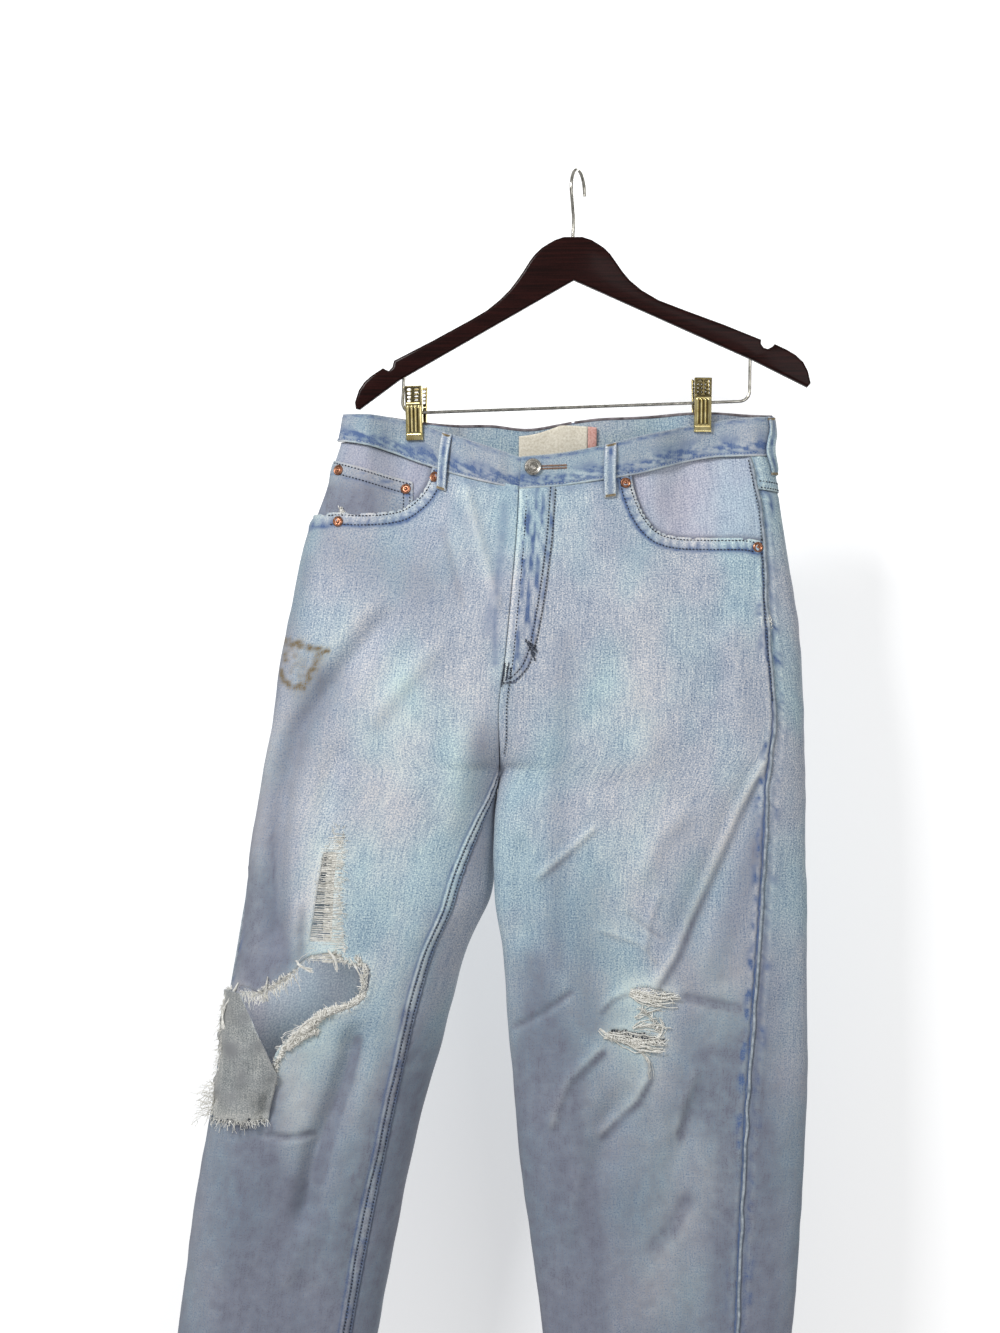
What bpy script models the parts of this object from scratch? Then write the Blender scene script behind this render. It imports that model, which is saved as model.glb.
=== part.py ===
"""Ripped light-wash jeans that hang from a wooden clip hanger.

The row frame is +Z up, with the origin at the inside top of the hanger's hook, where a rail would carry it.
+X is the wearer's left and +Y is the back of the garment. Tables are in millimetres and meshes in metres.
The tables count x from the middle of the hanger, which stands a little to the side of the hook's loop.

The cloth is one form. Each half (right, left) of the garment has a table of cross sections. A section is
a flattened half loop: from the front centre seam (or the inseam) out to the outline and round to the back.
Every cloth piece is a patch of that form, placed by a share across a panel and a level down it.
"""

import math

import bmesh
import bpy
import numpy as np
from mathutils import Matrix, Vector

MM = 0.001
GAP = 0.3  # clearance between neighbouring pieces
SEAT_GAP = 0.6  # clearance under a flat disc on the faceted cloth

# Cloth
PANEL_WALL = 1.5
BAND_WALL = 2.4
TRIM_WALL = 1.2
SEAM_HALF_GAP = 0.23
WAIST_LEVEL = -288.0
BAND_TOP_LEVEL = -250.0
CROTCH_LEVEL = -583.0
CROTCH_RISE = 55.0  # height over which the seat seam rounds under between the legs
HEM_LEVEL = -1372.0
HEM_DEPTH = 14.0
DIP_END_LEVEL = -430.0  # below this the rows of a panel are level

# Hanger
LOOP_X = 7.8
HOOK_FOOT = (2.9, -64.0)
HOOK_RADIUS = 19.0
HOOK_WIRE = 3.4
HOOK_TURN = math.radians(20.0)
HOOK_DEPTH = 15.0  # length of the hook inside the wood
HANGER_TILT = math.radians(3.3)
HANGER_THICK = 12.0
HANGER_EDGE = 1.8  # width of the wood's rounded edge
BAR_WIRE = 3.0
BAR_BEND = 10.0
BAR_LEFT = (-164.0, -236.6)
BAR_RIGHT = (176.0, -225.2)
BAR_TOP_LEFT = -162.5
BAR_TOP_RIGHT = 176.5
CLIP_WIDTH = 17.0
CLIP_HEIGHT = 53.0
CLIP_SHEET = 1.2
CLIP_FLANGE = 4.0
CLIP_SPLAY = math.radians(4.9)
CLIP_GAP = 0.35
SPRING_RADIUS = 5.2
SPRING_LENGTH = 14.0

# The neck of the hook below its loop, (x, y, z) with x from the middle of the loop.
HOOK_NECK = ((-5.8, -12.4, -32.6), (-5.1, -6.1, -38.5), (-4.4, -1.5, -44.0), (-4.2, 0.0, -50.0),
             (-4.9, 0.0, -64.0), (-4.9, 0.0, -79.0))

# Outline of the upright wooden shoulders, (x, z) from the foot of the hook: each arm's upper edge out to
# its notch and tip, then a point of its lower edge. ARM_MIDDLE is where the lower edges meet.
ARM_MIDDLE = (-1.5, -42.8)
ARMS = {
    "right": ((-9, 0), (-18, -2.5), (-25, -6), (-31.5, -9.7), (-38, -15.2), (-43, -20.8), (-47, -26.4),
              (-51, -32), (-57, -39.6), (-65, -49), (-75.5, -58.2), (-88, -67.3), (-105, -76.1),
              (-142, -93.6), (-182, -111.5), (-183.8, -117.5), (-187.5, -121.2), (-191, -119.5),
              (-193, -118), (-205, -125), (-212, -130.5), (-218, -138.3), (-222.5, -150), (-222, -156),
              (-218, -157), (-178, -130.8)),
    "left": ((9, -1), (18, -4.5), (24.5, -9), (30, -13.2), (35.5, -19.4), (39.3, -25.5), (43, -31.6),
             (47, -38), (53, -46), (64, -56.4), (80, -67.1), (105, -78.4), (142, -94.5), (178, -111.5),
             (177.5, -115.5), (180, -119.5), (184, -121), (188.5, -119), (191, -116.5), (203, -123),
             (211, -128.5), (218, -136), (222, -145), (224, -157), (220.5, -160.5), (169, -131)),
}

# Where each clip pinches the band: centre, lowest point of the jaws and turn about the vertical.
CLIPS = {
    "right": {"x": -150.5, "tip_z": -263.5, "turn": math.radians(16.0)},
    "left": {"x": 129.0, "tip_z": -255.5, "turn": math.radians(-5.0)},
}
PINCH_HALF_DEPTH = 2.75
PINCH_FLAT = 10.0
PINCH_FALL = 40.0
PINCH_FULL_LEVEL = -273.0
PINCH_END_LEVEL = -400.0

# One row for each height. cf and cb: x of the front and back centre seam, or of the inner outline of a leg.
# out: x of the outer outline. y_in, y_out: middle of the thickness at those ends. front, back, side: half
# depths. cap_in, cap_out: widths of the rounded ends. in_turn, out_turn: how far round from the outline the
# inseam and outseam lie, to the front if positive.
COLUMNS = ("z", "cf", "cb", "out", "y_in", "y_out", "front", "back", "side",
           "cap_in", "cap_out", "in_turn", "out_turn")
RIGHT_ROWS = (
    (-250, -48, 2, -221, 0, 0, 26, 10, 12, 60, 26, 0, -20),
    (-288, -50, 2, -227, 0, 0, 30, 16, 15, 60, 30, 0, -20),
    (-330, -52, -3, -242, 0, 2, 35, 24, 21, 60, 42, 0, -24),
    (-380, -55, -13, -263, 0, 4, 39, 32, 28, 60, 55, 0, -24),
    (-430, -59, -26, -274, 0, 4, 42, 37, 33, 60, 65, 0, -23),
    (-480, -64, -41, -284, 1, 4, 43, 40, 37, 60, 72, 0, -24),
    (-530, -70, -58, -291, 3, 2, 42, 41, 38, 60, 75, 0, -22),
    (-583, -69, -69, -301, 5, 0, 41, 41, 38, 70, 75, 0, -19),
    (-597, -69.5, -69.5, -303, 8, 0, 43, 43, 39, 70, 75, 6, -19),
    (-612, -70.8, -70.8, -305, 11, 0, 44, 44, 40, 70, 74, 14, -19),
    (-630, -72, -72, -308, 14, -1, 45, 45, 42, 70, 72, 26, -17),
    (-665, -72.5, -72.5, -313, 18, -2, 47, 47, 44, 70, 70, 46, -13),
    (-712, -77.5, -77.5, -317, 20, -3, 49, 49, 46, 70, 70, 60, -6),
    (-760, -100, -100, -324, 20, -3, 50, 50, 47, 70, 70, 58.5, 2),
    (-815, -115, -115, -334, 19, -3, 50, 50, 48, 70, 70, 59.5, -6),
    (-870, -130, -130, -344, 18, -2, 50, 50, 48, 70, 70, 57, -15),
    (-925, -146, -146, -353, 17, -2, 49, 49, 47, 68, 68, 52, -20),
    (-1050, -172, -172, -373, 14, 0, 43, 43, 42, 64, 64, 47, -21),
    (-1150, -190, -190, -385, 11, 1, 37, 37, 37, 60, 60, 43, -19),
    (-1260, -205, -205, -394, 9, 2, 30, 30, 30, 56, 56, 37, -15),
    (-1372, -214, -214, -398, 8, 3, 26, 26, 26, 54, 54, 33, -12),
)
LEFT_ROWS = (
    (-250, -48, 2, 198, 0, 0, 26, 10, 13, 60, 26, 0, 26),
    (-288, -50, 2, 200, 0, 2, 30, 16, 16, 60, 30, 0, 31),
    (-330, -52, -3, 205.5, 0, 5, 35, 24, 22, 60, 42, 0, 30),
    (-380, -55, -13, 214, 0, 7, 39, 32, 28, 60, 55, 0, 36),
    (-430, -59, -26, 222, 0, 8, 42, 37, 33, 60, 65, 0, 44),
    (-480, -64, -41, 227, 1, 9, 43, 40, 37, 60, 72, 0, 47),
    (-530, -70, -58, 230, 3, 9, 42, 41, 38, 60, 75, 0, 46),
    (-583, -69, -69, 231, 5, 8, 41, 41, 36, 60, 75, 0, 51),
    (-597, -69.5, -69.5, 232, 2, 8, 37, 37, 35, 60, 75, -12, 53),
    (-612, -71.5, -71.5, 232, -1, 8, 35, 35, 33, 60, 74, -20, 53),
    (-630, -73.5, -73.5, 232, -4, 8, 33, 33, 31, 60, 72, -24, 53),
    (-665, -75.5, -75.5, 232, -8, 7, 30, 30, 28, 60, 70, -30, 53),
    (-712, -73.5, -73.5, 233, -9, 7, 28, 28, 26, 60, 70, -34, 56),
    (-760, -66, -66, 233, -8, 6, 27, 27, 26, 60, 70, -35, 59),
    (-815, -62, -62, 233, -7, 6, 27, 27, 26, 60, 70, -36, 63),
    (-870, -57.5, -57.5, 233, -6, 6, 27, 27, 26, 60, 68, -37, 67),
    (-925, -54, -54, 232, -5, 6, 27, 27, 26, 58, 66, -37, 70),
    (-1050, -38, -38, 226, -3, 5, 25, 25, 24, 55, 60, -36, 69),
    (-1150, -26, -26, 216, -2, 4, 25, 24, 24, 52, 56, -34, 63),
    (-1260, -16, -16, 206, -1, 4, 23, 22, 22, 50, 52, -31, 55),
    (-1372, -8, -8, 198, 0, 3, 21, 21, 21, 48, 48, -28, 50),
)
ROWS = {"right": RIGHT_ROWS, "left": LEFT_ROWS}

# Heights of the waist seam and of the band's top edge: (share across the panel, seam z, top z).
# A front runs from the centre (0) to the side (1), and a back from the side (0) to the centre (1).
WAIST_LINES = {
    ("right", "front"): ((0.0, -312, -280), (0.2, -303, -266), (0.35, -294, -256), (0.5, -284, -246),
                         (0.6, -276, -241), (0.8, -266, -237), (1.0, -262, -237)),
    ("right", "back"): ((0.0, -262, -237), (0.12, -266, -239), (0.27, -281, -244), (0.42, -286, -247),
                        (0.6, -286, -246.5), (0.79, -289, -250.5), (0.95, -285, -245.5),
                        (1.0, -282.5, -243.5)),
    ("left", "front"): ((0.0, -312, -280), (0.17, -309, -276), (0.35, -303, -268), (0.5, -297, -259),
                        (0.62, -290, -253), (0.77, -282, -246), (0.88, -279, -242), (1.0, -279, -240)),
    ("left", "back"): ((0.0, -279, -240), (0.1, -278, -238.5), (0.22, -276, -236.5), (0.41, -274, -235),
                       (0.76, -278, -239), (0.88, -279.5, -240), (1.0, -282.5, -243.5)),
}

# The largest folds: half, face, points (x, z) along it, half width and height (a trough is negative).
FOLDS = (
    ("right", "front", ((-167, -421), (-230, -500), (-266, -545), (-281, -592), (-287, -680), (-287, -775)),
     13, -7),
    ("right", "front", ((-220, -545), (-234, -600), (-240, -650)), 12, -3),
    ("right", "front", ((-207, -823), (-212, -862), (-223, -896), (-246, -953), (-262, -1040)), 11, -8),
    ("left", "front", ((205, -575), (176, -612), (150, -675), (122, -735), (102, -778)), 18, -5),
    ("left", "front", ((-50, -640), (-50, -700), (-48, -765)), 9, -3),
    ("left", "front", ((60, -880), (40, -924), (26, -1000)), 16, -5),
    ("left", "front", ((128, -885), (115, -925), (96, -990)), 14, -4),
    ("right", "back", ((-120, -420), (-190, -520), (-240, -640)), 18, -5),
    ("left", "back", ((60, -430), (130, -540), (170, -680)), 18, -5),
    ("left", "back", ((20, -700), (60, -820), (70, -960)), 16, -5),
    ("right", "back", ((-190, -760), (-230, -880), (-250, -1020)), 16, -6),
)

# Outlines cut through one panel, (x, z) in the front view.
KNEE_TEAR = ((-321, -800), (-300, -799), (-284, -790), (-267, -778), (-254, -765), (-228, -761),
             (-215, -771), (-197, -772), (-195, -792), (-203, -809), (-222, -818), (-239, -821),
             (-259, -836), (-276, -847), (-286, -861), (-285, -879))
LADDER_TEAR = ((-239, -664), (-226, -664), (-229, -700), (-231, -750), (-252, -750), (-246, -710))
KNEE_SLITS = (
    ((58, -799), (72, -796), (90, -800), (101, -804), (88, -807), (70, -803)),
    ((33, -840), (50, -838), (74, -842), (92, -849), (76, -851), (52, -845)),
)
TEARS = {"right": (KNEE_TEAR, LADDER_TEAR), "left": KNEE_SLITS}
TORN_FLAP = ((-324, -797), (-283, -881), (-293, -923), (-353, -925), (-367, -897), (-343, -824))

# Pockets, fly and button in the front view. A facing has its inner x, bottom z and outer x.
SCOOPS = {
    "right": ((-132, -245), (-135, -293), (-141, -310), (-151, -322), (-164, -331), (-183, -335),
              (-204, -336), (-226, -335), (-300, -332), (-300, -245)),
    "left": ((56, -245), (59, -300), (64, -322), (73, -341), (86, -354), (104, -359),
             (131, -360), (166, -360), (240, -360), (240, -245)),
}
FACING_BOX = {"right": (-122.0, -352.0, -300.0), "left": (46.0, -376.0, 260.0)}
COIN_POCKET = ((-236, -282), (-154, -304), (-154, -346), (-240, -346))
FLY = ((-100, -280), (-14, -280), (-17, -363), (-23.5, -413), (-31, -452), (-41, -487), (-53, -501),
       (-100, -506))
BACK_POCKET = ((28, -382), (178, -372), (172, -500), (103, -532), (40, -512))
BACK_MIRROR = -18.0
BUTTON = (-36.7, -292.0)
LAP = 30.0
LAP_UNDER = (8.0, 24.0)  # where the band under the lap starts to rise and meets the form

# Belt loops: half, face and the share across it.
LOOPS = {
    "belt_loop_front_right": ("right", "front", 0.35),
    "belt_loop_front_left": ("left", "front", 0.375),
    "belt_loop_side_right": ("right", "back", 0.1),
    "belt_loop_side_left": ("left", "back", 0.085),
    "belt_loop_back": ("left", "back", 0.955),
}
LOOP_WIDTH = 10.5
LOOP_BELOW = 20.0
LOOP_STAND = 3.2

RIVETS = {
    "rivet_pocket_right": ("right", -132, -300),
    "rivet_coin_inner": ("right", -161, -311),
    "rivet_coin_outer": ("right", -227, -293),
    "rivet_pocket_left": ("left", 53, -307),
    "rivet_side_left": ("left", 182, -369),
    "rivet_side_right": ("right", -226, -344),
}

# Rows and columns of the facets
WIDEST_COLUMN = 0.12
ROUND_KNOTS = {
    ("right", "front"): (0.93,),
    ("right", "back"): (0.04, 0.8, 0.86, 0.92),
    ("left", "front"): (0.045, 0.09, 0.14),
    ("left", "back"): (0.13, 0.17, 0.22),
}
YOKE_AT_SIDE = 32.0
YOKE_AT_CENTRE = 62.0
YOKE_FREE_LEVEL = -395.0
PANEL_LEVELS = (-296, -306, -320, -340, -365, -395, -430, -470, -510, -538, -558, -572, -583, -594, -608,
                -628, -660, -700, -745, -790, -835, -880, -930, -990, -1060, -1140, -1220, -1300)

# Colours: linear red, green, blue, then roughness and metallic.
FINISHES = {
    "denim": ((0.42, 0.52, 0.62), 0.9, 0.0),
    "denim_inside": ((0.45, 0.5, 0.56), 0.9, 0.0),
    "label": ((0.62, 0.55, 0.42), 0.8, 0.0),
    "label_red": ((0.6, 0.2, 0.15), 0.8, 0.0),
    "copper": ((0.55, 0.25, 0.14), 0.4, 1.0),
    "nickel": ((0.5, 0.5, 0.48), 0.35, 1.0),
    "brass": ((0.55, 0.47, 0.25), 0.3, 1.0),
    "steel": ((0.6, 0.6, 0.58), 0.25, 1.0),
    "wood": ((0.012, 0.004, 0.004), 0.3, 0.0),
}


def smooth(value):
    """0 below 0, 1 above 1, with an S curve between."""
    t = np.clip(value, 0.0, 1.0)
    return t * t * (3 - 2 * t)


def round_end(distance, width):
    """Height of a quarter ellipse at a distance in from its end, from 0 to 1."""
    t = 1 - np.clip(distance / width, 0.0, 1.0)
    return np.sqrt(1 - t * t)


def curve_through(knots, values, at):
    """A smooth curve through values at rising knots, with no overshoot between them."""
    knots, values = np.asarray(knots, float), np.asarray(values, float)
    slopes = np.diff(values) / np.diff(knots)
    tangents = np.concatenate([slopes[:1], (slopes[:-1] + slopes[1:]) / 2, slopes[-1:]])
    turns = np.concatenate([[False], slopes[:-1] * slopes[1:] <= 0, [False]])
    tangents[turns] = 0.0
    at = np.clip(at, knots[0], knots[-1])
    i = np.clip(np.searchsorted(knots, at) - 1, 0, len(knots) - 2)
    step = knots[i + 1] - knots[i]
    t = (at - knots[i]) / step
    return ((1 + 2 * t) * (1 - t) ** 2 * values[i] + t * (1 - t) ** 2 * step * tangents[i]
            + t * t * (3 - 2 * t) * values[i + 1] + t * t * (t - 1) * step * tangents[i + 1])


def section(half, level):
    """The row of the half's table at a level, as a dict."""
    rows = np.array(ROWS[half], float)[::-1]
    found = {name: float(curve_through(rows[:, 0], rows[:, i], level)) for i, name in enumerate(COLUMNS)}
    rise = np.clip((level - CROTCH_LEVEL) / CROTCH_RISE, 0.0, 1.0)
    found["open"] = float(math.sqrt(1 - (1 - rise) ** 2))
    return found


def half_loop(half, level, count=160):
    """Points (x, y) out along the front and back along the back, the table's row and the outline's index."""
    row = section(half, level)
    share = (1 - np.cos(np.pi * np.arange(count) / (count - 1))) / 2
    clip = CLIPS[half]
    fade = 1 - smooth((PINCH_FULL_LEVEL - level) / (PINCH_FULL_LEVEL - PINCH_END_LEVEL))
    sides = []
    apart = SEAM_HALF_GAP * (1 if half == "left" else -1)
    for inner, depth, sign in ((row["cf"] + apart, row["front"], -1), (row["cb"] + apart, row["back"], 1)):
        x = inner + (row["out"] - inner) * share
        middle = row["y_in"] + (row["y_out"] - row["y_in"]) * share
        closing = row["open"] + (1 - row["open"]) * round_end(abs(x - inner), row["cap_in"])
        half_depth = depth + (row["side"] - depth) * smooth((share - 0.3) / 0.5)
        half_depth = half_depth * closing * round_end(abs(x - row["out"]), row["cap_out"])
        pinch = fade * (1 - smooth((abs(x - clip["x"]) - PINCH_FLAT) / PINCH_FALL))
        half_depth = half_depth + (PINCH_HALF_DEPTH - half_depth) * pinch * np.minimum(half_depth / 6, 1)
        middle = middle * (1 - pinch) - math.tan(clip["turn"]) * (x - clip["x"]) * pinch
        sides.append(np.column_stack([x, middle + sign * half_depth]))
    return np.concatenate([sides[0], sides[1][::-1][1:]]), row, count


def seam_positions(loop, row, count):
    """Distances along the loop: of its points, of the inseam (or centre seam) and of the outseam."""
    steps = np.linalg.norm(np.diff(loop, axis=0), axis=1)
    along = np.concatenate([[0.0], np.cumsum(steps)])
    return along, row["in_turn"] if row["open"] == 0 else 0.0, along[count - 1] - row["out_turn"]


class Form:
    """One panel's share of the garment, as a fine grid of points by level and share."""

    LEVEL_STEP = 2.0
    SHARES = 121

    def __init__(self, half, face):
        self.half, self.face = half, face
        self.levels = np.arange(HEM_LEVEL, BAND_TOP_LEVEL + 0.1, self.LEVEL_STEP)
        self.shares = np.linspace(0, 1, self.SHARES)
        lines = np.array(WAIST_LINES[half, face], float)
        self.seam_z = curve_through(lines[:, 0], lines[:, 1], self.shares)
        self.top_z = curve_through(lines[:, 0], lines[:, 2], self.shares)
        self.points = np.array([self.level_points(level) for level in self.levels])
        self.normals = self.find_normals()
        self.points += self.normals * self.fold_heights()[..., None]
        self.normals = self.find_normals()

    def level_points(self, level):
        loop, row, count = half_loop(self.half, level)
        along, inner, outer = seam_positions(loop, row, count)
        total = along[-1]
        start, end = (inner, outer) if self.face == "front" else (outer, total + inner)
        want = start + (end - start) * self.shares
        if row["open"] == 0:
            want = np.mod(want, total)
        x, y = (np.interp(want, along, loop[:, i]) for i in (0, 1))
        dip = self.seam_z - WAIST_LEVEL
        if level > WAIST_LEVEL:
            share = (level - WAIST_LEVEL) / (BAND_TOP_LEVEL - WAIST_LEVEL)
            z = self.seam_z + (self.top_z - self.seam_z) * share
        else:
            z = level + dip * smooth((level - DIP_END_LEVEL) / (WAIST_LEVEL - DIP_END_LEVEL))
        return np.column_stack([x, y, z])

    def find_normals(self):
        across = np.gradient(self.points, axis=1)
        down = np.gradient(self.points, axis=0)
        normals = np.cross(across, down)
        normals /= np.linalg.norm(normals, axis=2, keepdims=True) + 1e-9
        middle = normals[len(self.levels) // 2, self.SHARES // 2, 1]
        outward = -1 if self.face == "front" else 1
        return normals * np.sign(middle) * outward

    def fold_heights(self):
        heights = np.zeros(self.points.shape[:2])
        for half, face, line, width, height in FOLDS:
            if (half, face) == (self.half, self.face):
                heights += height * ridge(self.points[..., 0], self.points[..., 2], line, width)
        return heights

    def sample(self, grid, share, level):
        i = np.clip((level - self.levels[0]) / self.LEVEL_STEP, 0, len(self.levels) - 1.001)
        j = np.clip(share * (self.SHARES - 1), 0, self.SHARES - 1.001)
        i0, j0 = int(i), int(j)
        a, b = i - i0, j - j0
        return (grid[i0, j0] * (1 - a) * (1 - b) + grid[i0 + 1, j0] * a * (1 - b)
                + grid[i0, j0 + 1] * (1 - a) * b + grid[i0 + 1, j0 + 1] * a * b)

    def share_at(self, x, level):
        """The share at which the level's row passes x, on its way across the panel."""
        i = int(round((level - self.levels[0]) / self.LEVEL_STEP))
        return self.shares[int(np.argmin(abs(self.points[i, :, 0] - x)))]

    def length_across(self, level):
        row = self.points[int(round((level - self.levels[0]) / self.LEVEL_STEP))]
        return float(np.linalg.norm(np.diff(row, axis=0), axis=1).sum())


def make_forms():
    """The four forms, with one normal on both sides of each seam."""
    forms = {(half, face): Form(half, face) for half in ("right", "left") for face in ("front", "back")}
    right, left = ([forms[half, face].normals for face in ("front", "back")] for half in ("right", "left"))
    legs = forms["right", "front"].levels < CROTCH_LEVEL
    seams = [(front, -1, back, 0, slice(None)) for front, back in (right, left)]
    seams += [(front, 0, back, -1, legs) for front, back in (right, left)]
    seams += [(right[0], 0, left[0], 0, ~legs), (right[1], -1, left[1], -1, ~legs)]
    for first, i, second, j, rows in seams:
        mean = first[rows, i] + second[rows, j]
        mean /= np.linalg.norm(mean, axis=1, keepdims=True)
        first[rows, i] = mean
        second[rows, j] = mean
    return forms


def ridge(x, z, line, width):
    """A soft ridge of height 1 along a line of points, fading at its ends."""
    line = np.asarray(line, float)
    lengths = np.linalg.norm(np.diff(line, axis=0), axis=1)
    starts = np.concatenate([[0.0], np.cumsum(lengths)])
    best = np.full(x.shape, 1e9)
    along = np.zeros(x.shape)
    for (x0, z0), (x1, z1), length, start in zip(line[:-1], line[1:], lengths, starts):
        t = np.clip(((x - x0) * (x1 - x0) + (z - z0) * (z1 - z0)) / length ** 2, 0, 1)
        away = np.hypot(x - x0 - t * (x1 - x0), z - z0 - t * (z1 - z0))
        nearer = away < best
        best = np.where(nearer, away, best)
        along = np.where(nearer, start + t * length, along)
    ends = smooth(along / (3 * width)) * smooth((starts[-1] - along) / (3 * width))
    return np.exp(-((best / width) ** 2)) * ends


def material(name):
    """The named finish as a Principled material."""
    found = bpy.data.materials.get(name)
    if found:
        return found
    colour, roughness, metallic = FINISHES[name]
    made = bpy.data.materials.new(name)
    made.use_nodes = True
    shader = made.node_tree.nodes["Principled BSDF"]
    shader.inputs["Base Color"].default_value = (*colour, 1)
    shader.inputs["Roughness"].default_value = roughness
    shader.inputs["Metallic"].default_value = metallic
    made.diffuse_color = (*colour, 1)
    return made


def add_object(name, bm, finish, smooth_angle=None):
    """A mesh object from a bmesh."""
    mesh = bpy.data.meshes.new(name)
    bm.to_mesh(mesh)
    bm.free()
    made = bpy.data.objects.new(name, mesh)
    bpy.context.scene.collection.objects.link(made)
    made.data.materials.append(material(finish))
    if smooth_angle is not None:
        mesh.shade_smooth()
        mesh.set_sharp_from_angle(angle=math.radians(smooth_angle))
    return made


class Grid:
    """A coarse grid of points of a form, which the facets of one cloth piece follow."""

    def __init__(self, form, shares, levels):
        """levels(share) gives the levels of the rows, top first, at a share across."""
        self.shares = np.asarray(shares, float)
        self.levels = np.array([levels(share) for share in self.shares]).T
        size = self.levels.shape
        self.points = np.zeros((*size, 3))
        self.normals = np.zeros((*size, 3))
        for i in range(size[0]):
            for j in range(size[1]):
                level = self.levels[i, j]
                edge = SEAM_HALF_GAP / form.length_across(level)
                share = edge + (1 - 2 * edge) * self.shares[j]
                self.points[i, j] = form.sample(form.points, share, level)
                self.normals[i, j] = form.sample(form.normals, share, level)

    def at(self, share, level, out=0.0):
        """The point of the facets at a share and level, moved out, in metres."""
        i, j, a, b = self.cell(share, level)
        return Vector(blend(self.points + self.normals * out, i, j, a, b) * MM)

    def normal(self, share, level):
        return Vector(blend(self.normals, *self.cell(share, level))).normalized()

    def top_length(self):
        """Length across the top row."""
        return float(np.linalg.norm(np.diff(self.points[0], axis=0), axis=1).sum())

    def cell(self, share, level):
        """Row, column and the shares of the way across that cell."""
        column = float(np.interp(share, self.shares, range(len(self.shares))))
        j = min(int(column), len(self.shares) - 2)
        b = column - j
        levels = self.levels[:, j] * (1 - b) + self.levels[:, j + 1] * b
        row = float(np.interp(-level, -levels, range(len(levels))))
        i = min(int(row), len(levels) - 2)
        return i, j, row - i, b

    def find(self, x, z):
        """(share, level) of the facets' point nearest to (x, z) in the front view."""
        best = None
        for share in np.linspace(0, 1, 81):
            for level in np.arange(self.levels.min(), self.levels.max(), 2.0):
                cell = self.cell(share, level)
                point = blend(self.points, *cell)
                distance = math.hypot(point[0] - x, point[2] - z)
                facing = blend(self.normals, *cell)[1] < -0.2
                if facing and (best is None or distance < best[0]):
                    best = (distance, share, level)
        return best[1], best[2]


def blend(grid, i, j, a, b):
    """The value of a grid between its knots."""
    upper = grid[i, j] * (1 - b) + grid[i, j + 1] * b
    lower = grid[i + 1, j] * (1 - b) + grid[i + 1, j + 1] * b
    return upper * (1 - a) + lower * a


def add_wall(name, points, normals, out=0.0, wall=PANEL_WALL, finish="denim", ring=False):
    """A closed wall of cloth on a grid of points. Its outer face stands out from them by out."""
    rows, columns = points.shape[:2]
    bm = bmesh.new()
    knot = bm.verts.layers.float_vector.new("knot")
    bmesh.ops.create_grid(bm, x_segments=columns - 1, y_segments=rows - 1, size=0.5)
    outer = points + normals * out
    inner = points + normals * (out - wall)
    for vert in bm.verts:
        column, row = (round((value + 0.5) * (size - 1)) for value, size in zip(vert.co, (columns, rows)))
        vert[knot] = (column, row, 0)
        vert.co = Vector(outer[row, column]) * MM
    if ring:
        bmesh.ops.remove_doubles(bm, verts=bm.verts, dist=0.0005)
    bmesh.ops.triangulate(bm, faces=bm.faces[:], quad_method="FIXED")
    grown = bmesh.ops.extrude_face_region(bm, geom=bm.faces[:])["geom"]
    for vert in (item for item in grown if isinstance(item, bmesh.types.BMVert)):
        vert.co = Vector(inner[int(vert[knot].y), int(vert[knot].x)]) * MM
    bmesh.ops.recalc_face_normals(bm, faces=bm.faces)
    return add_object(name, bm, finish, 40)


def cut(target, outline, keep=False, y_low=-150.0, y_high=150.0):
    """Cuts an outline in the front view through the target, or keeps only what is inside it."""
    bm = bmesh.new()
    face = bm.faces.new([bm.verts.new((x * MM, y_low * MM, z * MM)) for x, z in outline])
    grown = bmesh.ops.extrude_face_region(bm, geom=[face])
    verts = [item for item in grown["geom"] if isinstance(item, bmesh.types.BMVert)]
    bmesh.ops.translate(bm, verts=verts, vec=(0, (y_high - y_low) * MM, 0))
    bmesh.ops.recalc_face_normals(bm, faces=bm.faces)
    index = sum(item.name.startswith("cutter") for item in bpy.data.objects)
    cutter = add_object(f"cutter_{index}", bm, "denim")
    cutter.hide_render = True
    cutter.display_type = "WIRE"
    boolean = target.modifiers.new("cut", "BOOLEAN")
    boolean.operation = "INTERSECT" if keep else "DIFFERENCE"
    boolean.solver = "EXACT"
    boolean.object = cutter


def make_grids(forms):
    """The grids of the panels, yokes and band, by half, face and kind."""
    grids = {}
    foot = HEM_LEVEL + HEM_DEPTH + SEAM_HALF_GAP
    top = WAIST_LEVEL - SEAM_HALF_GAP
    band = (BAND_TOP_LEVEL, PINCH_FULL_LEVEL, WAIST_LEVEL + SEAM_HALF_GAP)
    below_yoke = [level for level in PANEL_LEVELS if level < YOKE_FREE_LEVEL]
    for (half, face), form in forms.items():
        shares = knots(form)
        grids[half, face, "band"] = Grid(form, shares, lambda share: band)
        if face == "front":
            grids[half, face, "panel"] = Grid(form, shares, lambda share: (top, *PANEL_LEVELS, foot))
            continue
        grids[half, face, "yoke"] = Grid(form, shares, lambda share: stretched(
            (top, -296, -306, yoke_level(0) + SEAM_HALF_GAP), yoke_level(share) + SEAM_HALF_GAP))
        grids[half, face, "panel"] = Grid(form, shares, lambda share: (*stretched(
            (YOKE_FREE_LEVEL, -365, -340, yoke_level(0) - SEAM_HALF_GAP), yoke_level(share) - SEAM_HALF_GAP
        )[::-1], *below_yoke, foot))
    return grids


def stretched(levels, last):
    """The levels with their spacing scaled, so that they end at last."""
    scale = (last - levels[0]) / (levels[-1] - levels[0])
    return [levels[0] + (level - levels[0]) * scale for level in levels]


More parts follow.
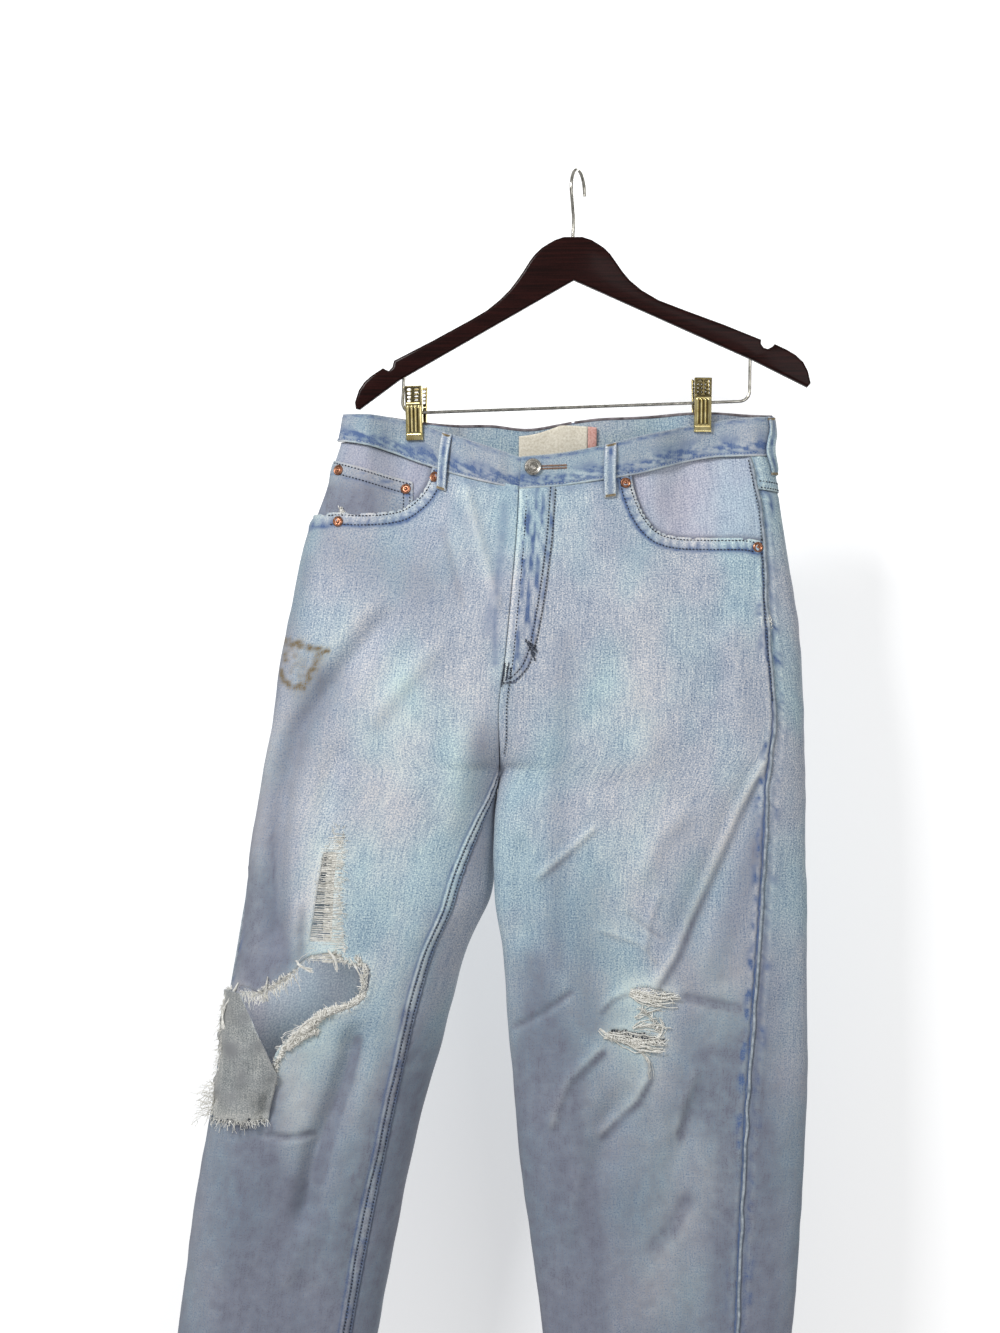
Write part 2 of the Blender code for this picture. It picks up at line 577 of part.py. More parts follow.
def yoke_level(share):
    """Level of the yoke seam: lower at the centre back than at the side."""
    return WAIST_LEVEL - YOKE_AT_SIDE - (YOKE_AT_CENTRE - YOKE_AT_SIDE) * share


def knots(form):
    """Shares of the columns across a form: at the clip, the belt loops and the lap, and even ones between."""
    clip = CLIPS[form.half]["x"]
    length = form.length_across(BAND_TOP_LEVEL)
    needed = {0.0, 1.0, *ROUND_KNOTS[form.half, form.face]}
    needed.update(form.share_at(clip + side * (PINCH_FLAT + step), BAND_TOP_LEVEL)
                  for side in (-1, 1) for step in (0, PINCH_FALL * 0.35, PINCH_FALL))
    needed.update(share for half, face, share in LOOPS.values() if (half, face) == (form.half, form.face))
    if form.face == "front":
        lap = (LAP / 2, LAP) if form.half == "left" else LAP_UNDER
        needed.update(step / length for step in lap)
    kept = []
    for share in sorted(needed):
        if not kept or share - kept[-1] > 0.012:
            kept.append(share)
    kept[-1] = 1.0
    filled = [0.0]
    for share in kept[1:]:
        parts = math.ceil((share - filled[-1]) / WIDEST_COLUMN)
        filled += list(np.linspace(filled[-1], share, parts + 1)[1:])
    return filled


def make_fronts(grids):
    """Both front panels, with their pocket scoops and tears cut out."""
    for half in ("right", "left"):
        grid = grids[half, "front", "panel"]
        front = add_wall(f"front_{half}", grid.points, grid.normals)
        cut(front, SCOOPS[half])
        for outline in TEARS[half]:
            cut(front, outline)


def make_backs(grids):
    """Both back panels, yokes and back pockets."""
    for half in ("right", "left"):
        panel, yoke = grids[half, "back", "panel"], grids[half, "back", "yoke"]
        add_wall(f"back_{half}", panel.points, panel.normals)
        add_wall(f"yoke_{half}", yoke.points, yoke.normals)
        pocket = add_wall(f"back_pocket_{half}", panel.points, panel.normals, GAP + PANEL_WALL)
        outline = [(x if half == "left" else BACK_MIRROR - x, z) for x, z in BACK_POCKET]
        cut(pocket, outline, keep=True, y_low=-5)


def make_waistband(grids):
    """The band: one wall round the waist, its left end lapped over its right end."""
    lapped = grids["left", "front", "band"]
    under = BAND_WALL + GAP
    count = int(np.searchsorted(lapped.shares * lapped.top_length(), LAP - 0.5)) + 1
    points = [lapped.points[:, j] - lapped.normals[:, j] * under for j in range(count - 1, -1, -1)]
    normals = [lapped.normals[:, j] for j in range(count - 1, -1, -1)]
    right = grids["right", "front", "band"]
    for j in range(1, len(right.shares)):
        inset = under if right.shares[j] * right.top_length() < LAP_UNDER[1] - 1 else 0.0
        points.append(right.points[:, j] - right.normals[:, j] * inset)
        normals.append(right.normals[:, j])
    for half, step in (("right", 1), ("left", -1)):
        back = grids[half, "back", "band"]
        columns = range(1, len(back.shares)) if step > 0 else range(len(back.shares) - 2, -1, -1)
        points += [back.points[:, j] for j in columns]
        normals += [back.normals[:, j] for j in columns]
    columns = range(len(lapped.shares) - 2, -1, -1)
    points += [lapped.points[:, j] for j in columns]
    normals += [lapped.normals[:, j] for j in columns]
    add_wall("waistband", np.stack(points, 1), np.stack(normals, 1), 0.0, BAND_WALL)


def make_fly(grids):
    """The fly lap: a strip on the left front beside the centre seam, rounded into a J at its foot."""
    grid = grids["left", "front", "panel"]
    fly = add_wall("fly", grid.points, grid.normals, GAP + TRIM_WALL, TRIM_WALL)
    cut(fly, FLY, keep=True, y_high=-5)


def make_pockets(grids):
    """The facings inside the front pockets, and the coin pocket that lies on the right one."""
    facing_out = -(PANEL_WALL + GAP + TRIM_WALL + GAP)
    for half in ("right", "left"):
        grid = grids[half, "front", "panel"]
        inner_x, bottom_z, outer_x = FACING_BOX[half]
        facing = add_wall(f"pocket_facing_{half}", grid.points, grid.normals, facing_out)
        box = ((inner_x, bottom_z), (outer_x, bottom_z), (outer_x, -200.0), (inner_x, -200.0))
        cut(facing, box, keep=True)
    grid = grids["right", "front", "panel"]
    coin = add_wall("coin_pocket", grid.points, grid.normals, -(PANEL_WALL + GAP), TRIM_WALL)
    cut(coin, COIN_POCKET, keep=True, y_high=0)


def make_hems(grids):
    """The turned hem of each leg, one closed ring."""
    for half in ("right", "left"):
        points, normals = [], []
        for face in ("front", "back"):
            form, grid = FORMS[half, face], grids[half, face, "panel"]
            start = 0 if face == "front" else 1
            for share in grid.shares[start:]:
                column = [(form.sample(form.points, share, level), form.sample(form.normals, share, level))
                          for level in (HEM_LEVEL + HEM_DEPTH - SEAM_HALF_GAP, HEM_LEVEL)]
                points.append([point for point, _ in column])
                normals.append([normal for _, normal in column])
        points, normals = (np.array(values).transpose(1, 0, 2) for values in (points, normals))
        add_wall(f"hem_{half}", points, normals, 0.0, BAND_WALL, ring=True)


def cloth_at(grids, half, face, share, level, out):
    """The point and normal on the band, or on the panel or yoke below it."""
    kind = "band" if level > WAIST_LEVEL else ("yoke" if face == "back" else "panel")
    grid = grids[half, face, kind]
    return grid.at(share, level, out), grid.normal(share, level)


def make_loops(grids):
    """Five belt loops, each standing a little off the band in the middle."""
    levels = np.linspace(BAND_TOP_LEVEL - 1.0, WAIST_LEVEL - LOOP_BELOW, 8)
    for name, (half, face, middle) in LOOPS.items():
        points, normals = [], []
        for i, level in enumerate(levels):
            out = 2 * GAP + PANEL_WALL + LOOP_STAND * math.sin(math.pi * i / (len(levels) - 1))
            row = []
            for side in (-1, 0, 1):
                share = middle + side * LOOP_WIDTH / 2 / FORMS[half, face].length_across(level)
                row.append(cloth_at(grids, half, face, share, level, out))
            points.append([np.array(point) / MM for point, _ in row])
            normals.append([np.array(normal) for _, normal in row])
        add_wall(name, np.array(points), np.array(normals))


def make_label(grids):
    """The cloth label inside the back of the band, and its narrow end."""
    for name, start_x, end_x, finish, columns in (("label_cloth", -46.0, 17.8, "label", 6),
                                                  ("label_end", 18.3, 27.0, "label_red", 1)):
        points, normals = [], []
        for x in np.linspace(start_x, end_x, columns + 1):
            form = FORMS["right" if x < 2 else "left", "back"]
            column = []
            for v in (0.04, 0.45, 0.88):
                level = BAND_TOP_LEVEL + (WAIST_LEVEL - BAND_TOP_LEVEL) * v
                share = form.share_at(x, level)
                point, _ = cloth_at(grids, form.half, "back", share, level, -BAND_WALL - 2 * GAP)
                column.append(np.array((x, point.y / MM, point.z / MM)))
            points.append(column)
            normals.append([np.array((0.0, 1.0, 0.0))] * 3)
        points, normals = (np.array(values).transpose(1, 0, 2) for values in (points, normals))
        add_wall(name, points, normals, 0.0, 1.0, finish)


def make_torn_flap():
    """The tongue of torn cloth at the right knee: folded out over the leg, its lower edge free."""
    form = FORMS["right", "front"]
    top, fold_foot, foot, foot_out, tuft, shoulder = (Vector((x, 0, z)) for x, z in TORN_FLAP)
    points = np.zeros((7, 7, 3))
    normals = np.zeros((7, 7, 3))
    normals[..., 1] = -1.0
    for i in range(7):
        v = i / 6
        right = top.lerp(fold_foot, v / 0.68) if v < 0.68 else fold_foot.lerp(foot, (v - 0.68) / 0.32)
        left = shoulder.lerp(tuft, v / 0.75) if v < 0.75 else tuft.lerp(foot_out, (v - 0.75) / 0.25)
        for j in range(7):
            u = j / 6
            flat = left.lerp(right, u)
            row = form.points[int(round((flat.z - form.levels[0]) / form.LEVEL_STEP))]
            order = np.argsort(row[:, 0])
            y = float(np.interp(max(flat.x, row[:, 0].min() + 6), row[order, 0], row[order, 1]))
            lift = 2.1 + 3.0 * (1 - u * v) + 4.0 * math.sin(math.pi * u) + 6.0 * u * (1 - v)
            points[i, j] = (flat.x, y - lift, flat.z)
    add_wall("torn_flap", points, normals, 0.0, PANEL_WALL, "denim_inside")


def lathe(name, profile, finish, place, axis, steps=14):
    """A turned piece. profile is (radius, height) from the axis at the back to the axis at the front."""
    bm = bmesh.new()
    verts = [bm.verts.new((r * MM, 0, h * MM)) for r, h in profile]
    edges = [bm.edges.new(pair) for pair in zip(verts[:-1], verts[1:])]
    bmesh.ops.spin(bm, geom=verts + edges, cent=(0, 0, 0), axis=(0, 0, 1), angle=math.tau, steps=steps,
                   use_merge=True)
    bmesh.ops.remove_doubles(bm, verts=bm.verts, dist=1e-6)
    bmesh.ops.recalc_face_normals(bm, faces=bm.faces)
    made = add_object(name, bm, finish, 40)
    made.rotation_mode = "QUATERNION"
    made.rotation_quaternion = axis.to_track_quat("Z", "Y")
    made.location = place
    return made


def seat(grid, share, level, radius, out):
    """Where a flat disc rests on the facets: just clear of the highest point under it."""
    centre, normal = grid.at(share, level, out), grid.normal(share, level)
    reach = 1.1 * radius / grid.top_length()
    around = [grid.at(share + part * reach * math.cos(turn), level + part * radius * math.sin(turn), out)
              for turn in np.linspace(0, math.tau, 25) for part in (0.5, 1.0)]
    lift = max((point - centre).dot(normal) for point in around)
    return centre + normal * (lift + SEAT_GAP * MM), normal


def make_rivets(grids):
    """Copper rivets at the pocket corners, and the waist button."""
    profile = ((0, 0), (4.6, 0), (4.6, 0.7), (3.9, 1.2), (2.6, 0.9), (1.5, 1.0), (1.2, 1.8), (0, 1.9))
    for name, (half, x, z) in RIVETS.items():
        grid = grids[half, "front", "panel"]
        share, level = grid.find(x, z)
        base = -PANEL_WALL - GAP if "coin" in name else 0.0
        lathe(name, profile, "copper", *seat(grid, share, level, 4.6, base))

    band = grids["left", "front", "band"]
    share, level = band.find(*BUTTON)
    button = ((0, 0), (3.4, 0), (3.4, 1.6), (8.0, 1.8), (8.3, 2.6), (7.6, 3.5), (6.2, 3.1), (5.0, 3.3),
              (3.6, 2.6), (0, 2.4))
    lathe("button", button, "nickel", *seat(band, share, level, 3.4, 0.0), 20)


def tube(name, route, wire, finish, resolution=2):
    """A round wire through points, in millimetres."""
    curve = bpy.data.curves.new(name, "CURVE")
    curve.dimensions = "3D"
    curve.bevel_depth = wire / 2 * MM
    curve.bevel_resolution = resolution
    curve.use_fill_caps = True
    spline = curve.splines.new("POLY")
    spline.points.add(len(route) - 1)
    for point, at in zip(spline.points, route):
        point.co = (*(Vector(at) * MM), 1)
    made = bpy.data.objects.new(name, curve)
    bpy.context.scene.collection.objects.link(made)
    curve.materials.append(material(finish))
    return made


def tilted(x, z, y=0.0):
    """Where a point of the upright hanger, (x, z) from the foot of the hook, is once it hangs tilted."""
    foot_x, foot_z = HOOK_FOOT
    return Matrix.Rotation(-HANGER_TILT, 3, "Y") @ Vector((x, y, z)) + Vector((foot_x, 0, foot_z))


def arc(centre, radius, start, end, steps):
    """Points of an arc in the plane (a, b), angles in degrees."""
    turns = (math.radians(start + (end - start) * i / steps) for i in range(steps + 1))
    return [(centre[0] + radius * math.cos(t), centre[1] + radius * math.sin(t)) for t in turns]


def make_hook():
    """The hook: over the rail in a half turn and more, then down into the wood."""
    route = [(LOOP_X + u * math.sin(HOOK_TURN), u * math.cos(HOOK_TURN), z)
             for u, z in arc((0.0, -HOOK_RADIUS), HOOK_RADIUS + HOOK_WIRE / 2, -5, 205, 14)]
    route += [(LOOP_X + x, y, z) for x, y, z in HOOK_NECK]
    tube("hanger_hook", route, HOOK_WIRE, "steel")


def make_wood():
    """The wooden shoulders: one board, notched near each end, with a hole for the hook."""
    outline = [*ARMS["left"], ARM_MIDDLE, *ARMS["right"][::-1]]
    bm = bmesh.new()
    face = bm.faces.new([bm.verts.new(tilted(x, z, -HANGER_THICK / 2) * MM) for x, z in outline])
    grown = bmesh.ops.extrude_face_region(bm, geom=[face])
    verts = [item for item in grown["geom"] if isinstance(item, bmesh.types.BMVert)]
    bmesh.ops.translate(bm, verts=verts, vec=(0, HANGER_THICK * MM, 0))
    bmesh.ops.recalc_face_normals(bm, faces=bm.faces)
    wood = add_object("hanger_wood", bm, "wood", 35)
    edge = wood.modifiers.new("edge", "BEVEL")
    edge.width = HANGER_EDGE * MM
    edge.segments = 2
    edge.limit_method = "ANGLE"
    edge.angle_limit = math.radians(50)

    reach = 20.0  # how far the cutter stands above the wood
    stem = bmesh.new()
    bmesh.ops.create_cone(stem, cap_ends=True, segments=16, radius1=(HOOK_WIRE / 2 + GAP) * MM,
                          radius2=(HOOK_WIRE / 2 + GAP) * MM, depth=(reach + HOOK_DEPTH + GAP) * MM)
    hole = add_object("cutter_stem", stem, "wood")
    hole.location = Vector((HOOK_FOOT[0], 0, HOOK_FOOT[1] + (reach - HOOK_DEPTH - GAP) / 2)) * MM
    hole.hide_render = True
    hole.display_type = "WIRE"
    bore = wood.modifiers.new("stem hole", "BOOLEAN")
    bore.operation = "DIFFERENCE"
    bore.solver = "EXACT"
    bore.object = hole


def bar_height(x):
    """Height of the trouser bar's axis at x."""
    return float(np.interp(x, (BAR_LEFT[0], BAR_RIGHT[0]), (BAR_LEFT[1], BAR_RIGHT[1])))


def under_arm(arm, x):
    """Height just under an arm's lower edge at x, for a wire that ends there."""
    middle, outer = tilted(*ARM_MIDDLE), tilted(*ARMS[arm][-1])
    slope = (outer.z - middle.z) / (outer.x - middle.x)
    return middle.z + slope * (x - middle.x) - abs(slope) * BAR_WIRE / 2 - GAP


def make_bar():
    """The trouser bar: a wire from under each shoulder, down and across."""
    route = [(BAR_TOP_LEFT, under_arm("right", BAR_TOP_LEFT))]
    route += arc((BAR_LEFT[0] + BAR_BEND, BAR_LEFT[1] + BAR_BEND), BAR_BEND, 180, 270, 6)
    route += arc((BAR_RIGHT[0] - BAR_BEND, BAR_RIGHT[1] + BAR_BEND), BAR_BEND, 270, 360, 6)
    route.append((BAR_TOP_RIGHT, under_arm("left", BAR_TOP_RIGHT)))
    tube("hanger_bar", [(x, 0, z) for x, z in route], BAR_WIRE, "steel")


def make_clip(half):
    """One trouser clip: two channel jaws that press the band between them, and a spring on the bar."""
    clip = CLIPS[half]
    centre = Vector((clip["x"], 0, 0))
    turn = Matrix.Rotation(-clip["turn"], 4, "Z")
    grip = PINCH_HALF_DEPTH + CLIP_GAP
    for jaw, side in (("front", -1), ("back", 1)):
        outer = CLIP_FLANGE + CLIP_SHEET
        wide, slim = CLIP_WIDTH / 2, CLIP_WIDTH / 2 - CLIP_SHEET
        outline = [(-wide, 0), (-wide, outer), (wide, outer), (wide, 0), (slim, 0),
                   (slim, CLIP_FLANGE), (-slim, CLIP_FLANGE), (-slim, 0)]
        bm = bmesh.new()
        face = bm.faces.new([bm.verts.new((x * MM, y * MM, 0)) for x, y in outline])
        grown = bmesh.ops.extrude_face_region(bm, geom=[face])
        verts = [item for item in grown["geom"] if isinstance(item, bmesh.types.BMVert)]
        bmesh.ops.translate(bm, verts=verts, vec=(0, 0, CLIP_HEIGHT * MM))
        bmesh.ops.recalc_face_normals(bm, faces=bm.faces)
        made = add_object(f"clip_{half}_{jaw}", bm, "brass")
        splay = Matrix.Rotation(-CLIP_SPLAY, 4, "X")
        facing = Matrix.Rotation(math.pi if side < 0 else 0, 4, "Z")
        shift = Matrix.Translation(Vector((0, grip, clip["tip_z"])) * MM)
        made.matrix_world = Matrix.Translation(centre * MM) @ turn @ facing @ shift @ splay
    height = bar_height(clip["x"])
    end = SPRING_LENGTH / 2
    bore = BAR_WIRE / 2 + 1.5 * GAP + end * abs(math.sin(clip["turn"]))
    ring = [(bore, -end), (SPRING_RADIUS, -end), (SPRING_RADIUS, end), (bore, end)]
    axis = turn.to_3x3() @ Vector((1, 0, 0))
    lathe(f"clip_{half}_spring", ring + ring[:1], "steel", Vector((clip["x"], 0, height)) * MM, axis, 16)


def main():
    for item in list(bpy.data.objects):
        bpy.data.objects.remove(item, do_unlink=True)
    FORMS.update(make_forms())
    grids = make_grids(FORMS)
    make_fronts(grids)
    make_backs(grids)
    make_waistband(grids)
    make_fly(grids)
    make_pockets(grids)
    make_hems(grids)
    make_loops(grids)
    make_label(grids)
    make_torn_flap()
    make_rivets(grids)
    make_hook()
    make_wood()
    make_bar()
    for half in CLIPS:
        make_clip(half)
    for item in bpy.data.objects:
        item.location.x -= LOOP_X * MM


FORMS = {}
main()
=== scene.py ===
"""Ripped light-wash jeans, clipped by the waistband to a wooden hanger.

The cloth of the jeans is one form. Each half of the garment has a table of cross sections, and every panel,
pocket, seam and thread is laid on the form by a share across it and a level down it. Tables and sizes are in
millimetres, with x counted from the middle of the hanger. Meshes are in metres, in the frame of the part.
"""

import logging
import math
from dataclasses import dataclass, field
from enum import Enum
from typing import Sequence

import bmesh
import bpy
import numpy as np
from mathutils import Matrix, Vector, kdtree

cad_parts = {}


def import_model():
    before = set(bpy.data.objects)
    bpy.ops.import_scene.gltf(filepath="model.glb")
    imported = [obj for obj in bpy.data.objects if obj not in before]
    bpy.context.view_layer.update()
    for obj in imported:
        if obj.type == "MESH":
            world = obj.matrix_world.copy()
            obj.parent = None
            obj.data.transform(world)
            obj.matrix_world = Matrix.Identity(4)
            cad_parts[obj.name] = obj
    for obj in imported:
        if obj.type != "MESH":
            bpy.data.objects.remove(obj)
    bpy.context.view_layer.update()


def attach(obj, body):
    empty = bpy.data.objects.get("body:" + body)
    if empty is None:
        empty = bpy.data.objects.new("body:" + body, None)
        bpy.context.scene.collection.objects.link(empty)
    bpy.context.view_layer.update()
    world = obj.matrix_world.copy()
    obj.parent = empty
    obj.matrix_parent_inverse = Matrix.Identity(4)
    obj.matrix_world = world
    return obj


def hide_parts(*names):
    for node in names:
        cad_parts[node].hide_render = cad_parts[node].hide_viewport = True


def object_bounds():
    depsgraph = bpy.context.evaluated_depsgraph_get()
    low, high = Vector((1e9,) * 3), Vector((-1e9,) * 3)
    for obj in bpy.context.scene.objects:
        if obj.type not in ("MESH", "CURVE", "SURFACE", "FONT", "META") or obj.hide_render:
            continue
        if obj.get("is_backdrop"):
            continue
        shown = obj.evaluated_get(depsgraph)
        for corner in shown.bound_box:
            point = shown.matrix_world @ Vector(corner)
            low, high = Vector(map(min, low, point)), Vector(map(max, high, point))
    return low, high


LOG = logging.getLogger("jeans")
Array = np.ndarray
Line = Sequence[tuple[float, float]]
Spot = tuple[float, float, float]
Piece = bpy.types.Object
Material = bpy.types.Material
Tree = bpy.types.NodeTree
Node = bpy.types.Node
Socket = bpy.types.NodeSocket
Colour = tuple[float, float, float, float]

MM = 0.001
LOOP_X = 7.8  # the hook's loop, and the part's origin, stand this far to the side of the hanger's middle
BODY = "root"
SEED = 7
FAR = 1e9  # farther than any point
WHITE = (1.0, 1.0, 1.0, 1.0)
TO_VIEWER = (0.0, -1.0, 0.0)

# ---------------------------------------------------------------- the form of the cloth

WAIST_LEVEL = -288.0
BAND_TOP_LEVEL = -250.0
CROTCH_LEVEL = -583.0
CROTCH_RISE = 55.0  # over this height the halves close above the crotch
HEM_LEVEL = -1372.0
HEM_DEPTH = 14.0
DIP_END_LEVEL = -430.0  # down to here the levels dip with the waist
PINCH_HALF_DEPTH = 2.75  # of the band under a clip
PINCH_FLAT = 10.0  # half width that a clip presses flat
PINCH_FALL = 40.0  # over this width beside it the band opens again
PINCH_FULL_LEVEL = -273.0
PINCH_END_LEVEL = -400.0
SEAM_HALF_GAP = 0.12  # half the gap between the two halves at the centre seams
FOLD_GAIN = 1.7  # how much deeper the folds and creases of the tables are made
CREASE_FADE = 3.0  # how many half widths long the fading ends of a crease are
LAP = 30.0  # how far the band's left end laps over its right end
YOKE_AT_CENTRE = 62.0  # how far the yoke's seam lies below the waist at the centre back


class Half(Enum):
    """The wearer's side."""

    RIGHT = "right"
    LEFT = "left"


class Face(Enum):
    """The side of the body that a panel covers."""

    FRONT = "front"
    BACK = "back"


RIGHT_FRONT, RIGHT_BACK = ((Half.RIGHT, face) for face in Face)
LEFT_FRONT, LEFT_BACK = ((Half.LEFT, face) for face in Face)


@dataclass(frozen=True)
class Pinch:
    """Where a clip presses the band flat: its middle, the lowest point of its jaws and its turn."""

    x: float
    tip_z: float
    turn: float


PINCHES = {
    Half.RIGHT: Pinch(-150.5, -263.5, math.radians(16.0)),
    Half.LEFT: Pinch(129.0, -255.5, math.radians(-5.0)),
}

# One row for each height, as in the part's source. cf and cb: x of the front and back centre seam, or of the
# inner outline of a leg. out: x of the outer outline. y_in, y_out: middle of the depth there. front, back,
# side: half depths. cap_in, cap_out: widths of the rounded ends. in_turn, out_turn: how far round from the
# outline the inseam and outseam lie, to the front if positive.
COLUMNS = ("z", "cf", "cb", "out", "y_in", "y_out", "front", "back", "side",
           "cap_in", "cap_out", "in_turn", "out_turn")

RIGHT_ROWS = (
    (-250, -48, 2, -221, 0, 0, 26, 10, 12, 60, 26, 0, -20),
    (-288, -50, 2, -227, 0, 0, 30, 16, 15, 60, 30, 0, -20),
    (-330, -52, -3, -242, 0, 2, 35, 24, 21, 60, 42, 0, -24),
    (-380, -55, -13, -263, 0, 4, 39, 32, 28, 60, 55, 0, -24),
    (-430, -59, -26, -274, 0, 4, 42, 37, 33, 60, 65, 0, -23),
    (-480, -64, -41, -284, 1, 4, 43, 40, 37, 60, 72, 0, -24),
    (-530, -70, -58, -291, 3, 2, 42, 41, 38, 60, 75, 0, -22),
    (-583, -69, -69, -301, 5, 0, 41, 41, 38, 70, 75, 0, -19),
    (-597, -69.5, -69.5, -303, 8, 0, 43, 43, 39, 70, 75, 6, -19),
    (-612, -70.8, -70.8, -305, 11, 0, 44, 44, 40, 70, 74, 14, -19),
    (-630, -72, -72, -308, 14, -1, 45, 45, 42, 70, 72, 26, -17),
    (-665, -72.5, -72.5, -313, 18, -2, 47, 47, 44, 70, 70, 46, -13),
    (-712, -77.5, -77.5, -317, 20, -3, 49, 49, 46, 70, 70, 60, -6),
    (-760, -100, -100, -324, 20, -3, 50, 50, 47, 70, 70, 58.5, 2),
    (-815, -115, -115, -334, 19, -3, 50, 50, 48, 70, 70, 59.5, -6),
    (-870, -130, -130, -344, 18, -2, 50, 50, 48, 70, 70, 57, -15),
    (-925, -146, -146, -353, 17, -2, 49, 49, 47, 68, 68, 52, -20),
    (-1050, -172, -172, -373, 14, 0, 43, 43, 42, 64, 64, 47, -21),
    (-1150, -190, -190, -385, 11, 1, 37, 37, 37, 60, 60, 43, -19),
    (-1260, -205, -205, -394, 9, 2, 30, 30, 30, 56, 56, 37, -15),
    (-1372, -214, -214, -398, 8, 3, 26, 26, 26, 54, 54, 33, -12),
)
LEFT_ROWS = (
    (-250, -48, 2, 198, 0, 0, 26, 10, 13, 60, 26, 0, 26),
    (-288, -50, 2, 200, 0, 2, 30, 16, 16, 60, 30, 0, 31),
    (-330, -52, -3, 205.5, 0, 5, 35, 24, 22, 60, 42, 0, 30),
    (-380, -55, -13, 214, 0, 7, 39, 32, 28, 60, 55, 0, 36),
    (-430, -59, -26, 222, 0, 8, 42, 37, 33, 60, 65, 0, 44),
    (-480, -64, -41, 227, 1, 9, 43, 40, 37, 60, 72, 0, 47),
    (-530, -70, -58, 230, 3, 9, 42, 41, 38, 60, 75, 0, 46),
    (-583, -69, -69, 231, 5, 8, 41, 41, 36, 60, 75, 0, 51),
    (-597, -69.5, -69.5, 232, 2, 8, 37, 37, 35, 60, 75, -12, 53),
    (-612, -71.5, -71.5, 232, -1, 8, 35, 35, 33, 60, 74, -20, 53),
    (-630, -73.5, -73.5, 232, -4, 8, 33, 33, 31, 60, 72, -24, 53),
    (-665, -75.5, -75.5, 232, -8, 7, 30, 30, 28, 60, 70, -30, 53),
    (-712, -73.5, -73.5, 233, -9, 7, 28, 28, 26, 60, 70, -34, 56),
    (-760, -66, -66, 233, -8, 6, 27, 27, 26, 60, 70, -35, 59),
    (-815, -62, -62, 233, -7, 6, 27, 27, 26, 60, 70, -36, 63),
    (-870, -57.5, -57.5, 233, -6, 6, 27, 27, 26, 60, 68, -37, 67),
    (-925, -54, -54, 232, -5, 6, 27, 27, 26, 58, 66, -37, 70),
    (-1050, -38, -38, 226, -3, 5, 25, 25, 24, 55, 60, -36, 69),
    (-1150, -26, -26, 216, -2, 4, 25, 24, 24, 52, 56, -34, 63),
    (-1260, -16, -16, 206, -1, 4, 23, 22, 22, 50, 52, -31, 55),
    (-1372, -8, -8, 198, 0, 3, 21, 21, 21, 48, 48, -28, 50),
)
ROWS = {Half.RIGHT: RIGHT_ROWS, Half.LEFT: LEFT_ROWS}

# Heights of the waist seam and of the band's top edge: (share across the panel, seam z, top z).
# A front runs from the centre (0) to the side (1), and a back from the side (0) to the centre (1).
WAIST_LINES = {
    RIGHT_FRONT: ((0.0, -312, -280), (0.2, -303, -266), (0.35, -294, -256), (0.5, -284, -246),
                  (0.6, -276, -241), (0.8, -266, -237), (1.0, -262, -237)),
    RIGHT_BACK: ((0.0, -262, -237), (0.12, -266, -239), (0.27, -281, -244), (0.42, -286, -247),
                 (0.6, -286, -246.5), (0.79, -289, -250.5), (0.95, -285, -245.5), (1.0, -282.5, -243.5)),
    LEFT_FRONT: ((0.0, -312, -280), (0.17, -309, -276), (0.35, -303, -268), (0.5, -297, -259),
                 (0.62, -290, -253), (0.77, -282, -246), (0.88, -279, -242), (1.0, -279, -240)),
    LEFT_BACK: ((0.0, -279, -240), (0.1, -278, -238.5), (0.22, -276, -236.5), (0.41, -274, -235),
                (0.76, -278, -239), (0.88, -279.5, -240), (1.0, -282.5, -243.5)),
}

# Broad folds of the hanging cloth, for each panel: points (x, z), half width and height.
FOLDS = {
    RIGHT_FRONT: (
        (((-167, -421), (-230, -500), (-266, -545), (-281, -592), (-287, -680), (-287, -775)), 13, -7),
        (((-220, -545), (-234, -600), (-240, -650)), 12, -3),
        (((-207, -823), (-212, -862), (-223, -896), (-246, -953), (-262, -1040)), 11, -8),
    ),
    LEFT_FRONT: (
        (((205, -575), (176, -612), (150, -675), (122, -735), (102, -778)), 18, -5),
        (((-50, -640), (-50, -700), (-48, -765)), 9, -3),
        (((60, -880), (40, -924), (26, -1000)), 16, -5),
        (((128, -885), (115, -925), (96, -990)), 14, -4),
    ),
    RIGHT_BACK: (
        (((-120, -420), (-190, -520), (-240, -640)), 18, -5),
        (((-190, -760), (-230, -880), (-250, -1020)), 16, -6),
    ),
    LEFT_BACK: (
        (((60, -430), (130, -540), (170, -680)), 18, -5),
        (((20, -700), (60, -820), (70, -960)), 16, -5),
    ),
}

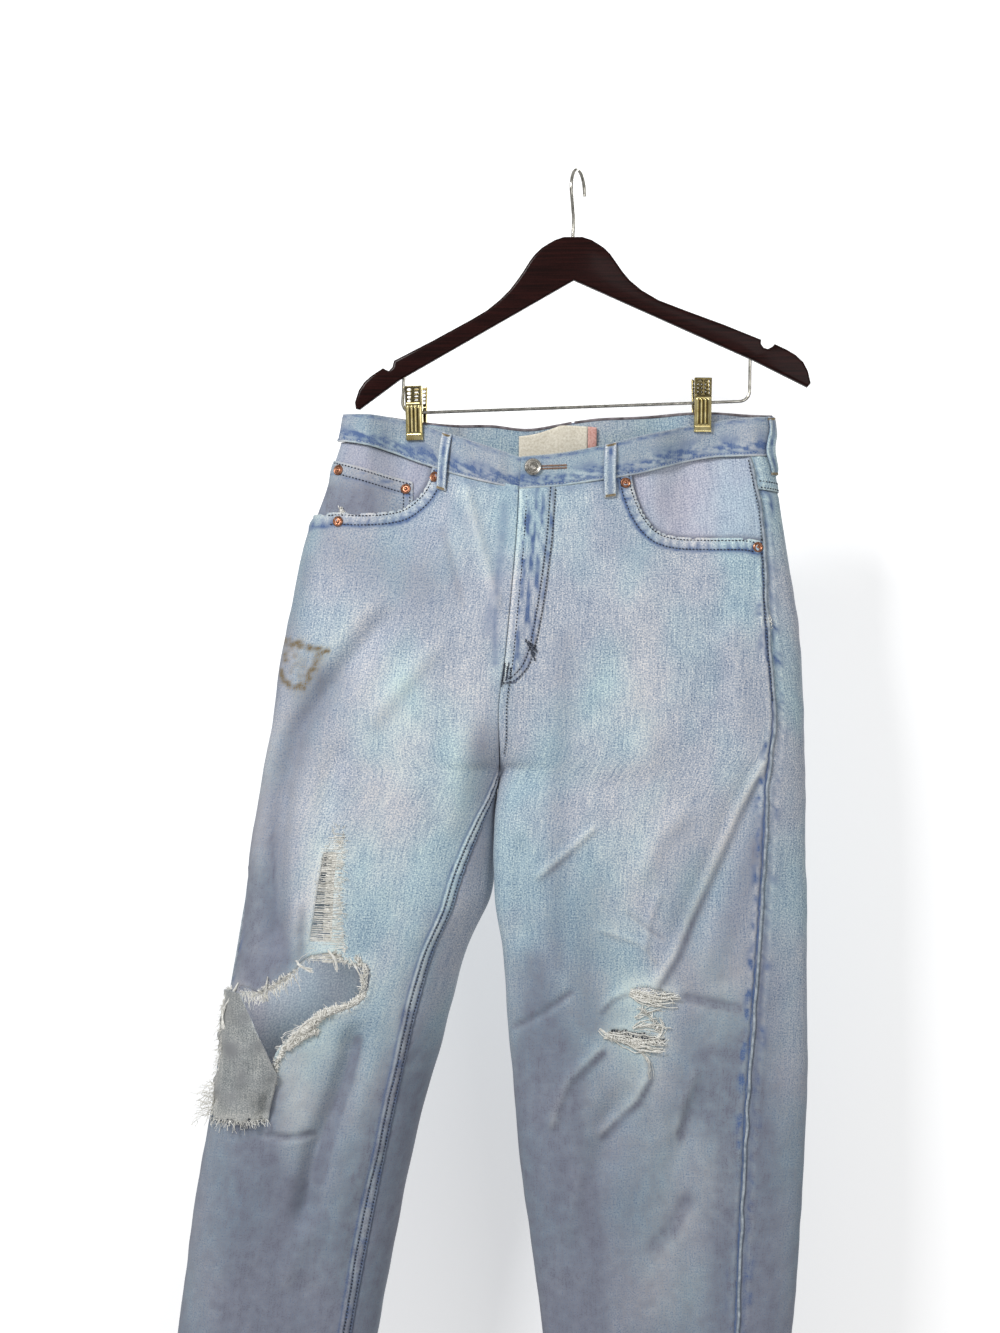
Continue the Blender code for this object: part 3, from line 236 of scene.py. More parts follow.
# Sharp creases, in the same way. A raised one is worn pale along its crest and gets painted shade below it,
# and a sunken one gets painted shade along it and is painted pale below it.
CREASES = {
    RIGHT_FRONT: (
        (((-294, -894), (-298, -937), (-272, -940), (-244, -936)), 3.0, -2.4),
        (((-69, -435), (-92, -350), (-105, -303)), 6, 1.6),
        (((-100, -440), (-118, -372), (-128, -342)), 6, -1.0),
        (((-61, -356), (-66, -380)), 7, -1.2),
        (((-120, -452), (-165, -500), (-205, -548)), 10, 1.4),
        (((-96, -520), (-110, -590), (-120, -660)), 14, 1.2),
        (((-262, -700), (-266, -740), (-262, -775)), 7, 1.4),
        (((-170, -800), (-160, -850), (-172, -905)), 8, 1.2),
        (((-240, -1000), (-262, -1050), (-286, -1098)), 9, 1.4),
        (((-180, -960), (-206, -1020), (-216, -1090)), 10, -1.6),
    ),
    LEFT_FRONT: (
        (((34, -850), (14, -869), (-3, -886), (-15, -914), (-20, -938)), 4.5, 2.6),
        (((78, -800), (101, -763), (116, -729), (135, -688), (163, -624), (194, -567)), 5, 2.3),
        (((26, -637), (-6, -666), (-37, -692)), 3.5, 1.9),
        (((4, -798), (-27, -822), (-58, -838)), 2.6, -2.2),
        (((124, -870), (110, -909), (101, -946)), 5, 1.8),
        (((76, -880), (63, -905), (44, -924), (24, -944)), 4, 2.2),
        (((70, -856), (75, -872), (76, -890)), 3, 1.5),
        (((22, -738), (68, -753), (84, -776)), 2.8, 1.1),
        (((52, -722), (76, -740), (94, -752)), 2.8, -1.0),
        (((24, -822), (39, -806), (57, -798)), 3, 1.4),
        (((102, -804), (134, -811), (170, -818)), 5, -1.3),
        (((88, -700), (76, -730), (72, -764)), 3, 1.0),
        (((120, -612), (84, -650), (60, -700)), 10, 1.2),
        (((40, -470), (70, -540), (84, -600)), 16, 1.2),
        (((150, -420), (160, -500), (168, -560)), 14, 1.0),
        (((120, -990), (100, -1030), (70, -1060)), 9, -1.6),
        (((10, -960), (0, -1010), (-6, -1050)), 8, 1.4),
    ),
    RIGHT_BACK: (
        (((-60, -520), (-110, -560), (-190, -590)), 9, -1.8),
        (((-150, -600), (-180, -680), (-190, -740)), 10, 1.8),
        (((-140, -860), (-200, -880), (-250, -910)), 9, -2.0),
        (((-170, -930), (-220, -960), (-290, -980)), 9, 1.6),
    ),
    LEFT_BACK: (
        (((-20, -540), (40, -580), (110, -600)), 9, -1.8),
        (((40, -640), (80, -740), (110, -800)), 10, 1.8),
        (((-30, -850), (40, -890), (130, -900)), 9, -2.0),
        (((-10, -930), (60, -960), (120, -1000)), 9, 1.6),
    ),
}


class Tint(Enum):
    """What a painted stroke does to the cloth: INDIGO is unfaded dye, also used for painted shadow lines at
    the foot of raised edges; SHADE is painted shade; PALE is wear, also used for painted highlights; STAIN is
    a stain. The value is its channel in the wash attribute.
    """

    INDIGO = 0
    SHADE = 1
    PALE = 2
    STAIN = 3


# Strokes of the wash, for each panel and tint: points (x, z), half width and strength. The SHADE strokes are
# painted shade.
WASH = {
    RIGHT_FRONT: {
        Tint.INDIGO: (
            (((-64, -330), (-70, -400), (-82, -450)), 8, 0.6),
            (((-70, -390), (-74, -440), (-73, -482)), 4.5, 0.7),
            (((-118, -330), (-98, -345), (-84, -372)), 10, 0.35),
            (((-160, -352), (-128, -352)), 12, 0.3),
        ),
        Tint.SHADE: (
            (((-238, -500), (-249, -514), (-270, -542), (-280, -570), (-284, -608), (-286, -702),
              (-279, -788)), 10, 0.3),
            (((-240, -500), (-262, -540), (-288, -610), (-298, -702), (-292, -780)), 34, 0.8),
            (((-256, -380), (-282, -470), (-306, -560), (-318, -700)), 18, 0.65),
            (((-262, -352), (-210, -372), (-150, -400)), 46, 0.6),
            (((-262, -318), (-200, -326)), 22, 0.4),
            (((-206, -846), (-214, -880), (-232, -930), (-244, -980)), 5, 0.6),
            (((-290, -640), (-287, -720), (-280, -786)), 5, 0.9),
            (((-300, -895), (-306, -930), (-300, -980)), 18, 0.5),
            (((-290, -1000), (-300, -1080), (-310, -1160)), 26, 0.5),
            (((-85, -545), (-86, -609)), 18, 0.4),
            (((-185, -370), (-182, -450), (-192, -520), (-196, -620)), 44, 0.2),
        ),
        Tint.PALE: (
            (((-170, -500), (-176, -600), (-180, -700)), 38, 0.4),
            (((-100, -500), (-112, -620)), 24, 0.3),
            # painted highlight along the lit side of the long fold band
            (((-196, -430), (-250, -486), (-292, -560), (-305, -640), (-306, -760)), 9, 0.5),
            (((-236, -560), (-250, -640), (-250, -740)), 16, 0.35),
            (((-246, -850), (-262, -880), (-268, -918)), 24, 0.75),
            (((-190, -880), (-196, -960), (-206, -1060)), 20, 0.35),
            (((-176, -690), (-172, -760), (-168, -840)), 22, 0.4),
            (((-270, -472), (-266, -494)), 13, 0.5),
        ),
        Tint.STAIN: (
            (((-282, -460), (-264, -464)), 7.0, 1.0),
            (((-264, -465), (-247, -468), (-236, -470)), 4.5, 1.0),
            (((-243, -473), (-249, -486), (-257, -500)), 6.0, 1.0),
            (((-283, -490), (-279, -498), (-272, -504), (-259, -505)), 5.0, 1.0),
            (((-280, -474), (-277, -478)), 6.0, 0.8),
            (((-270, -470), (-264, -496)), 17, 0.62),
        ),
    },
    LEFT_FRONT: {
        Tint.INDIGO: (
            (((30, -300), (34, -350), (70, -382)), 12, 0.3),
            (((-36, -330), (-38, -400), (-44, -452)), 6, 0.3),
            (((191, -450), (190, -478)), 2.2, 1.0),
        ),
        Tint.SHADE: (
            (((-5, -460), (-12, -600), (-15, -773)), 16, 0.45),
            (((190, -640), (160, -700), (140, -780)), 20, 0.5),
            (((-34, -773), (-32, -860), (-24, -930)), 26, 0.55),
            (((120, -640), (110, -720), (128, -800), (124, -900)), 34, 0.35),
            (((20, -700), (10, -780), (16, -830)), 24, 0.35),
            (((0, -980), (4, -1060), (8, -1150)), 22, 0.55),
            (((-24, -830), (-20, -960), (-14, -1080)), 36, 0.5),
            (((-32, -600), (-30, -740)), 26, 0.2),
        ),
        Tint.PALE: (
            (((60, -420), (74, -520), (70, -640), (48, -740)), 30, 0.3),
            (((60, -800), (70, -835), (74, -880)), 30, 0.6),
            (((100, -940), (92, -1010), (84, -1100)), 26, 0.4),
            (((152, -790), (150, -880), (146, -980)), 40, 0.42),
        ),
    },
    RIGHT_BACK: {
        Tint.SHADE: (
            (((-64, -800), (-110, -900), (-150, -1040)), 26, 0.7),
            (((-60, -430), (-80, -560), (-90, -660)), 40, 0.35),
        ),
        Tint.PALE: (
            (((-160, -420), (-190, -560)), 50, 0.4),
        ),
    },
    LEFT_BACK: {
        Tint.SHADE: (
            (((-10, -430), (10, -560), (0, -700)), 40, 0.35),
        ),
        Tint.PALE: (
            (((110, -420), (130, -560)), 50, 0.4),
        ),
    },
}

# Painted shade: how much darker and greyer each leg gets downwards, where the light falls off, where that
# starts, and how far below it is full.
LEG_SHADE = {Half.RIGHT: 0.9, Half.LEFT: 0.86}
LEG_SHADE_TOP = -600.0
LEG_SHADE_DEPTH = 420.0

# Unfaded blotches of indigo beside the left outseam, (x, z).
BLOTCHES = ((188.7, -601.7), (185.8, -637.6), (183.8, -663.5), (182.8, -689.6), (181.8, -711.5),
            (179.8, -753.6), (176.8, -777.8), (174.8, -804.6), (171.8, -826.8), (168.6, -857.5),
            (166.6, -891.8), (166.6, -924.8), (164.6, -949.6))

# The same on the back, where it shows beside the left outseam.
SIDE_BLOTCHES = ((196, -327), (193, -346), (190, -312), (200, -416), (201, -450), (199, -388), (196, -520),
                 (197, -476), (192, -300))

# Cuts in the front panels, (x, z) in the front view.
KNEE_TEAR = ((-321, -800), (-300, -799), (-284, -790), (-267, -778), (-254, -765), (-228, -761),
             (-215, -771), (-197, -772), (-195, -792), (-203, -809), (-222, -818), (-239, -821),
             (-259, -836), (-276, -847), (-286, -861), (-285, -879))
LADDER_TEAR = ((-239, -664), (-226, -664), (-229, -700), (-231, -750), (-252, -750), (-246, -710))
UPPER_SLIT = ((58, -799), (72, -796), (90, -800), (101, -804), (88, -807), (70, -803))
LOWER_SLIT = ((33, -840), (50, -838), (74, -842), (92, -849), (76, -851), (52, -845))
TORN_FLAP = ((-320, -800), (-282, -879), (-292, -921), (-350, -923), (-347, -893), (-338, -800))

# Pockets, fly and button in the front view. A facing has its inner x, bottom z and outer x.
SCOOPS = {
    Half.RIGHT: ((-132, -245), (-135, -293), (-141, -310), (-151, -322), (-164, -331), (-183, -335),
                 (-204, -336), (-226, -335), (-300, -332), (-300, -245)),
    Half.LEFT: ((56, -245), (59, -300), (64, -322), (73, -341), (86, -354), (104, -359),
                (131, -360), (166, -360), (240, -360), (240, -245)),
}
SCOOP_SEWN = {Half.RIGHT: (-236, 180), Half.LEFT: (-224, 180)}  # how far in x the stitches of its hem run
SCOOP_SEWN_TOP = -292
FACING_BOX = {Half.RIGHT: (-122.0, -352.0, -300.0), Half.LEFT: (46.0, -376.0, 260.0)}
COIN_POCKET = ((-236, -282), (-154, -304), (-154, -346), (-240, -346))
FLY = ((-100, -280), (-14, -280), (-17, -363), (-23.5, -413), (-31, -452), (-41, -487), (-53, -501),
       (-100, -506))
FLY_EDGE = ((-13, -313), (-17, -363), (-23.5, -413), (-29, -446), (-34, -470), (-41, -487), (-53, -499),
            (-66, -502))
FLY_BARS = (((-45, -460), (-33, -468)), ((-43, -463), (-33, -471)), ((-41, -467), (-34, -475)),
            ((-39, -471), (-35, -479)), ((-69, -484), (-57, -489)), ((-69, -488), (-57, -493)),
            ((-68, -492), (-58, -497)), ((-67, -482), (-68, -504)), ((-60, -482), (-63, -500)))
BACK_POCKET = ((28, -382), (178, -372), (172, -500), (103, -532), (40, -512))
BACK_MIRROR = -18.0  # the right pocket's x is this less the left one's
BUTTON = (-36.7, -292.0)

# Belt loops: half, face and the share across it.
LOOPS = {
    "belt_loop_front_right": (Half.RIGHT, Face.FRONT, 0.35),
    "belt_loop_front_left": (Half.LEFT, Face.FRONT, 0.375),
    "belt_loop_side_right": (Half.RIGHT, Face.BACK, 0.1),
    "belt_loop_side_left": (Half.LEFT, Face.BACK, 0.085),
    "belt_loop_back": (Half.LEFT, Face.BACK, 0.955),
}

# Rivets: half and (x, z) in the front view.
RIVETS = {
    "rivet_pocket_right": (Half.RIGHT, -132, -300),
    "rivet_coin_inner": (Half.RIGHT, -161, -311),
    "rivet_coin_outer": (Half.RIGHT, -227, -293),
    "rivet_pocket_left": (Half.LEFT, 53, -307),
    "rivet_side_left": (Half.LEFT, 182, -369),
    "rivet_side_right": (Half.RIGHT, -226, -344),
}

# Profiles of the turned trims, (radius, height), from the axis at the back to the axis at the front.
RIVET_PROFILE = ((0, -0.4), (5.0, -0.4), (5.2, 0.2), (4.9, 0.9), (4.2, 1.3), (3.5, 1.1), (2.8, 0.3),
                 (2.0, 0.2), (1.5, 0.5), (1.2, 1.1), (0.6, 1.4), (0, 1.4))
BUTTON_PROFILE = ((0, 0), (3.2, 0), (3.2, 1.4), (7.6, 1.6), (8.1, 2.0), (8.2, 2.6), (7.8, 3.2), (7.1, 3.5),
                  (6.4, 3.2), (5.8, 1.9), (5.1, 1.8), (4.5, 2.6), (3.7, 2.9), (3.0, 2.4), (2.4, 1.5),
                  (0, 1.6))

# ---------------------------------------------------------------- the hanger

HOOK_FOOT = (2.9, -64.0)
HOOK_RADIUS = 19.0
HOOK_WIRE = 3.4
HOOK_TURN = math.radians(20.0)
HANGER_TILT = math.radians(3.3)
BAR_LEFT = (-164.0, -236.6)
BAR_RIGHT = (176.0, -225.2)
BAR_TOP_LEFT = -162.5
BAR_TOP_RIGHT = 176.5

# The neck of the hook below its loop, (x, y, z) with x from the middle of the loop.
HOOK_NECK = ((-5.8, -12.4, -32.6), (-5.1, -6.1, -38.5), (-4.4, -1.5, -44.0), (-4.2, 0.0, -50.0),
             (-4.9, 0.0, -64.0), (-4.9, 0.0, -79.0))

# Outline of the upright wooden shoulders, (x, z) from the foot of the hook: each arm's upper edge out to
# its notch and tip, then a point of its lower edge. ARM_MIDDLE is where the lower edges meet.
ARM_MIDDLE = (-1.5, -42.8)
ARMS = {
    "right": ((-9, 0), (-18, -2.5), (-25, -6), (-31.5, -9.7), (-38, -15.2), (-43, -20.8), (-47, -26.4),
              (-51, -32), (-57, -39.6), (-65, -49), (-75.5, -58.2), (-88, -67.3), (-105, -76.1),
              (-142, -93.6), (-182, -111.5), (-183.8, -117.5), (-187.5, -121.2), (-191, -119.5),
              (-193, -118), (-205, -125), (-212, -130.5), (-218, -138.3), (-222.5, -150), (-222, -156),
              (-218, -157), (-178, -130.8)),
    "left": ((9, -1), (18, -4.5), (24.5, -9), (30, -13.2), (35.5, -19.4), (39.3, -25.5), (43, -31.6),
             (47, -38), (53, -46), (64, -56.4), (80, -67.1), (105, -78.4), (142, -94.5), (178, -111.5),
             (177.5, -115.5), (180, -119.5), (184, -121), (188.5, -119), (191, -116.5), (203, -123),
             (211, -128.5), (218, -136), (222, -145), (224, -157), (220.5, -160.5), (169, -131)),
}


def smooth(value: Array) -> Array:
    """0 below 0 and 1 above 1, with an S curve between."""
    t = np.clip(value, 0.0, 1.0)
    return t * t * (3 - 2 * t)


def bell(distance: Array, middle: float, width: float) -> Array:
    """1 at a distance, falling softly to 0 beside it."""
    return np.exp(-(((distance - middle) / width) ** 2))


def unit(vectors: Array, guard: float = 1e-9) -> Array:
    """Vectors made one long. The guard keeps one of no length finite."""
    return vectors / (np.linalg.norm(vectors, axis=-1, keepdims=True) + guard)


def lengths_to(route: Array) -> Array:
    """Length along a route up to each of its points."""
    return np.concatenate([[0.0], np.cumsum(np.linalg.norm(np.diff(route, axis=0), axis=1))])


def round_end(distance: Array, width: float) -> Array:
    """Height of a quarter ellipse at a distance in from its end, from 0 to 1."""
    t = 1 - np.clip(distance / width, 0.0, 1.0)
    return np.sqrt(1 - t * t)


def curve_through(knots: Array, values: Array, at: Array) -> Array:
    """A smooth curve through values at rising knots, with no overshoot between them.

    Args:
        knots: rising places.
        values: the curve's value at each.
        at: where the curve is wanted.

    Returns:
        The curve's values there.
    """
    knots, values = np.asarray(knots, float), np.asarray(values, float)
    slopes = np.diff(values) / np.diff(knots)
    tangents = np.concatenate([slopes[:1], (slopes[:-1] + slopes[1:]) / 2, slopes[-1:]])
    turns = np.concatenate([[False], slopes[:-1] * slopes[1:] <= 0, [False]])
    tangents[turns] = 0.0
    at = np.clip(at, knots[0], knots[-1])
    i = np.clip(np.searchsorted(knots, at) - 1, 0, len(knots) - 2)
    step = knots[i + 1] - knots[i]
    t = (at - knots[i]) / step
    return ((1 + 2 * t) * (1 - t) ** 2 * values[i] + t * (1 - t) ** 2 * step * tangents[i]
            + t * t * (3 - 2 * t) * values[i + 1] + t * t * (t - 1) * step * tangents[i + 1])


def stroke(x: Array, z: Array, line: Line, width: float, fade: float = 0.0) -> Array:
    """A soft brush stroke along a line of points.

    Args:
        x: where it is wanted.
        z: where it is wanted.
        line: the points (x, z) that it follows.
        width: its half width.
        fade: how many half widths long its fading ends are.

    Returns:
        1 on the line, falling to 0 beside it.
    """
    line = np.asarray(line, float)
    lengths = np.linalg.norm(np.diff(line, axis=0), axis=1)
    starts = lengths_to(line)
    best = np.full(x.shape, FAR)
    along = np.zeros(x.shape)
    for (x0, z0), (x1, z1), length, start in zip(line[:-1], line[1:], lengths, starts):
        t = np.clip(((x - x0) * (x1 - x0) + (z - z0) * (z1 - z0)) / length ** 2, 0, 1)
        away = np.hypot(x - x0 - t * (x1 - x0), z - z0 - t * (z1 - z0))
        nearer = away < best
        best = np.where(nearer, away, best)
        along = np.where(nearer, start + t * length, along)
    height = np.exp(-((best / width) ** 2))
    if fade:
        height *= smooth(along / (fade * width)) * smooth((starts[-1] - along) / (fade * width))
    return height


def waves(x: Array, z: Array, size: float, seed: int) -> Array:
    """Uneven waves of about a size, from -1 to 1, the same for the same seed.

    Args:
        x: where they are wanted, in any unit.
        z: where they are wanted, in the same unit.
        size: the length of a wave, in that unit.
        seed: which waves.

    Returns:
        Their height.
    """
    rng = np.random.default_rng(seed)
    total = np.zeros(np.broadcast(x, z).shape)
    for _ in range(8):
        turn, pitch, start = rng.uniform(0, math.pi), size * rng.uniform(0.6, 1.7), rng.uniform(0, math.tau)
        total += np.sin((x * math.cos(turn) + z * math.sin(turn)) * math.tau / pitch + start)
    return total / 4


def through(points: Line, spacing: float, closed: bool = False) -> Array:
    """A smooth route through points, resampled at an even spacing.

    Args:
        points: the points, of two or three coordinates.
        spacing: the wanted distance between the route's points.
        closed: whether the route returns to its start.

    Returns:
        The route's points, an array of rows.
    """
    p = np.asarray(points, float)
    p = np.vstack([p[-1], p, p[:2]]) if closed else np.vstack([2 * p[0] - p[1], p, 2 * p[-1] - p[-2]])
    fine = []
    for a, b, c, d in zip(p[:-3], p[1:-2], p[2:-1], p[3:]):
        t = np.linspace(0, 1, 24, endpoint=False)[:, None]
        fine.append(0.5 * (2 * b + (c - a) * t + (2 * a - 5 * b + 4 * c - d) * t ** 2
                           + (3 * b - a - 3 * c + d) * t ** 3))
    route = np.vstack([*fine, p[-2]])
    return resampled(route, spacing)


def resampled(route: Array | Line, spacing: float) -> Array:
    """The same route with points at an even spacing, its ends kept."""
    route = np.asarray(route, float)
    along = lengths_to(route)
    count = max(2, int(round(along[-1] / spacing)) + 1)
    want = np.linspace(0, along[-1], count)
    return np.column_stack([np.interp(want, along, route[:, i]) for i in range(route.shape[1])])


def place(points: Array) -> Array:
    """Points of the tables, in millimetres, as points of the part's frame, in metres."""
    return (np.asarray(points, float) - (LOOP_X, 0, 0)) * MM


class Form:
    """One panel's share of the garment: fine grids of points and normals by level and share."""

    STEP = 2.5  # between levels
    SHARES = 241
    COUNT = 160  # points of a section's front, and of its back
    ROUNDS = 3  # of the search for a point
    FACING = 0.12  # how far a normal has to turn to the viewer for its point to be found

    def __init__(self, half: Half, face: Face) -> None:
        """Works out the grids.

        Args:
            half: the wearer's side.
            face: front or back.
        """
        self.half, self.face = half, face
        self.levels = np.arange(HEM_LEVEL, BAND_TOP_LEVEL + 0.1, self.STEP)
        self.shares = np.linspace(0, 1, self.SHARES)
        lines = np.array(WAIST_LINES[half, face], float)
        self.seam_z = curve_through(lines[:, 0], lines[:, 1], self.shares)
        self.top_z = curve_through(lines[:, 0], lines[:, 2], self.shares)
        rows = np.array(ROWS[half], float)[::-1]
        table = {name: curve_through(rows[:, 0], rows[:, i], self.levels) for i, name in enumerate(COLUMNS)}
        rise = np.clip((self.levels - CROTCH_LEVEL) / CROTCH_RISE, 0.0, 1.0)
        table["open"] = np.sqrt(1 - (1 - rise) ** 2)
        rows_at = [dict(zip(table, map(float, values))) for values in zip(*table.values())]
        self.points = np.array([self.row(level, at) for level, at in zip(self.levels, rows_at)])
        self.normals = self.find_normals()
        self.points += self.normals * self.fold_heights()[..., None]
        self.normals = self.find_normals()
        steps = np.linalg.norm(np.diff(self.points, axis=1), axis=2)
        self.lengths = steps.sum(axis=1)
        self.tree = self.find_tree()

    def loop(self, level: float, row: dict[str, float]) -> Array:
        """Points (x, y) of the half's section: out along the front, then in along the back."""
        share = (1 - np.cos(np.pi * np.arange(self.COUNT) / (self.COUNT - 1))) / 2
        pinch_at = PINCHES[self.half]
        fade = 1 - smooth((PINCH_FULL_LEVEL - level) / (PINCH_FULL_LEVEL - PINCH_END_LEVEL))
        apart = SEAM_HALF_GAP * (1 if self.half is Half.LEFT else -1)
        sides = []
        edges = ((row["cf"] + apart, row["front"], -1), (row["cb"] + apart, row["back"], 1))
        for inner, depth, sign in edges:
            x = inner + (row["out"] - inner) * share
            middle = row["y_in"] + (row["y_out"] - row["y_in"]) * share
            closing = row["open"] + (1 - row["open"]) * round_end(abs(x - inner), row["cap_in"])
            half_depth = depth + (row["side"] - depth) * smooth((share - 0.3) / 0.5)
            half_depth = half_depth * closing * round_end(abs(x - row["out"]), row["cap_out"])
            pinch = fade * (1 - smooth((abs(x - pinch_at.x) - PINCH_FLAT) / PINCH_FALL))
            half_depth += (PINCH_HALF_DEPTH - half_depth) * pinch * np.minimum(half_depth / 6, 1)
            middle = middle * (1 - pinch) - math.tan(pinch_at.turn) * (x - pinch_at.x) * pinch
            sides.append(np.column_stack([x, middle + sign * half_depth]))
        return np.concatenate([sides[0], sides[1][::-1][1:]])

    def row(self, level: float, at: dict[str, float]) -> Array:
        """The panel's points at one level, from share 0 to 1."""
        loop = self.loop(level, at)
        along = lengths_to(loop)
        total = along[-1]
        leg = at["open"] == 0
        inner, outer = (at["in_turn"] if leg else 0.0), along[self.COUNT - 1] - at["out_turn"]
        start, end = (inner, outer) if self.face is Face.FRONT else (outer, total + inner)
        want = start + (end - start) * self.shares
        if leg:
            want = np.mod(want, total)
        x, y = (np.interp(want, along, loop[:, i]) for i in (0, 1))
        if level > WAIST_LEVEL:
            share = (level - WAIST_LEVEL) / (BAND_TOP_LEVEL - WAIST_LEVEL)
            z = self.seam_z + (self.top_z - self.seam_z) * share
        else:
            dip = self.seam_z - WAIST_LEVEL
            z = level + dip * smooth((level - DIP_END_LEVEL) / (WAIST_LEVEL - DIP_END_LEVEL))
        return np.column_stack([x, y, z])

    def find_normals(self) -> Array:
        """Outward normals of the grid."""
        across, down = np.gradient(self.points, axis=1), np.gradient(self.points, axis=0)
        normals = unit(np.cross(across, down))
        middle = normals[len(self.levels) // 2, self.SHARES // 2, 1]
        return normals * np.sign(middle) * (-1 if self.face is Face.FRONT else 1)

    def fold_heights(self) -> Array:
        """Height of every fold and crease, with shallow uneven waves between them."""
        x, z = self.points[..., 0], self.points[..., 2]
        seed = SEED + 2 * (self.half is Half.LEFT) + (self.face is Face.BACK)
        below = smooth((-320 - z) / 120)
        heights = below * (0.9 * waves(x, z, 95, seed) + 0.35 * waves(x, z, 34, seed + 10))
        for line, width, height in FOLDS[self.half, self.face] + CREASES[self.half, self.face]:
            heights += FOLD_GAIN * height * stroke(x, z, line, width, CREASE_FADE)
        edge = smooth(np.minimum(self.shares, 1 - self.shares) * self.SHARES / 12)
        return heights * edge

    def find_tree(self) -> kdtree.KDTree:
        """A search tree of the points that face the viewer, by x and z."""
        facing = self.normals[..., 1] * (-1 if self.face is Face.FRONT else 1) > self.FACING
        where = np.argwhere(facing)
        tree = kdtree.KDTree(len(where))
        for i, j in where:
            x, _, z = self.points[i, j]
            tree.insert((x, z, 0), int(i * self.SHARES + j))
        tree.balance()
        return tree

    def sample(self, grid: Array, share: Array, level: Array) -> Array:
        """Values of one of the form's grids at shares and levels."""
        i = np.clip((np.asarray(level, float) - self.levels[0]) / self.STEP, 0, len(self.levels) - 1.001)
        j = np.clip(np.asarray(share, float) * (self.SHARES - 1), 0, self.SHARES - 1.001)
        i, j = np.broadcast_arrays(i, j)
        i0, j0 = i.astype(int), j.astype(int)
        a, b = i - i0, j - j0
        if grid.ndim == 3:
            a, b = a[..., None], b[..., None]
        return (grid[i0, j0] * (1 - a) * (1 - b) + grid[i0 + 1, j0] * a * (1 - b)
                + grid[i0, j0 + 1] * (1 - a) * b + grid[i0 + 1, j0 + 1] * a * b)

    def raised(self, share: Array, level: Array, out: float | Array = 0.0) -> tuple[Array, Array]:
        """Points that stand out from the form at shares and levels, and the normals there."""
        normals = self.sample(self.normals, share, level)
        return self.sample(self.points, share, level) + normals * out, normals

    def length(self, level: Array) -> Array:
        """Length across the panel at a level."""
        return np.interp(level, self.levels, self.lengths)

    def locate(self, x: Array, z: Array) -> tuple[Array, Array]:
        """Finds points of the form from where they stand in the front or back view.

        Args:
            x: their x.
            z: their z.

        Returns:
            Their shares and levels.
        """
        x, z = np.broadcast_arrays(np.asarray(x, float), np.asarray(z, float))
        flat = [self.tree.find((px, pz, 0))[1] for px, pz in zip(x.ravel(), z.ravel())]
        i, j = (np.array(part, float).reshape(x.shape) for part in np.divmod(np.array(flat), self.SHARES))
        share, level = j / (self.SHARES - 1), self.levels[0] + i * self.STEP
        reach_share, reach_level = 1.0 / (self.SHARES - 1), self.STEP
        for _ in range(self.ROUNDS):
            here = self.sample(self.points, share, level)
            across = self.sample(self.points, share + reach_share, level) - here
            down = self.sample(self.points, share, level + reach_level) - here
            dx, dz = x - here[..., 0], z - here[..., 2]
            det = across[..., 0] * down[..., 2] - across[..., 2] * down[..., 0]
            det = np.where(abs(det) < 1e-3, 1e-3, det)
            a = (dx * down[..., 2] - dz * down[..., 0]) / det
            b = (dz * across[..., 0] - dx * across[..., 2]) / det
            share = np.clip(share + np.clip(a, -3, 3) * reach_share, 0, 1)
            level = np.clip(level + np.clip(b, -3, 3) * reach_level, self.levels[0], self.levels[-1])
        return share, level


def make_forms() -> dict[tuple[Half, Face], Form]:
    """The four forms, with one normal on both sides of each seam."""
    forms = {(half, face): Form(half, face) for half in Half for face in Face}
    right, left = ([forms[half, face].normals for face in Face] for half in Half)
    legs = forms[Half.RIGHT, Face.FRONT].levels < CROTCH_LEVEL
    seams = [(front, -1, back, 0, slice(None)) for front, back in (right, left)]
    seams += [(front, 0, back, -1, legs) for front, back in (right, left)]
    seams += [(right[0], 0, left[0], 0, ~legs), (right[1], -1, left[1], -1, ~legs)]
    for first, i, second, j, rows in seams:
        first[rows, i] = second[rows, j] = unit(first[rows, i] + second[rows, j], 0.0)
    return forms


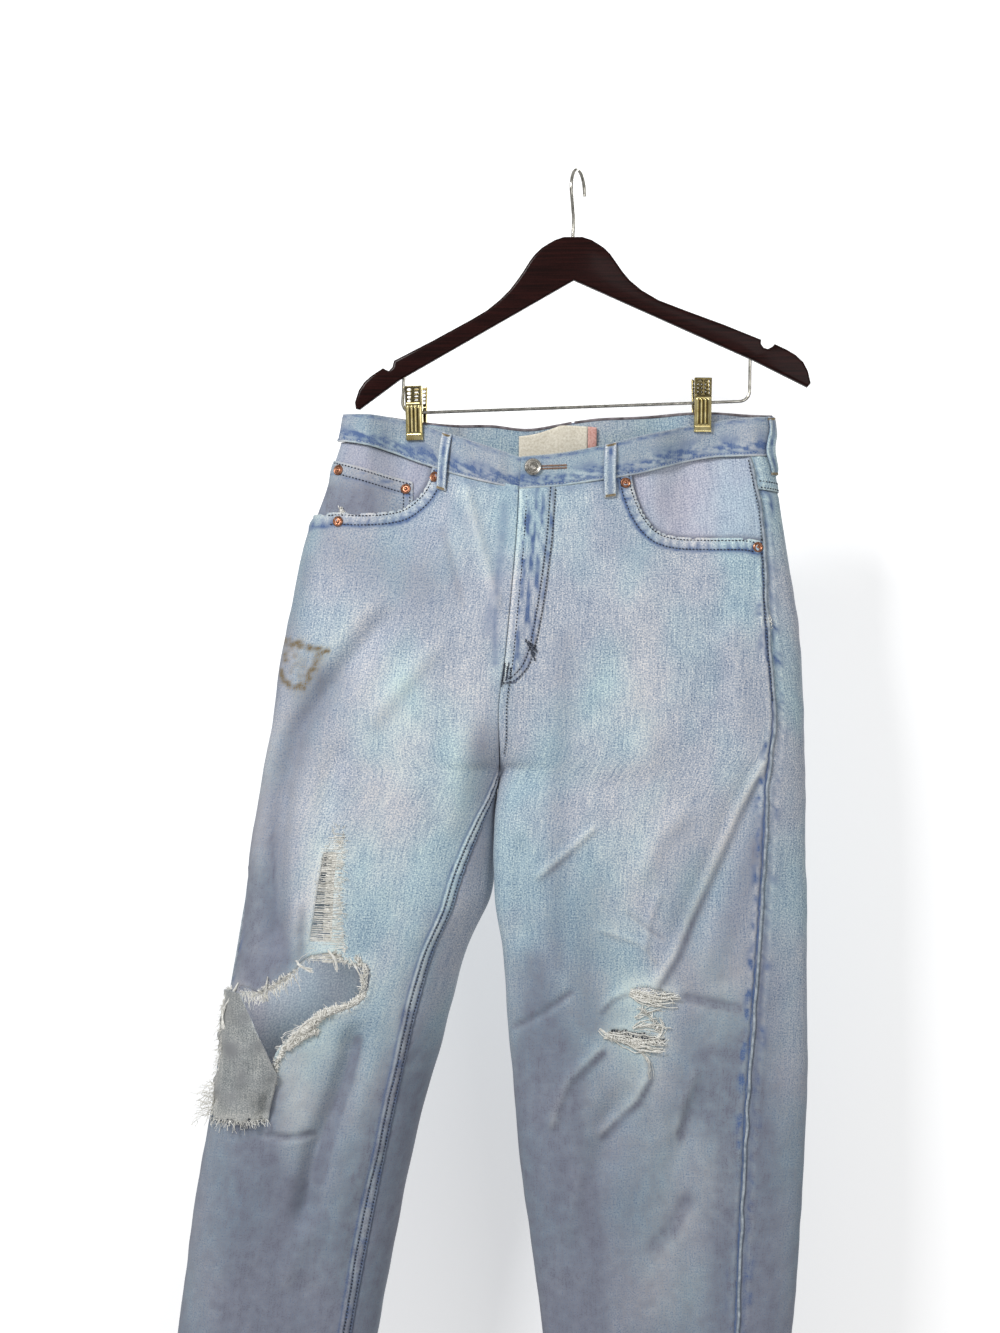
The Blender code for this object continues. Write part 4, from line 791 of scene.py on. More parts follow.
@dataclass(frozen=True)
class Outline:
    """A closed outline in the front view, (x, z)."""

    points: tuple[tuple[float, float], ...]
    rounded: bool = False
    spacing: float = 2.0

    def route(self) -> Array:
        """The outline's points, closed, smoothed if it is rounded."""
        if self.rounded:
            return through(self.points, self.spacing, closed=True)
        return resampled((*self.points, self.points[0]), self.spacing)

    def measure(self, x: Array, z: Array) -> tuple[Array, Array, Array, Array]:
        """How points lie to the outline.

        Args:
            x: the points' x.
            z: the points' z.

        Returns:
            The distance, negative inside; the length along the outline; and the nearest point's x and z.
        """
        route = self.route()
        best = np.full(x.shape, FAR)
        along, near_x, near_z = (np.zeros(x.shape) for _ in range(3))
        inside = np.zeros(x.shape, bool)
        start = 0.0
        low, high = route.min(axis=0) - 30, route.max(axis=0) + 30
        close = (x > low[0]) & (x < high[0]) & (z > low[1]) & (z < high[1])
        px, pz = x[close], z[close]
        kept = [part[close] for part in (best, along, near_x, near_z, inside)]
        for (x0, z0), (x1, z1) in zip(route[:-1], route[1:]):
            length = math.hypot(x1 - x0, z1 - z0)
            t = np.clip(((px - x0) * (x1 - x0) + (pz - z0) * (z1 - z0)) / max(length, 1e-9) ** 2, 0, 1)
            qx, qz = x0 + t * (x1 - x0), z0 + t * (z1 - z0)
            away = np.hypot(px - qx, pz - qz)
            nearer = away < kept[0]
            for index, value in enumerate((away, start + t * length, qx, qz)):
                kept[index] = np.where(nearer, value, kept[index])
            if z1 != z0:
                crosses = (z0 > pz) != (z1 > pz)
                kept[4] ^= crosses & (px < x0 + (pz - z0) * (x1 - x0) / (z1 - z0))
            start += length
        for whole, part in zip((best, along, near_x, near_z, inside), kept):
            whole[close] = part
        return np.where(inside, -best, best), along, near_x, near_z

    def beside(self, distance: float, spacing: float = 2.0) -> Array:
        """The route that runs a distance outside the outline."""
        route = self.route()
        along = unit(np.gradient(route, axis=0))
        area = np.sum(route[:-1, 0] * route[1:, 1] - route[1:, 0] * route[:-1, 1])
        out = np.column_stack([along[:, 1], -along[:, 0]]) * np.sign(area)
        return resampled(route + out * distance, spacing)


class Patch:
    """A grid of points of a form that one cloth piece follows, in millimetres."""

    def __init__(self, form: Form, shares: Array, levels: Array) -> None:
        """Samples the form.

        Args:
            form: the form.
            shares: the columns' shares, in one row or one for each knot.
            levels: the rows' levels, in one column or one for each knot.
        """
        self.form = form
        self.shares, self.levels = (part.copy() for part in np.broadcast_arrays(shares, levels))
        self.points = form.sample(form.points, self.shares, self.levels)
        self.normals = unit(form.sample(form.normals, self.shares, self.levels), 0.0)
        self.keep = np.ones(self.shares.shape, bool)
        self.snapped = np.zeros(self.shares.shape, bool)
        self.wash = np.zeros((*self.shares.shape, 4))

    @classmethod
    def window(cls, form: Form, low: tuple[float, float], high: tuple[float, float], step: float) -> "Patch":
        """The patch that covers a box of the front or back view.

        Args:
            form: the form.
            low: the box's lowest x and z.
            high: its highest.
            step: distance between knots.

        Returns:
            The patch.
        """
        x, z = form.points[..., 0], form.points[..., 2]
        facing = form.normals[..., 1] * (-1 if form.face is Face.FRONT else 1) > -0.2
        rows, columns = np.nonzero((x > low[0]) & (x < high[0]) & (z > low[1]) & (z < high[1]) & facing)
        share_low, share_high = form.shares[columns.min()], form.shares[columns.max()]
        level_low, level_high = form.levels[rows.min()], form.levels[rows.max()]
        wide = (share_high - share_low) * float(form.length(level_low))
        shares = np.linspace(share_low, share_high, max(3, int(wide / step)))
        levels = np.linspace(level_high, level_low, max(3, int((level_high - level_low) / step)))
        return cls(form, shares[None, :], levels[:, None])

    @property
    def x(self) -> Array:
        """The knots' x."""
        return self.points[..., 0]

    @property
    def z(self) -> Array:
        """The knots' z."""
        return self.points[..., 2]

    @property
    def uv(self) -> Array:
        """Lengths across and down the cloth, in metres."""
        across = (self.shares - 0.5) * self.form.length(self.levels)
        return np.stack([across, self.levels], -1) * MM

    @property
    def across(self) -> Array:
        """Distances across the cloth from its share 0."""
        return self.shares * self.form.length(self.levels)

    def from_edges(self) -> tuple[Array, Array]:
        """Distances across the cloth from its share 0 and from its share 1."""
        return self.across, (1 - self.shares) * self.form.length(self.levels)

    def lift(self, height: Array) -> "Patch":
        """Moves the knots out along their normals."""
        self.points = self.points + self.normals * np.asarray(height, float)[..., None]
        return self

    def trim(self, outline: Outline, inside: bool, margin: float = 1.4) -> Array:
        """Cuts the patch along an outline, and moves the knots near it onto it.

        Args:
            outline: the outline.
            inside: whether the inside is kept.
            margin: how near a knot has to be to be moved.

        Returns:
            The knots' distances from the outline, positive on the side that is kept.
        """
        distance, _, near_x, near_z = outline.measure(self.x, self.z)
        distance = -distance if inside else distance
        move = (abs(distance) < margin) & (abs(self.normals[..., 1]) > 0.3)
        dx, dz = near_x - self.x, near_z - self.z
        dy = -(self.normals[..., 0] * dx + self.normals[..., 2] * dz) / np.where(
            abs(self.normals[..., 1]) < 0.3, 1.0, self.normals[..., 1])
        shift = np.stack([dx, dy, dz], -1)
        self.points = np.where(move[..., None], self.points + shift, self.points)
        self.snapped |= move
        self.keep &= (distance > -margin) & (move | (distance > 0))
        return distance

    def paint(self) -> "Patch":
        """Paints the wash of this half and face: its strokes, the creases' pale wear and painted shade, and
        painted shade down the legs and towards their edges.
        """
        panel = self.form.half, self.form.face
        for tint, strokes in WASH[panel].items():
            for line, width, strength in strokes:
                mark = strength * stroke(self.x, self.z, line, width)
                if tint is Tint.STAIN:
                    mark = mark * (1 + 0.3 * waves(self.x, self.z, 6, SEED + 12))
                self.wash[..., tint.value] = np.maximum(self.wash[..., tint.value], mark)
        # Creases: a raised crest is painted pale as wear with painted shade below it; a sunken one gets
        # painted shade along it, pale below it.
        for line, width, height in CREASES[panel]:
            strength, narrow = min(abs(height) / 2.5, 1.0), 0.8 * width
            crest, foot = (Tint.PALE, Tint.SHADE) if height > 0 else (Tint.SHADE, Tint.PALE)
            mark = strength * stroke(self.x, self.z, line, narrow, CREASE_FADE)
            self.tint(crest, mark * (0.9 if width < 8 else 0.35))
            under = [(px + 0.7 * width, pz - 0.9 * width) for px, pz in line]
            self.tint(foot, 0.5 * strength * stroke(self.x, self.z, under, narrow, CREASE_FADE))
        # Painted shade: darker and greyer down the legs, where the light falls off, and near the panel's
        # edges below the hips, where the leg turns away from the light. patchy makes it uneven.
        patchy = 0.5 + 0.25 * waves(self.across * 1.6, self.levels * 0.6, 190, SEED + 6)
        leg_shade = LEG_SHADE[self.form.half] * smooth((LEG_SHADE_TOP - self.z) / LEG_SHADE_DEPTH) * (0.86 + 0.16 * patchy)
        sides = 0.35 * (1 - smooth(np.minimum(*self.from_edges()) / 45)) * smooth((-420 - self.z) / 200)
        self.tint(Tint.SHADE, leg_shade + sides + 0.12 * patchy)
        return self

    def tint(self, tint: Tint, amount: Array | float) -> "Patch":
        """Adds to one channel of the wash."""
        self.wash[..., tint.value] = np.clip(self.wash[..., tint.value] + amount, 0, 1)
        return self

TEARS = {
    Half.RIGHT: ((Outline(KNEE_TEAR, rounded=True), 1.6), (Outline(LADDER_TEAR), 0.4)),
    Half.LEFT: ((Outline(UPPER_SLIT, rounded=True), 0.8), (Outline(LOWER_SLIT, rounded=True), 0.8)),
}


def link(name: str, data: bpy.types.ID) -> Piece:
    """Puts an object of some data in the scene, at the origin."""
    made = bpy.data.objects.new(name, data)
    bpy.context.scene.collection.objects.link(made)
    return made


def as_mesh(name: str, bm: bmesh.types.BMesh) -> bpy.types.Mesh:
    """Writes a bmesh as a new mesh, and frees it."""
    mesh = bpy.data.meshes.new(name)
    bm.to_mesh(mesh)
    bm.free()
    return mesh


def finish_mesh(name: str, mesh: bpy.types.Mesh, finishes: Sequence[Material], sharp: float = 60.0) -> Piece:
    """Links a mesh as an object at the origin, shaded smooth below an angle.

    Args:
        name: the piece's name.
        mesh: its mesh, in place.
        finishes: its materials.
        sharp: edges that turn more than this, in degrees, stay sharp.

    Returns:
        The object, riding on the part's body.
    """
    for finish in finishes:
        mesh.materials.append(finish)
    mesh.shade_smooth()
    mesh.set_sharp_from_angle(angle=math.radians(sharp))
    made = link(name, mesh)
    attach(made, BODY)
    LOG.info("%s: %d faces", name, len(mesh.polygons))
    return made


def add_wall(made: Piece, thickness: float, inner: int = 1) -> None:
    """Gives a sheet its thickness, inwards from its outer face."""
    wall = made.modifiers.new("wall", "SOLIDIFY")
    wall.thickness = thickness * MM
    wall.offset = -1.0
    wall.material_offset = inner
    wall.material_offset_rim = inner


def cloth_piece(name: str, points: Array, uv: Array, finishes: Sequence[Material],
                wash: Array | None = None, keep: Array | None = None, snapped: Array | None = None,
                outward: Array | None = None, wall: float = 1.2, ring: bool = False) -> Piece:
    """A sheet of cloth on a grid of points.

    Args:
        name: the piece's name.
        points: its knots, rows from the top, in millimetres.
        uv: lengths across and down the cloth at the knots, in metres.
        finishes: the materials of its right side and its wrong side.
        wash: the painted wash at the knots.
        keep: which knots stay.
        snapped: which knots lie on a cut edge. A cell with four such corners is left out.
        outward: outward normals at the knots.
        wall: the cloth's thickness.
        ring: whether the last column meets the first.

    Returns:
        The object.
    """
    rows, columns = points.shape[:2]
    bm = bmesh.new()
    bmesh.ops.create_grid(bm, x_segments=columns - 1, y_segments=rows - 1, size=0.5)
    knot = bm.verts.layers.int.new("knot")
    for vert in bm.verts:
        column, row = (round((value + 0.5) * (size - 1)) for value, size in zip(vert.co[:2], (columns, rows)))
        vert[knot] = row * columns + column
    if keep is not None:
        kept, on_edge = keep.ravel(), np.zeros(keep.size, bool) if snapped is None else snapped.ravel()
        edge_faces = [f for f in bm.faces if all(on_edge[v[knot]] for v in f.verts)]
        bmesh.ops.delete(bm, geom=edge_faces, context="FACES")
        bmesh.ops.delete(bm, geom=[v for v in bm.verts if not kept[v[knot]]], context="VERTS")
        bmesh.ops.delete(bm, geom=[v for v in bm.verts if not v.link_faces], context="VERTS")
    mesh = as_mesh(name, bm)
    order = np.zeros(len(mesh.vertices), np.int32)
    mesh.attributes["knot"].data.foreach_get("value", order)
    mesh.vertices.foreach_set("co", place(points).reshape(-1, 3)[order].ravel())
    corners = np.zeros(len(mesh.loops), np.int32)
    mesh.loops.foreach_get("vertex_index", corners)
    mesh.uv_layers.new(name="UVMap").data.foreach_set("uv", uv.reshape(-1, 2)[order][corners].ravel())
    paint = mesh.attributes.new("wash", "FLOAT_COLOR", "POINT")
    colours = np.zeros((len(order), 4)) if wash is None else wash.reshape(-1, 4)[order]
    paint.data.foreach_set("color", colours.ravel())
    mesh.attributes.remove(mesh.attributes["knot"])
    mesh.update()
    if outward is not None:
        faces = np.zeros(len(mesh.vertices) * 3)
        mesh.vertex_normals.foreach_get("vector", faces)
        if np.sum(faces.reshape(-1, 3) * outward.reshape(-1, 3)[order]) < 0:
            mesh.flip_normals()
    if ring:
        bm = bmesh.new()
        bm.from_mesh(mesh)
        bmesh.ops.remove_doubles(bm, verts=bm.verts, dist=1e-5)
        bm.to_mesh(mesh)
        bm.free()
    made = finish_mesh(name, mesh, finishes, 80.0)
    if wall:
        add_wall(made, wall)
    return made


def strands(name: str, routes: Sequence[Array], radii: Sequence[float], finish: Material,
            sides: int = 3) -> Piece:
    """Round threads or wires along routes, joined as one piece.

    Args:
        name: the piece's name.
        routes: the points that each follows, in millimetres.
        radii: the radius of each.
        finish: the material.
        sides: how many sides each has.

    Returns:
        The object.
    """
    verts, faces, uvs = [], [], []
    base = 0
    turns = np.arange(sides) * math.tau / sides
    for route, radius in zip(routes, radii):
        count = len(route)
        along = unit(np.gradient(route, axis=0))
        side = np.cross(along[0], (0.0, 0.0, 1.0) if abs(along[0][2]) < 0.9 else (1.0, 0.0, 0.0))
        frames = []
        for direction in along:
            side = side - direction * np.dot(side, direction)
            side /= np.linalg.norm(side) + 1e-9
            frames.append((side, np.cross(direction, side)))
        for point, (across, up) in zip(route, frames):
            verts.append(point + radius * (np.cos(turns)[:, None] * across + np.sin(turns)[:, None] * up))
        length = lengths_to(route)
        for i in range(count - 1):
            for j in range(sides):
                k = (j + 1) % sides
                faces.append((base + i * sides + j, base + i * sides + k,
                              base + (i + 1) * sides + k, base + (i + 1) * sides + j))
                uvs += [(j / sides, length[i]), ((j + 1) / sides, length[i]),
                        ((j + 1) / sides, length[i + 1]), (j / sides, length[i + 1])]
        for first, order in ((base, range(sides - 1, -1, -1)), (base + (count - 1) * sides, range(sides))):
            faces.append(tuple(first + j for j in order))
            uvs += [(0.5, 0.0)] * sides
        base += count * sides
    mesh = bpy.data.meshes.new(name)
    mesh.from_pydata(place(np.concatenate(verts)).tolist(), [], faces)
    flat = np.array(uvs) * (1.0, MM)
    mesh.uv_layers.new(name="UVMap").data.foreach_set("uv", flat.ravel())
    return finish_mesh(name, mesh, [finish], 60.0)


def turned(name: str, profile: Line, finish: Material, at: Array, axis: Array, steps: int = 28) -> Piece:
    """A turned piece.

    Args:
        name: the piece's name.
        profile: (radius, height) from the axis at the back to the axis at the front.
        finish: the material.
        at: where the middle of its back stands.
        axis: which way its front looks.
        steps: how many sides it has.

    Returns:
        The object.
    """
    bm = bmesh.new()
    verts = [bm.verts.new((r * MM, 0, h * MM)) for r, h in profile]
    edges = [bm.edges.new(pair) for pair in zip(verts[:-1], verts[1:])]
    bmesh.ops.spin(bm, geom=verts + edges, cent=(0, 0, 0), axis=(0, 0, 1), angle=math.tau, steps=steps,
                   use_merge=True)
    bmesh.ops.remove_doubles(bm, verts=bm.verts, dist=1e-6)
    bmesh.ops.recalc_face_normals(bm, faces=bm.faces)
    turn = Vector(axis).to_track_quat("Z", "Y").to_matrix().to_4x4()
    bmesh.ops.transform(bm, matrix=Matrix.Translation(Vector(place(at))) @ turn, verts=bm.verts)
    return finish_mesh(name, as_mesh(name, bm), [finish], 40.0)


@dataclass
class Stitching:
    """Rows of sewn stitches that lie on the cloth, joined as one piece."""

    name: str
    finish: Material
    pitch: float = 3.4  # from one stitch to the next
    length: float = 2.5
    width: float = 0.75
    height: float = 0.5
    centres: list[Array] = field(default_factory=list)
    directions: list[Array] = field(default_factory=list)
    ups: list[Array] = field(default_factory=list)

    def along(self, route: Array, normals: Array) -> None:
        """Adds a row along points of the cloth, with the cloth's normals there."""
        at = lengths_to(route)
        want = np.arange(self.pitch / 2, at[-1], self.pitch)
        if len(want) < 2:
            return
        spot, up = (np.column_stack([np.interp(want, at, grid[:, i]) for i in range(3)])
                    for grid in (route, normals))
        self.centres.append(spot)
        self.directions.append(unit(np.gradient(spot, axis=0)))
        self.ups.append(unit(up))

    def on_form(self, form: Form, shares: Array, levels: Array, out: float | Array) -> None:
        """Adds a row along shares and levels of a form, standing out from it."""
        self.along(*form.raised(shares, levels, out))

    def in_view(self, form: Form, line: Line | Array, out: float, spacing: float = 2.0) -> None:
        """Adds a row along points (x, z) of the front or back view."""
        fine = resampled(line, spacing)
        self.on_form(form, *form.locate(fine[:, 0], fine[:, 1]), out)

    def build(self) -> Piece:
        """Joins the rows as one mesh of small lozenges."""
        bm = bmesh.new()
        bmesh.ops.create_icosphere(bm, subdivisions=1, radius=1.0)
        shape = np.array([vert.co[:] for vert in bm.verts])
        faces = np.array([[vert.index for vert in face.verts] for face in bm.faces])
        bm.free()
        spot, direction, up = (np.concatenate(part) for part in (self.centres, self.directions, self.ups))
        side = np.cross(up, direction)
        rng = np.random.default_rng(SEED)
        size = rng.uniform(0.85, 1.1, (len(spot), 1))
        verts = (spot[:, None] + shape[None, :, :1] * (direction * size * self.length / 2)[:, None]
                 + shape[None, :, 1:2] * (side * self.width / 2)[:, None]
                 + shape[None, :, 2:] * (up * self.height / 2)[:, None])
        every = faces[None] + (np.arange(len(spot)) * len(shape))[:, None, None]
        mesh = bpy.data.meshes.new(self.name)
        mesh.from_pydata(place(verts.reshape(-1, 3)).tolist(), [], every.reshape(-1, 3).tolist())
        return finish_mesh(self.name, mesh, [self.finish], 80.0)


def linear(colour: str) -> Colour:
    """An sRGB hex colour, such as "#a0b0c0", in linear values with an alpha of 1."""
    parts = (int(colour[i:i + 2], 16) / 255 for i in (1, 3, 5))
    red, green, blue = (c / 12.92 if c <= 0.04045 else ((c + 0.055) / 1.055) ** 2.4 for c in parts)
    return red, green, blue, 1.0


def add_node(tree: Tree, kind: str, sockets: dict | None = None, **settings) -> Node:
    """Adds a node to a tree.

    Args:
        tree: the tree.
        kind: the node's type.
        sockets: values or links of its inputs, by name or number.
        **settings: its other settings.

    Returns:
        The node.
    """
    node = tree.nodes.new(kind)
    for name, value in settings.items():
        setattr(node, name, value)
    plug(tree, node, sockets or {})
    return node


def plug(tree: Tree, node: Node, sockets: dict) -> None:
    """Sets a node's inputs, by name or number: a socket is linked, and a constant is kept on its input."""
    for name, value in sockets.items():
        if isinstance(value, Socket):
            tree.links.new(value, node.inputs[name])
        else:
            node.inputs[name].default_value = value


def ramp(tree: Tree, value: Socket, stops: Sequence[tuple[float, str]]) -> Socket:
    """A colour ramp of a value. Its stops are places and sRGB hex colours."""
    node = add_node(tree, "ShaderNodeValToRGB", {0: value})
    elements = node.color_ramp.elements
    while len(elements) < len(stops):
        elements.new(0.5)
    for element, (at, colour) in zip(elements, stops):
        element.position = at
        element.color = linear(colour)
    return node.outputs[0]


def maths(tree: Tree, operation: str, *values: Socket | float, clamp: bool = False) -> Socket:
    """What a maths node makes of some values."""
    sockets = dict(enumerate(values))
    return add_node(tree, "ShaderNodeMath", sockets, operation=operation, use_clamp=clamp).outputs[0]


def bumps(tree: Tree, height: Socket, strength: float, distance: float) -> Socket:
    """Normals that rise and fall with a height, by at most a distance in metres."""
    sockets = {"Strength": strength, "Distance": distance, "Height": height}
    return add_node(tree, "ShaderNodeBump", sockets).outputs[0]


def new_material(name: str, viewport: str) -> tuple[Material, Tree, Node]:
    """A material with a bare Principled shader, its tree and the shader."""
    made = bpy.data.materials.new(name)
    made.use_nodes = True
    made.diffuse_color = linear(viewport)
    return made, made.node_tree, made.node_tree.nodes["Principled BSDF"]


def noise(tree: Tree, vector: Socket, size: Spot, detail: float = 2.0, offset: float = 0.0) -> Socket:
    """A noise pattern.

    Args:
        tree: the material's tree.
        vector: coordinates in metres.
        size: the pattern's size along each axis, in millimetres.
        detail: its octaves.
        offset: a shift, in metres, that gives another pattern.

    Returns:
        Its value, from 0 to 1.
    """
    mapping = {"Vector": vector, "Location": (offset,) * 3, "Scale": tuple(1 / MM / s for s in size)}
    mapped = add_node(tree, "ShaderNodeMapping", mapping).outputs[0]
    pattern = {"Vector": mapped, "Scale": 1.0, "Detail": detail, "Roughness": 0.55}
    return add_node(tree, "ShaderNodeTexNoise", pattern).outputs[0]


def weighted(tree: Tree, base: float, parts: Sequence[tuple[Socket, float]]) -> Socket:
    """base plus each pattern's difference from one half, times its weight."""
    (value, weight), *rest = parts
    total = maths(tree, "MULTIPLY_ADD", value, weight, base - 0.5 * weight)
    for value, weight in rest:
        total = maths(tree, "MULTIPLY_ADD", maths(tree, "SUBTRACT", value, 0.5), weight, total)
    return total


def mixed(tree: Tree, amount: Socket | float, first: Socket, second: Socket | Colour,
          blend: str = "MIX") -> Socket:
    """A mix of two colours by an amount."""
    node = add_node(tree, "ShaderNodeMix", {0: amount, 6: first, 7: second}, data_type="RGBA",
                    blend_type=blend, clamp_factor=True)
    return node.outputs[2]


def object_space(tree: Tree) -> Socket:
    """Coordinates on the piece, in metres."""
    return add_node(tree, "ShaderNodeTexCoord").outputs["Object"]


def wash_parts(tree: Tree) -> list[Socket]:
    """The four channels of the wash attribute, in the order of Tint."""
    wash = add_node(tree, "ShaderNodeAttribute", attribute_name="wash")
    channels = add_node(tree, "ShaderNodeSeparateColor", {0: wash.outputs["Color"]})
    return [*channels.outputs, wash.outputs["Alpha"]]


@dataclass(frozen=True)
class Denim:
    """Cotton twill, indigo warp and undyed weft, stone washed until most of the indigo has gone.

    The eye sees a pale blue cloth with a salt and pepper grain, faint upright slubs where a thick warp yarn
    has kept or lost its dye, patches that lean to cyan or to lavender, and a matt, slightly hairy surface.
    The yarns are 0.5 mm apart, too fine to show, so the grain is drawn three times as coarse.
    """

    name: str
    dark: str
    middle: str
    light: str
    indigo: str = "#4d6590"
    shade: str = "#6e7181"
    stain: str = "#75674d"
    cool: str = "#e7f6fb"
    warm: str = "#f8f2f8"
    grain: float = 1.5
    slub: tuple[float, float] = (1.5, 26.0)
    roughness: float = 0.92
    bump: float = 0.35

    def build(self) -> Material:
        """Makes the material."""
        made, tree, shader = new_material(self.name, self.middle)
        uv = add_node(tree, "ShaderNodeUVMap", uv_map="UVMap").outputs[0]
        indigo, shade, pale, stain = wash_parts(tree)
        grain = noise(tree, uv, (self.grain, self.grain, 1), 1.0)
        warp = noise(tree, uv, (*self.slub, 1), 2.0, 3.1)
        weft = noise(tree, uv, (14.0, 1.6, 1), 1.0, 5.3)
        mottle = noise(tree, uv, (11.0, 13.0, 1), 3.0, 1.7)
        hue = noise(tree, uv, (90.0, 140.0, 1), 3.0, 8.9)
        pale = maths(tree, "MULTIPLY_ADD", pale, 0.36, 0.5)
        tone = weighted(tree, 0.5, ((grain, 1.65), (warp, 0.7), (weft, 0.15), (mottle, 0.3), (hue, 0.4),
                                    (pale, 1.0)))
        cloth = ramp(tree, tone, ((0.04, self.dark), (0.5, self.middle), (0.96, self.light)))
        leaning = noise(tree, uv, (75.0, 130.0, 1), 2.0, 12.7)
        lean = ramp(tree, leaning, ((0.36, self.cool), (0.62, self.warm)))
        broken = weighted(tree, 0.0, ((mottle, 1.8), (grain, 2.2), (warp, 1.2)))
        colour = mixed(tree, 1.0, cloth, lean, "MULTIPLY")
        for channel, tint, spread, full in ((shade, self.shade, 0.5, 0.8), (indigo, self.indigo, 1.0, 0.9),
                                            (stain, self.stain, 0.8, 0.85)):
            amount = maths(tree, "MULTIPLY_ADD", broken, spread, channel)
            masked = maths(tree, "MULTIPLY", amount, channel)
            colour = mixed(tree, maths(tree, "MULTIPLY", masked, full, clamp=True), colour, linear(tint))
        height = weighted(tree, 0.5, ((grain, 0.75), (warp, 0.6), (weft, 0.1)))
        plug(tree, shader, {"Base Color": colour, "Normal": bumps(tree, height, self.bump, 0.0006),
                            "Roughness": self.roughness, "Sheen Weight": 0.15, "Sheen Roughness": 0.6})
        return made


@dataclass(frozen=True)
class Yarn:
    """Spun cotton yarn, single or sewn: matt and hairy, a little lighter and darker along its length."""

    name: str
    dark: str
    light: str
    size: float = 3.0
    roughness: float = 0.95

    def build(self) -> Material:
        """Makes the material."""
        made, tree, shader = new_material(self.name, self.light)
        where = object_space(tree)
        speckle = noise(tree, where, (self.size,) * 3, 3.0)
        colour = ramp(tree, speckle, ((0.3, self.dark), (0.7, self.light)))
        plug(tree, shader, {"Base Color": colour, "Normal": bumps(tree, speckle, 0.4, 0.0003),
                            "Roughness": self.roughness})
        return made


@dataclass(frozen=True)
class Plated:
    """A stamped or drawn metal part, plated, then worn dull where it is handled."""

    name: str
    dark: str
    light: str
    roughness: float = 0.3
    spread: float = 0.15
    size: float = 2.0
    dark_tint: str = "#2a1f0e"

    def build(self) -> Material:
        """Makes the material."""
        made, tree, shader = new_material(self.name, self.light)
        where = object_space(tree)
        speckle = noise(tree, where, (self.size,) * 3, 4.0)
        metal = ramp(tree, speckle, ((0.3, self.dark), (0.65, self.light)))
        rough = weighted(tree, self.roughness, ((speckle, self.spread),))
        # The first channel darkens the metal towards its dark tint where the part paints it.
        darkening = wash_parts(tree)[0]  # metal has no dye, so the first channel is its dirt
        colour = mixed(tree, darkening, metal, linear(self.dark_tint))
        plug(tree, shader, {"Base Color": colour, "Roughness": rough, "Metallic": 1.0,
                            "Normal": bumps(tree, speckle, 0.12, 0.0002)})
        return made


@dataclass(frozen=True)
class Lacquer:
    """Hardwood stained nearly black and sprayed with gloss lacquer: faint grain under a clear, dusty coat."""

    name: str
    dark: str
    light: str
    grain: Spot = (60.0, 3.0, 2.2)
    coat: float = 0.16

    def build(self) -> Material:
        """Makes the material."""
        made, tree, shader = new_material(self.name, self.dark)
        where = object_space(tree)
        grain = noise(tree, where, self.grain, 4.0)
        dust = noise(tree, where, (1.2, 1.2, 1.2), 2.0, 0.7)
        tone = weighted(tree, 0.5, ((grain, 1.2), (dust, 0.35)))
        colour = ramp(tree, tone, ((0.35, self.dark), (0.95, self.light)))
        rough = weighted(tree, 0.32, ((dust, 0.2),))
        plug(tree, shader, {"Base Color": colour, "Roughness": rough, "Specular IOR Level": 0.06,
                            "Normal": bumps(tree, tone, 0.15, 0.0002),
                            "Coat Weight": self.coat, "Coat Roughness": 0.12})
        return made


class Finishes:
    """Every material of the jeans and the hanger."""

    def __init__(self) -> None:
        """Makes them."""
        self.denim = Denim("washed_denim", "#667b95", "#adbbc5", "#eef1e9").build()
        self.reverse = Denim("denim_wrong_side", "#848c97", "#acb1b7", "#dbdcda",
                             grain=1.8, bump=0.45).build()
        self.flap = Denim("worn_denim_wrong_side", "#6b7177", "#999ea1", "#d0d1cf", grain=1.3, bump=0.5,
                          cool="#f5f7f6", warm="#f9f5ee", shade="#7f8184").build()
        self.welt = Yarn("worn_seam_edge", "#76828f", "#b4bcc3", 5.0).build()
        self.pocketing = Denim("denim_pocket_facing", "#7f8aa0", "#b6bdca", "#e6e9ec").build()
        self.fray = Yarn("undyed_cotton_weft", "#cdcbc3", "#f8f7f2").build()
        self.thread = Yarn("pale_sewing_thread", "#8f9cab", "#c4ccd2", 6.0).build()
        self.dark_thread = Yarn("dark_sewing_thread", "#1d212c", "#474e5d", 6.0).build()
        self.tan_thread = Yarn("tan_bartack_thread", "#7d6f56", "#b3a07e", 4.0).build()
        self.orange_thread = Yarn("orange_buttonhole_thread", "#7a4e32", "#b0825b", 4.0).build()
        self.dark_fold_yarn = Yarn("dark_band_fold", "#4b4245", "#8d8689", 7.0).build()
        self.label = Yarn("woven_cotton_label", "#cfc6b2", "#efe9da", 2.0).build()
        self.label_end = Yarn("faded_red_label_end", "#c4897e", "#e3b8ae", 2.0).build()
        self.copper = Plated("aged_copper_rivet", "#74452f", "#c69174", 0.36).build()
        self.nickel = Plated("worn_nickel_button", "#6b6863", "#d6d2ca", 0.34, 0.2, 3.0).build()
        self.brass = Plated("bright_brass_plate", "#bda869", "#e6d9a4", 0.24, 0.08, 9.0).build()
        self.steel = Plated("bright_steel_wire", "#8d8a82", "#d9d6cc", 0.18, 0.1, 5.0).build()
        self.wood = Lacquer("gloss_lacquered_hardwood", "#150403", "#341310").build()


@dataclass
class Kit:
    """What every sub-assembly of the jeans is made with."""

    forms: dict[tuple[Half, Face], Form]
    finishes: Finishes

    def form(self, half: Half, face: Face) -> Form:
        """The form of one panel."""
        return self.forms[half, face]

    @property
    def denim(self) -> list[Material]:
        """The finishes of denim: its right side and its wrong side."""
        return [self.finishes.denim, self.finishes.reverse]


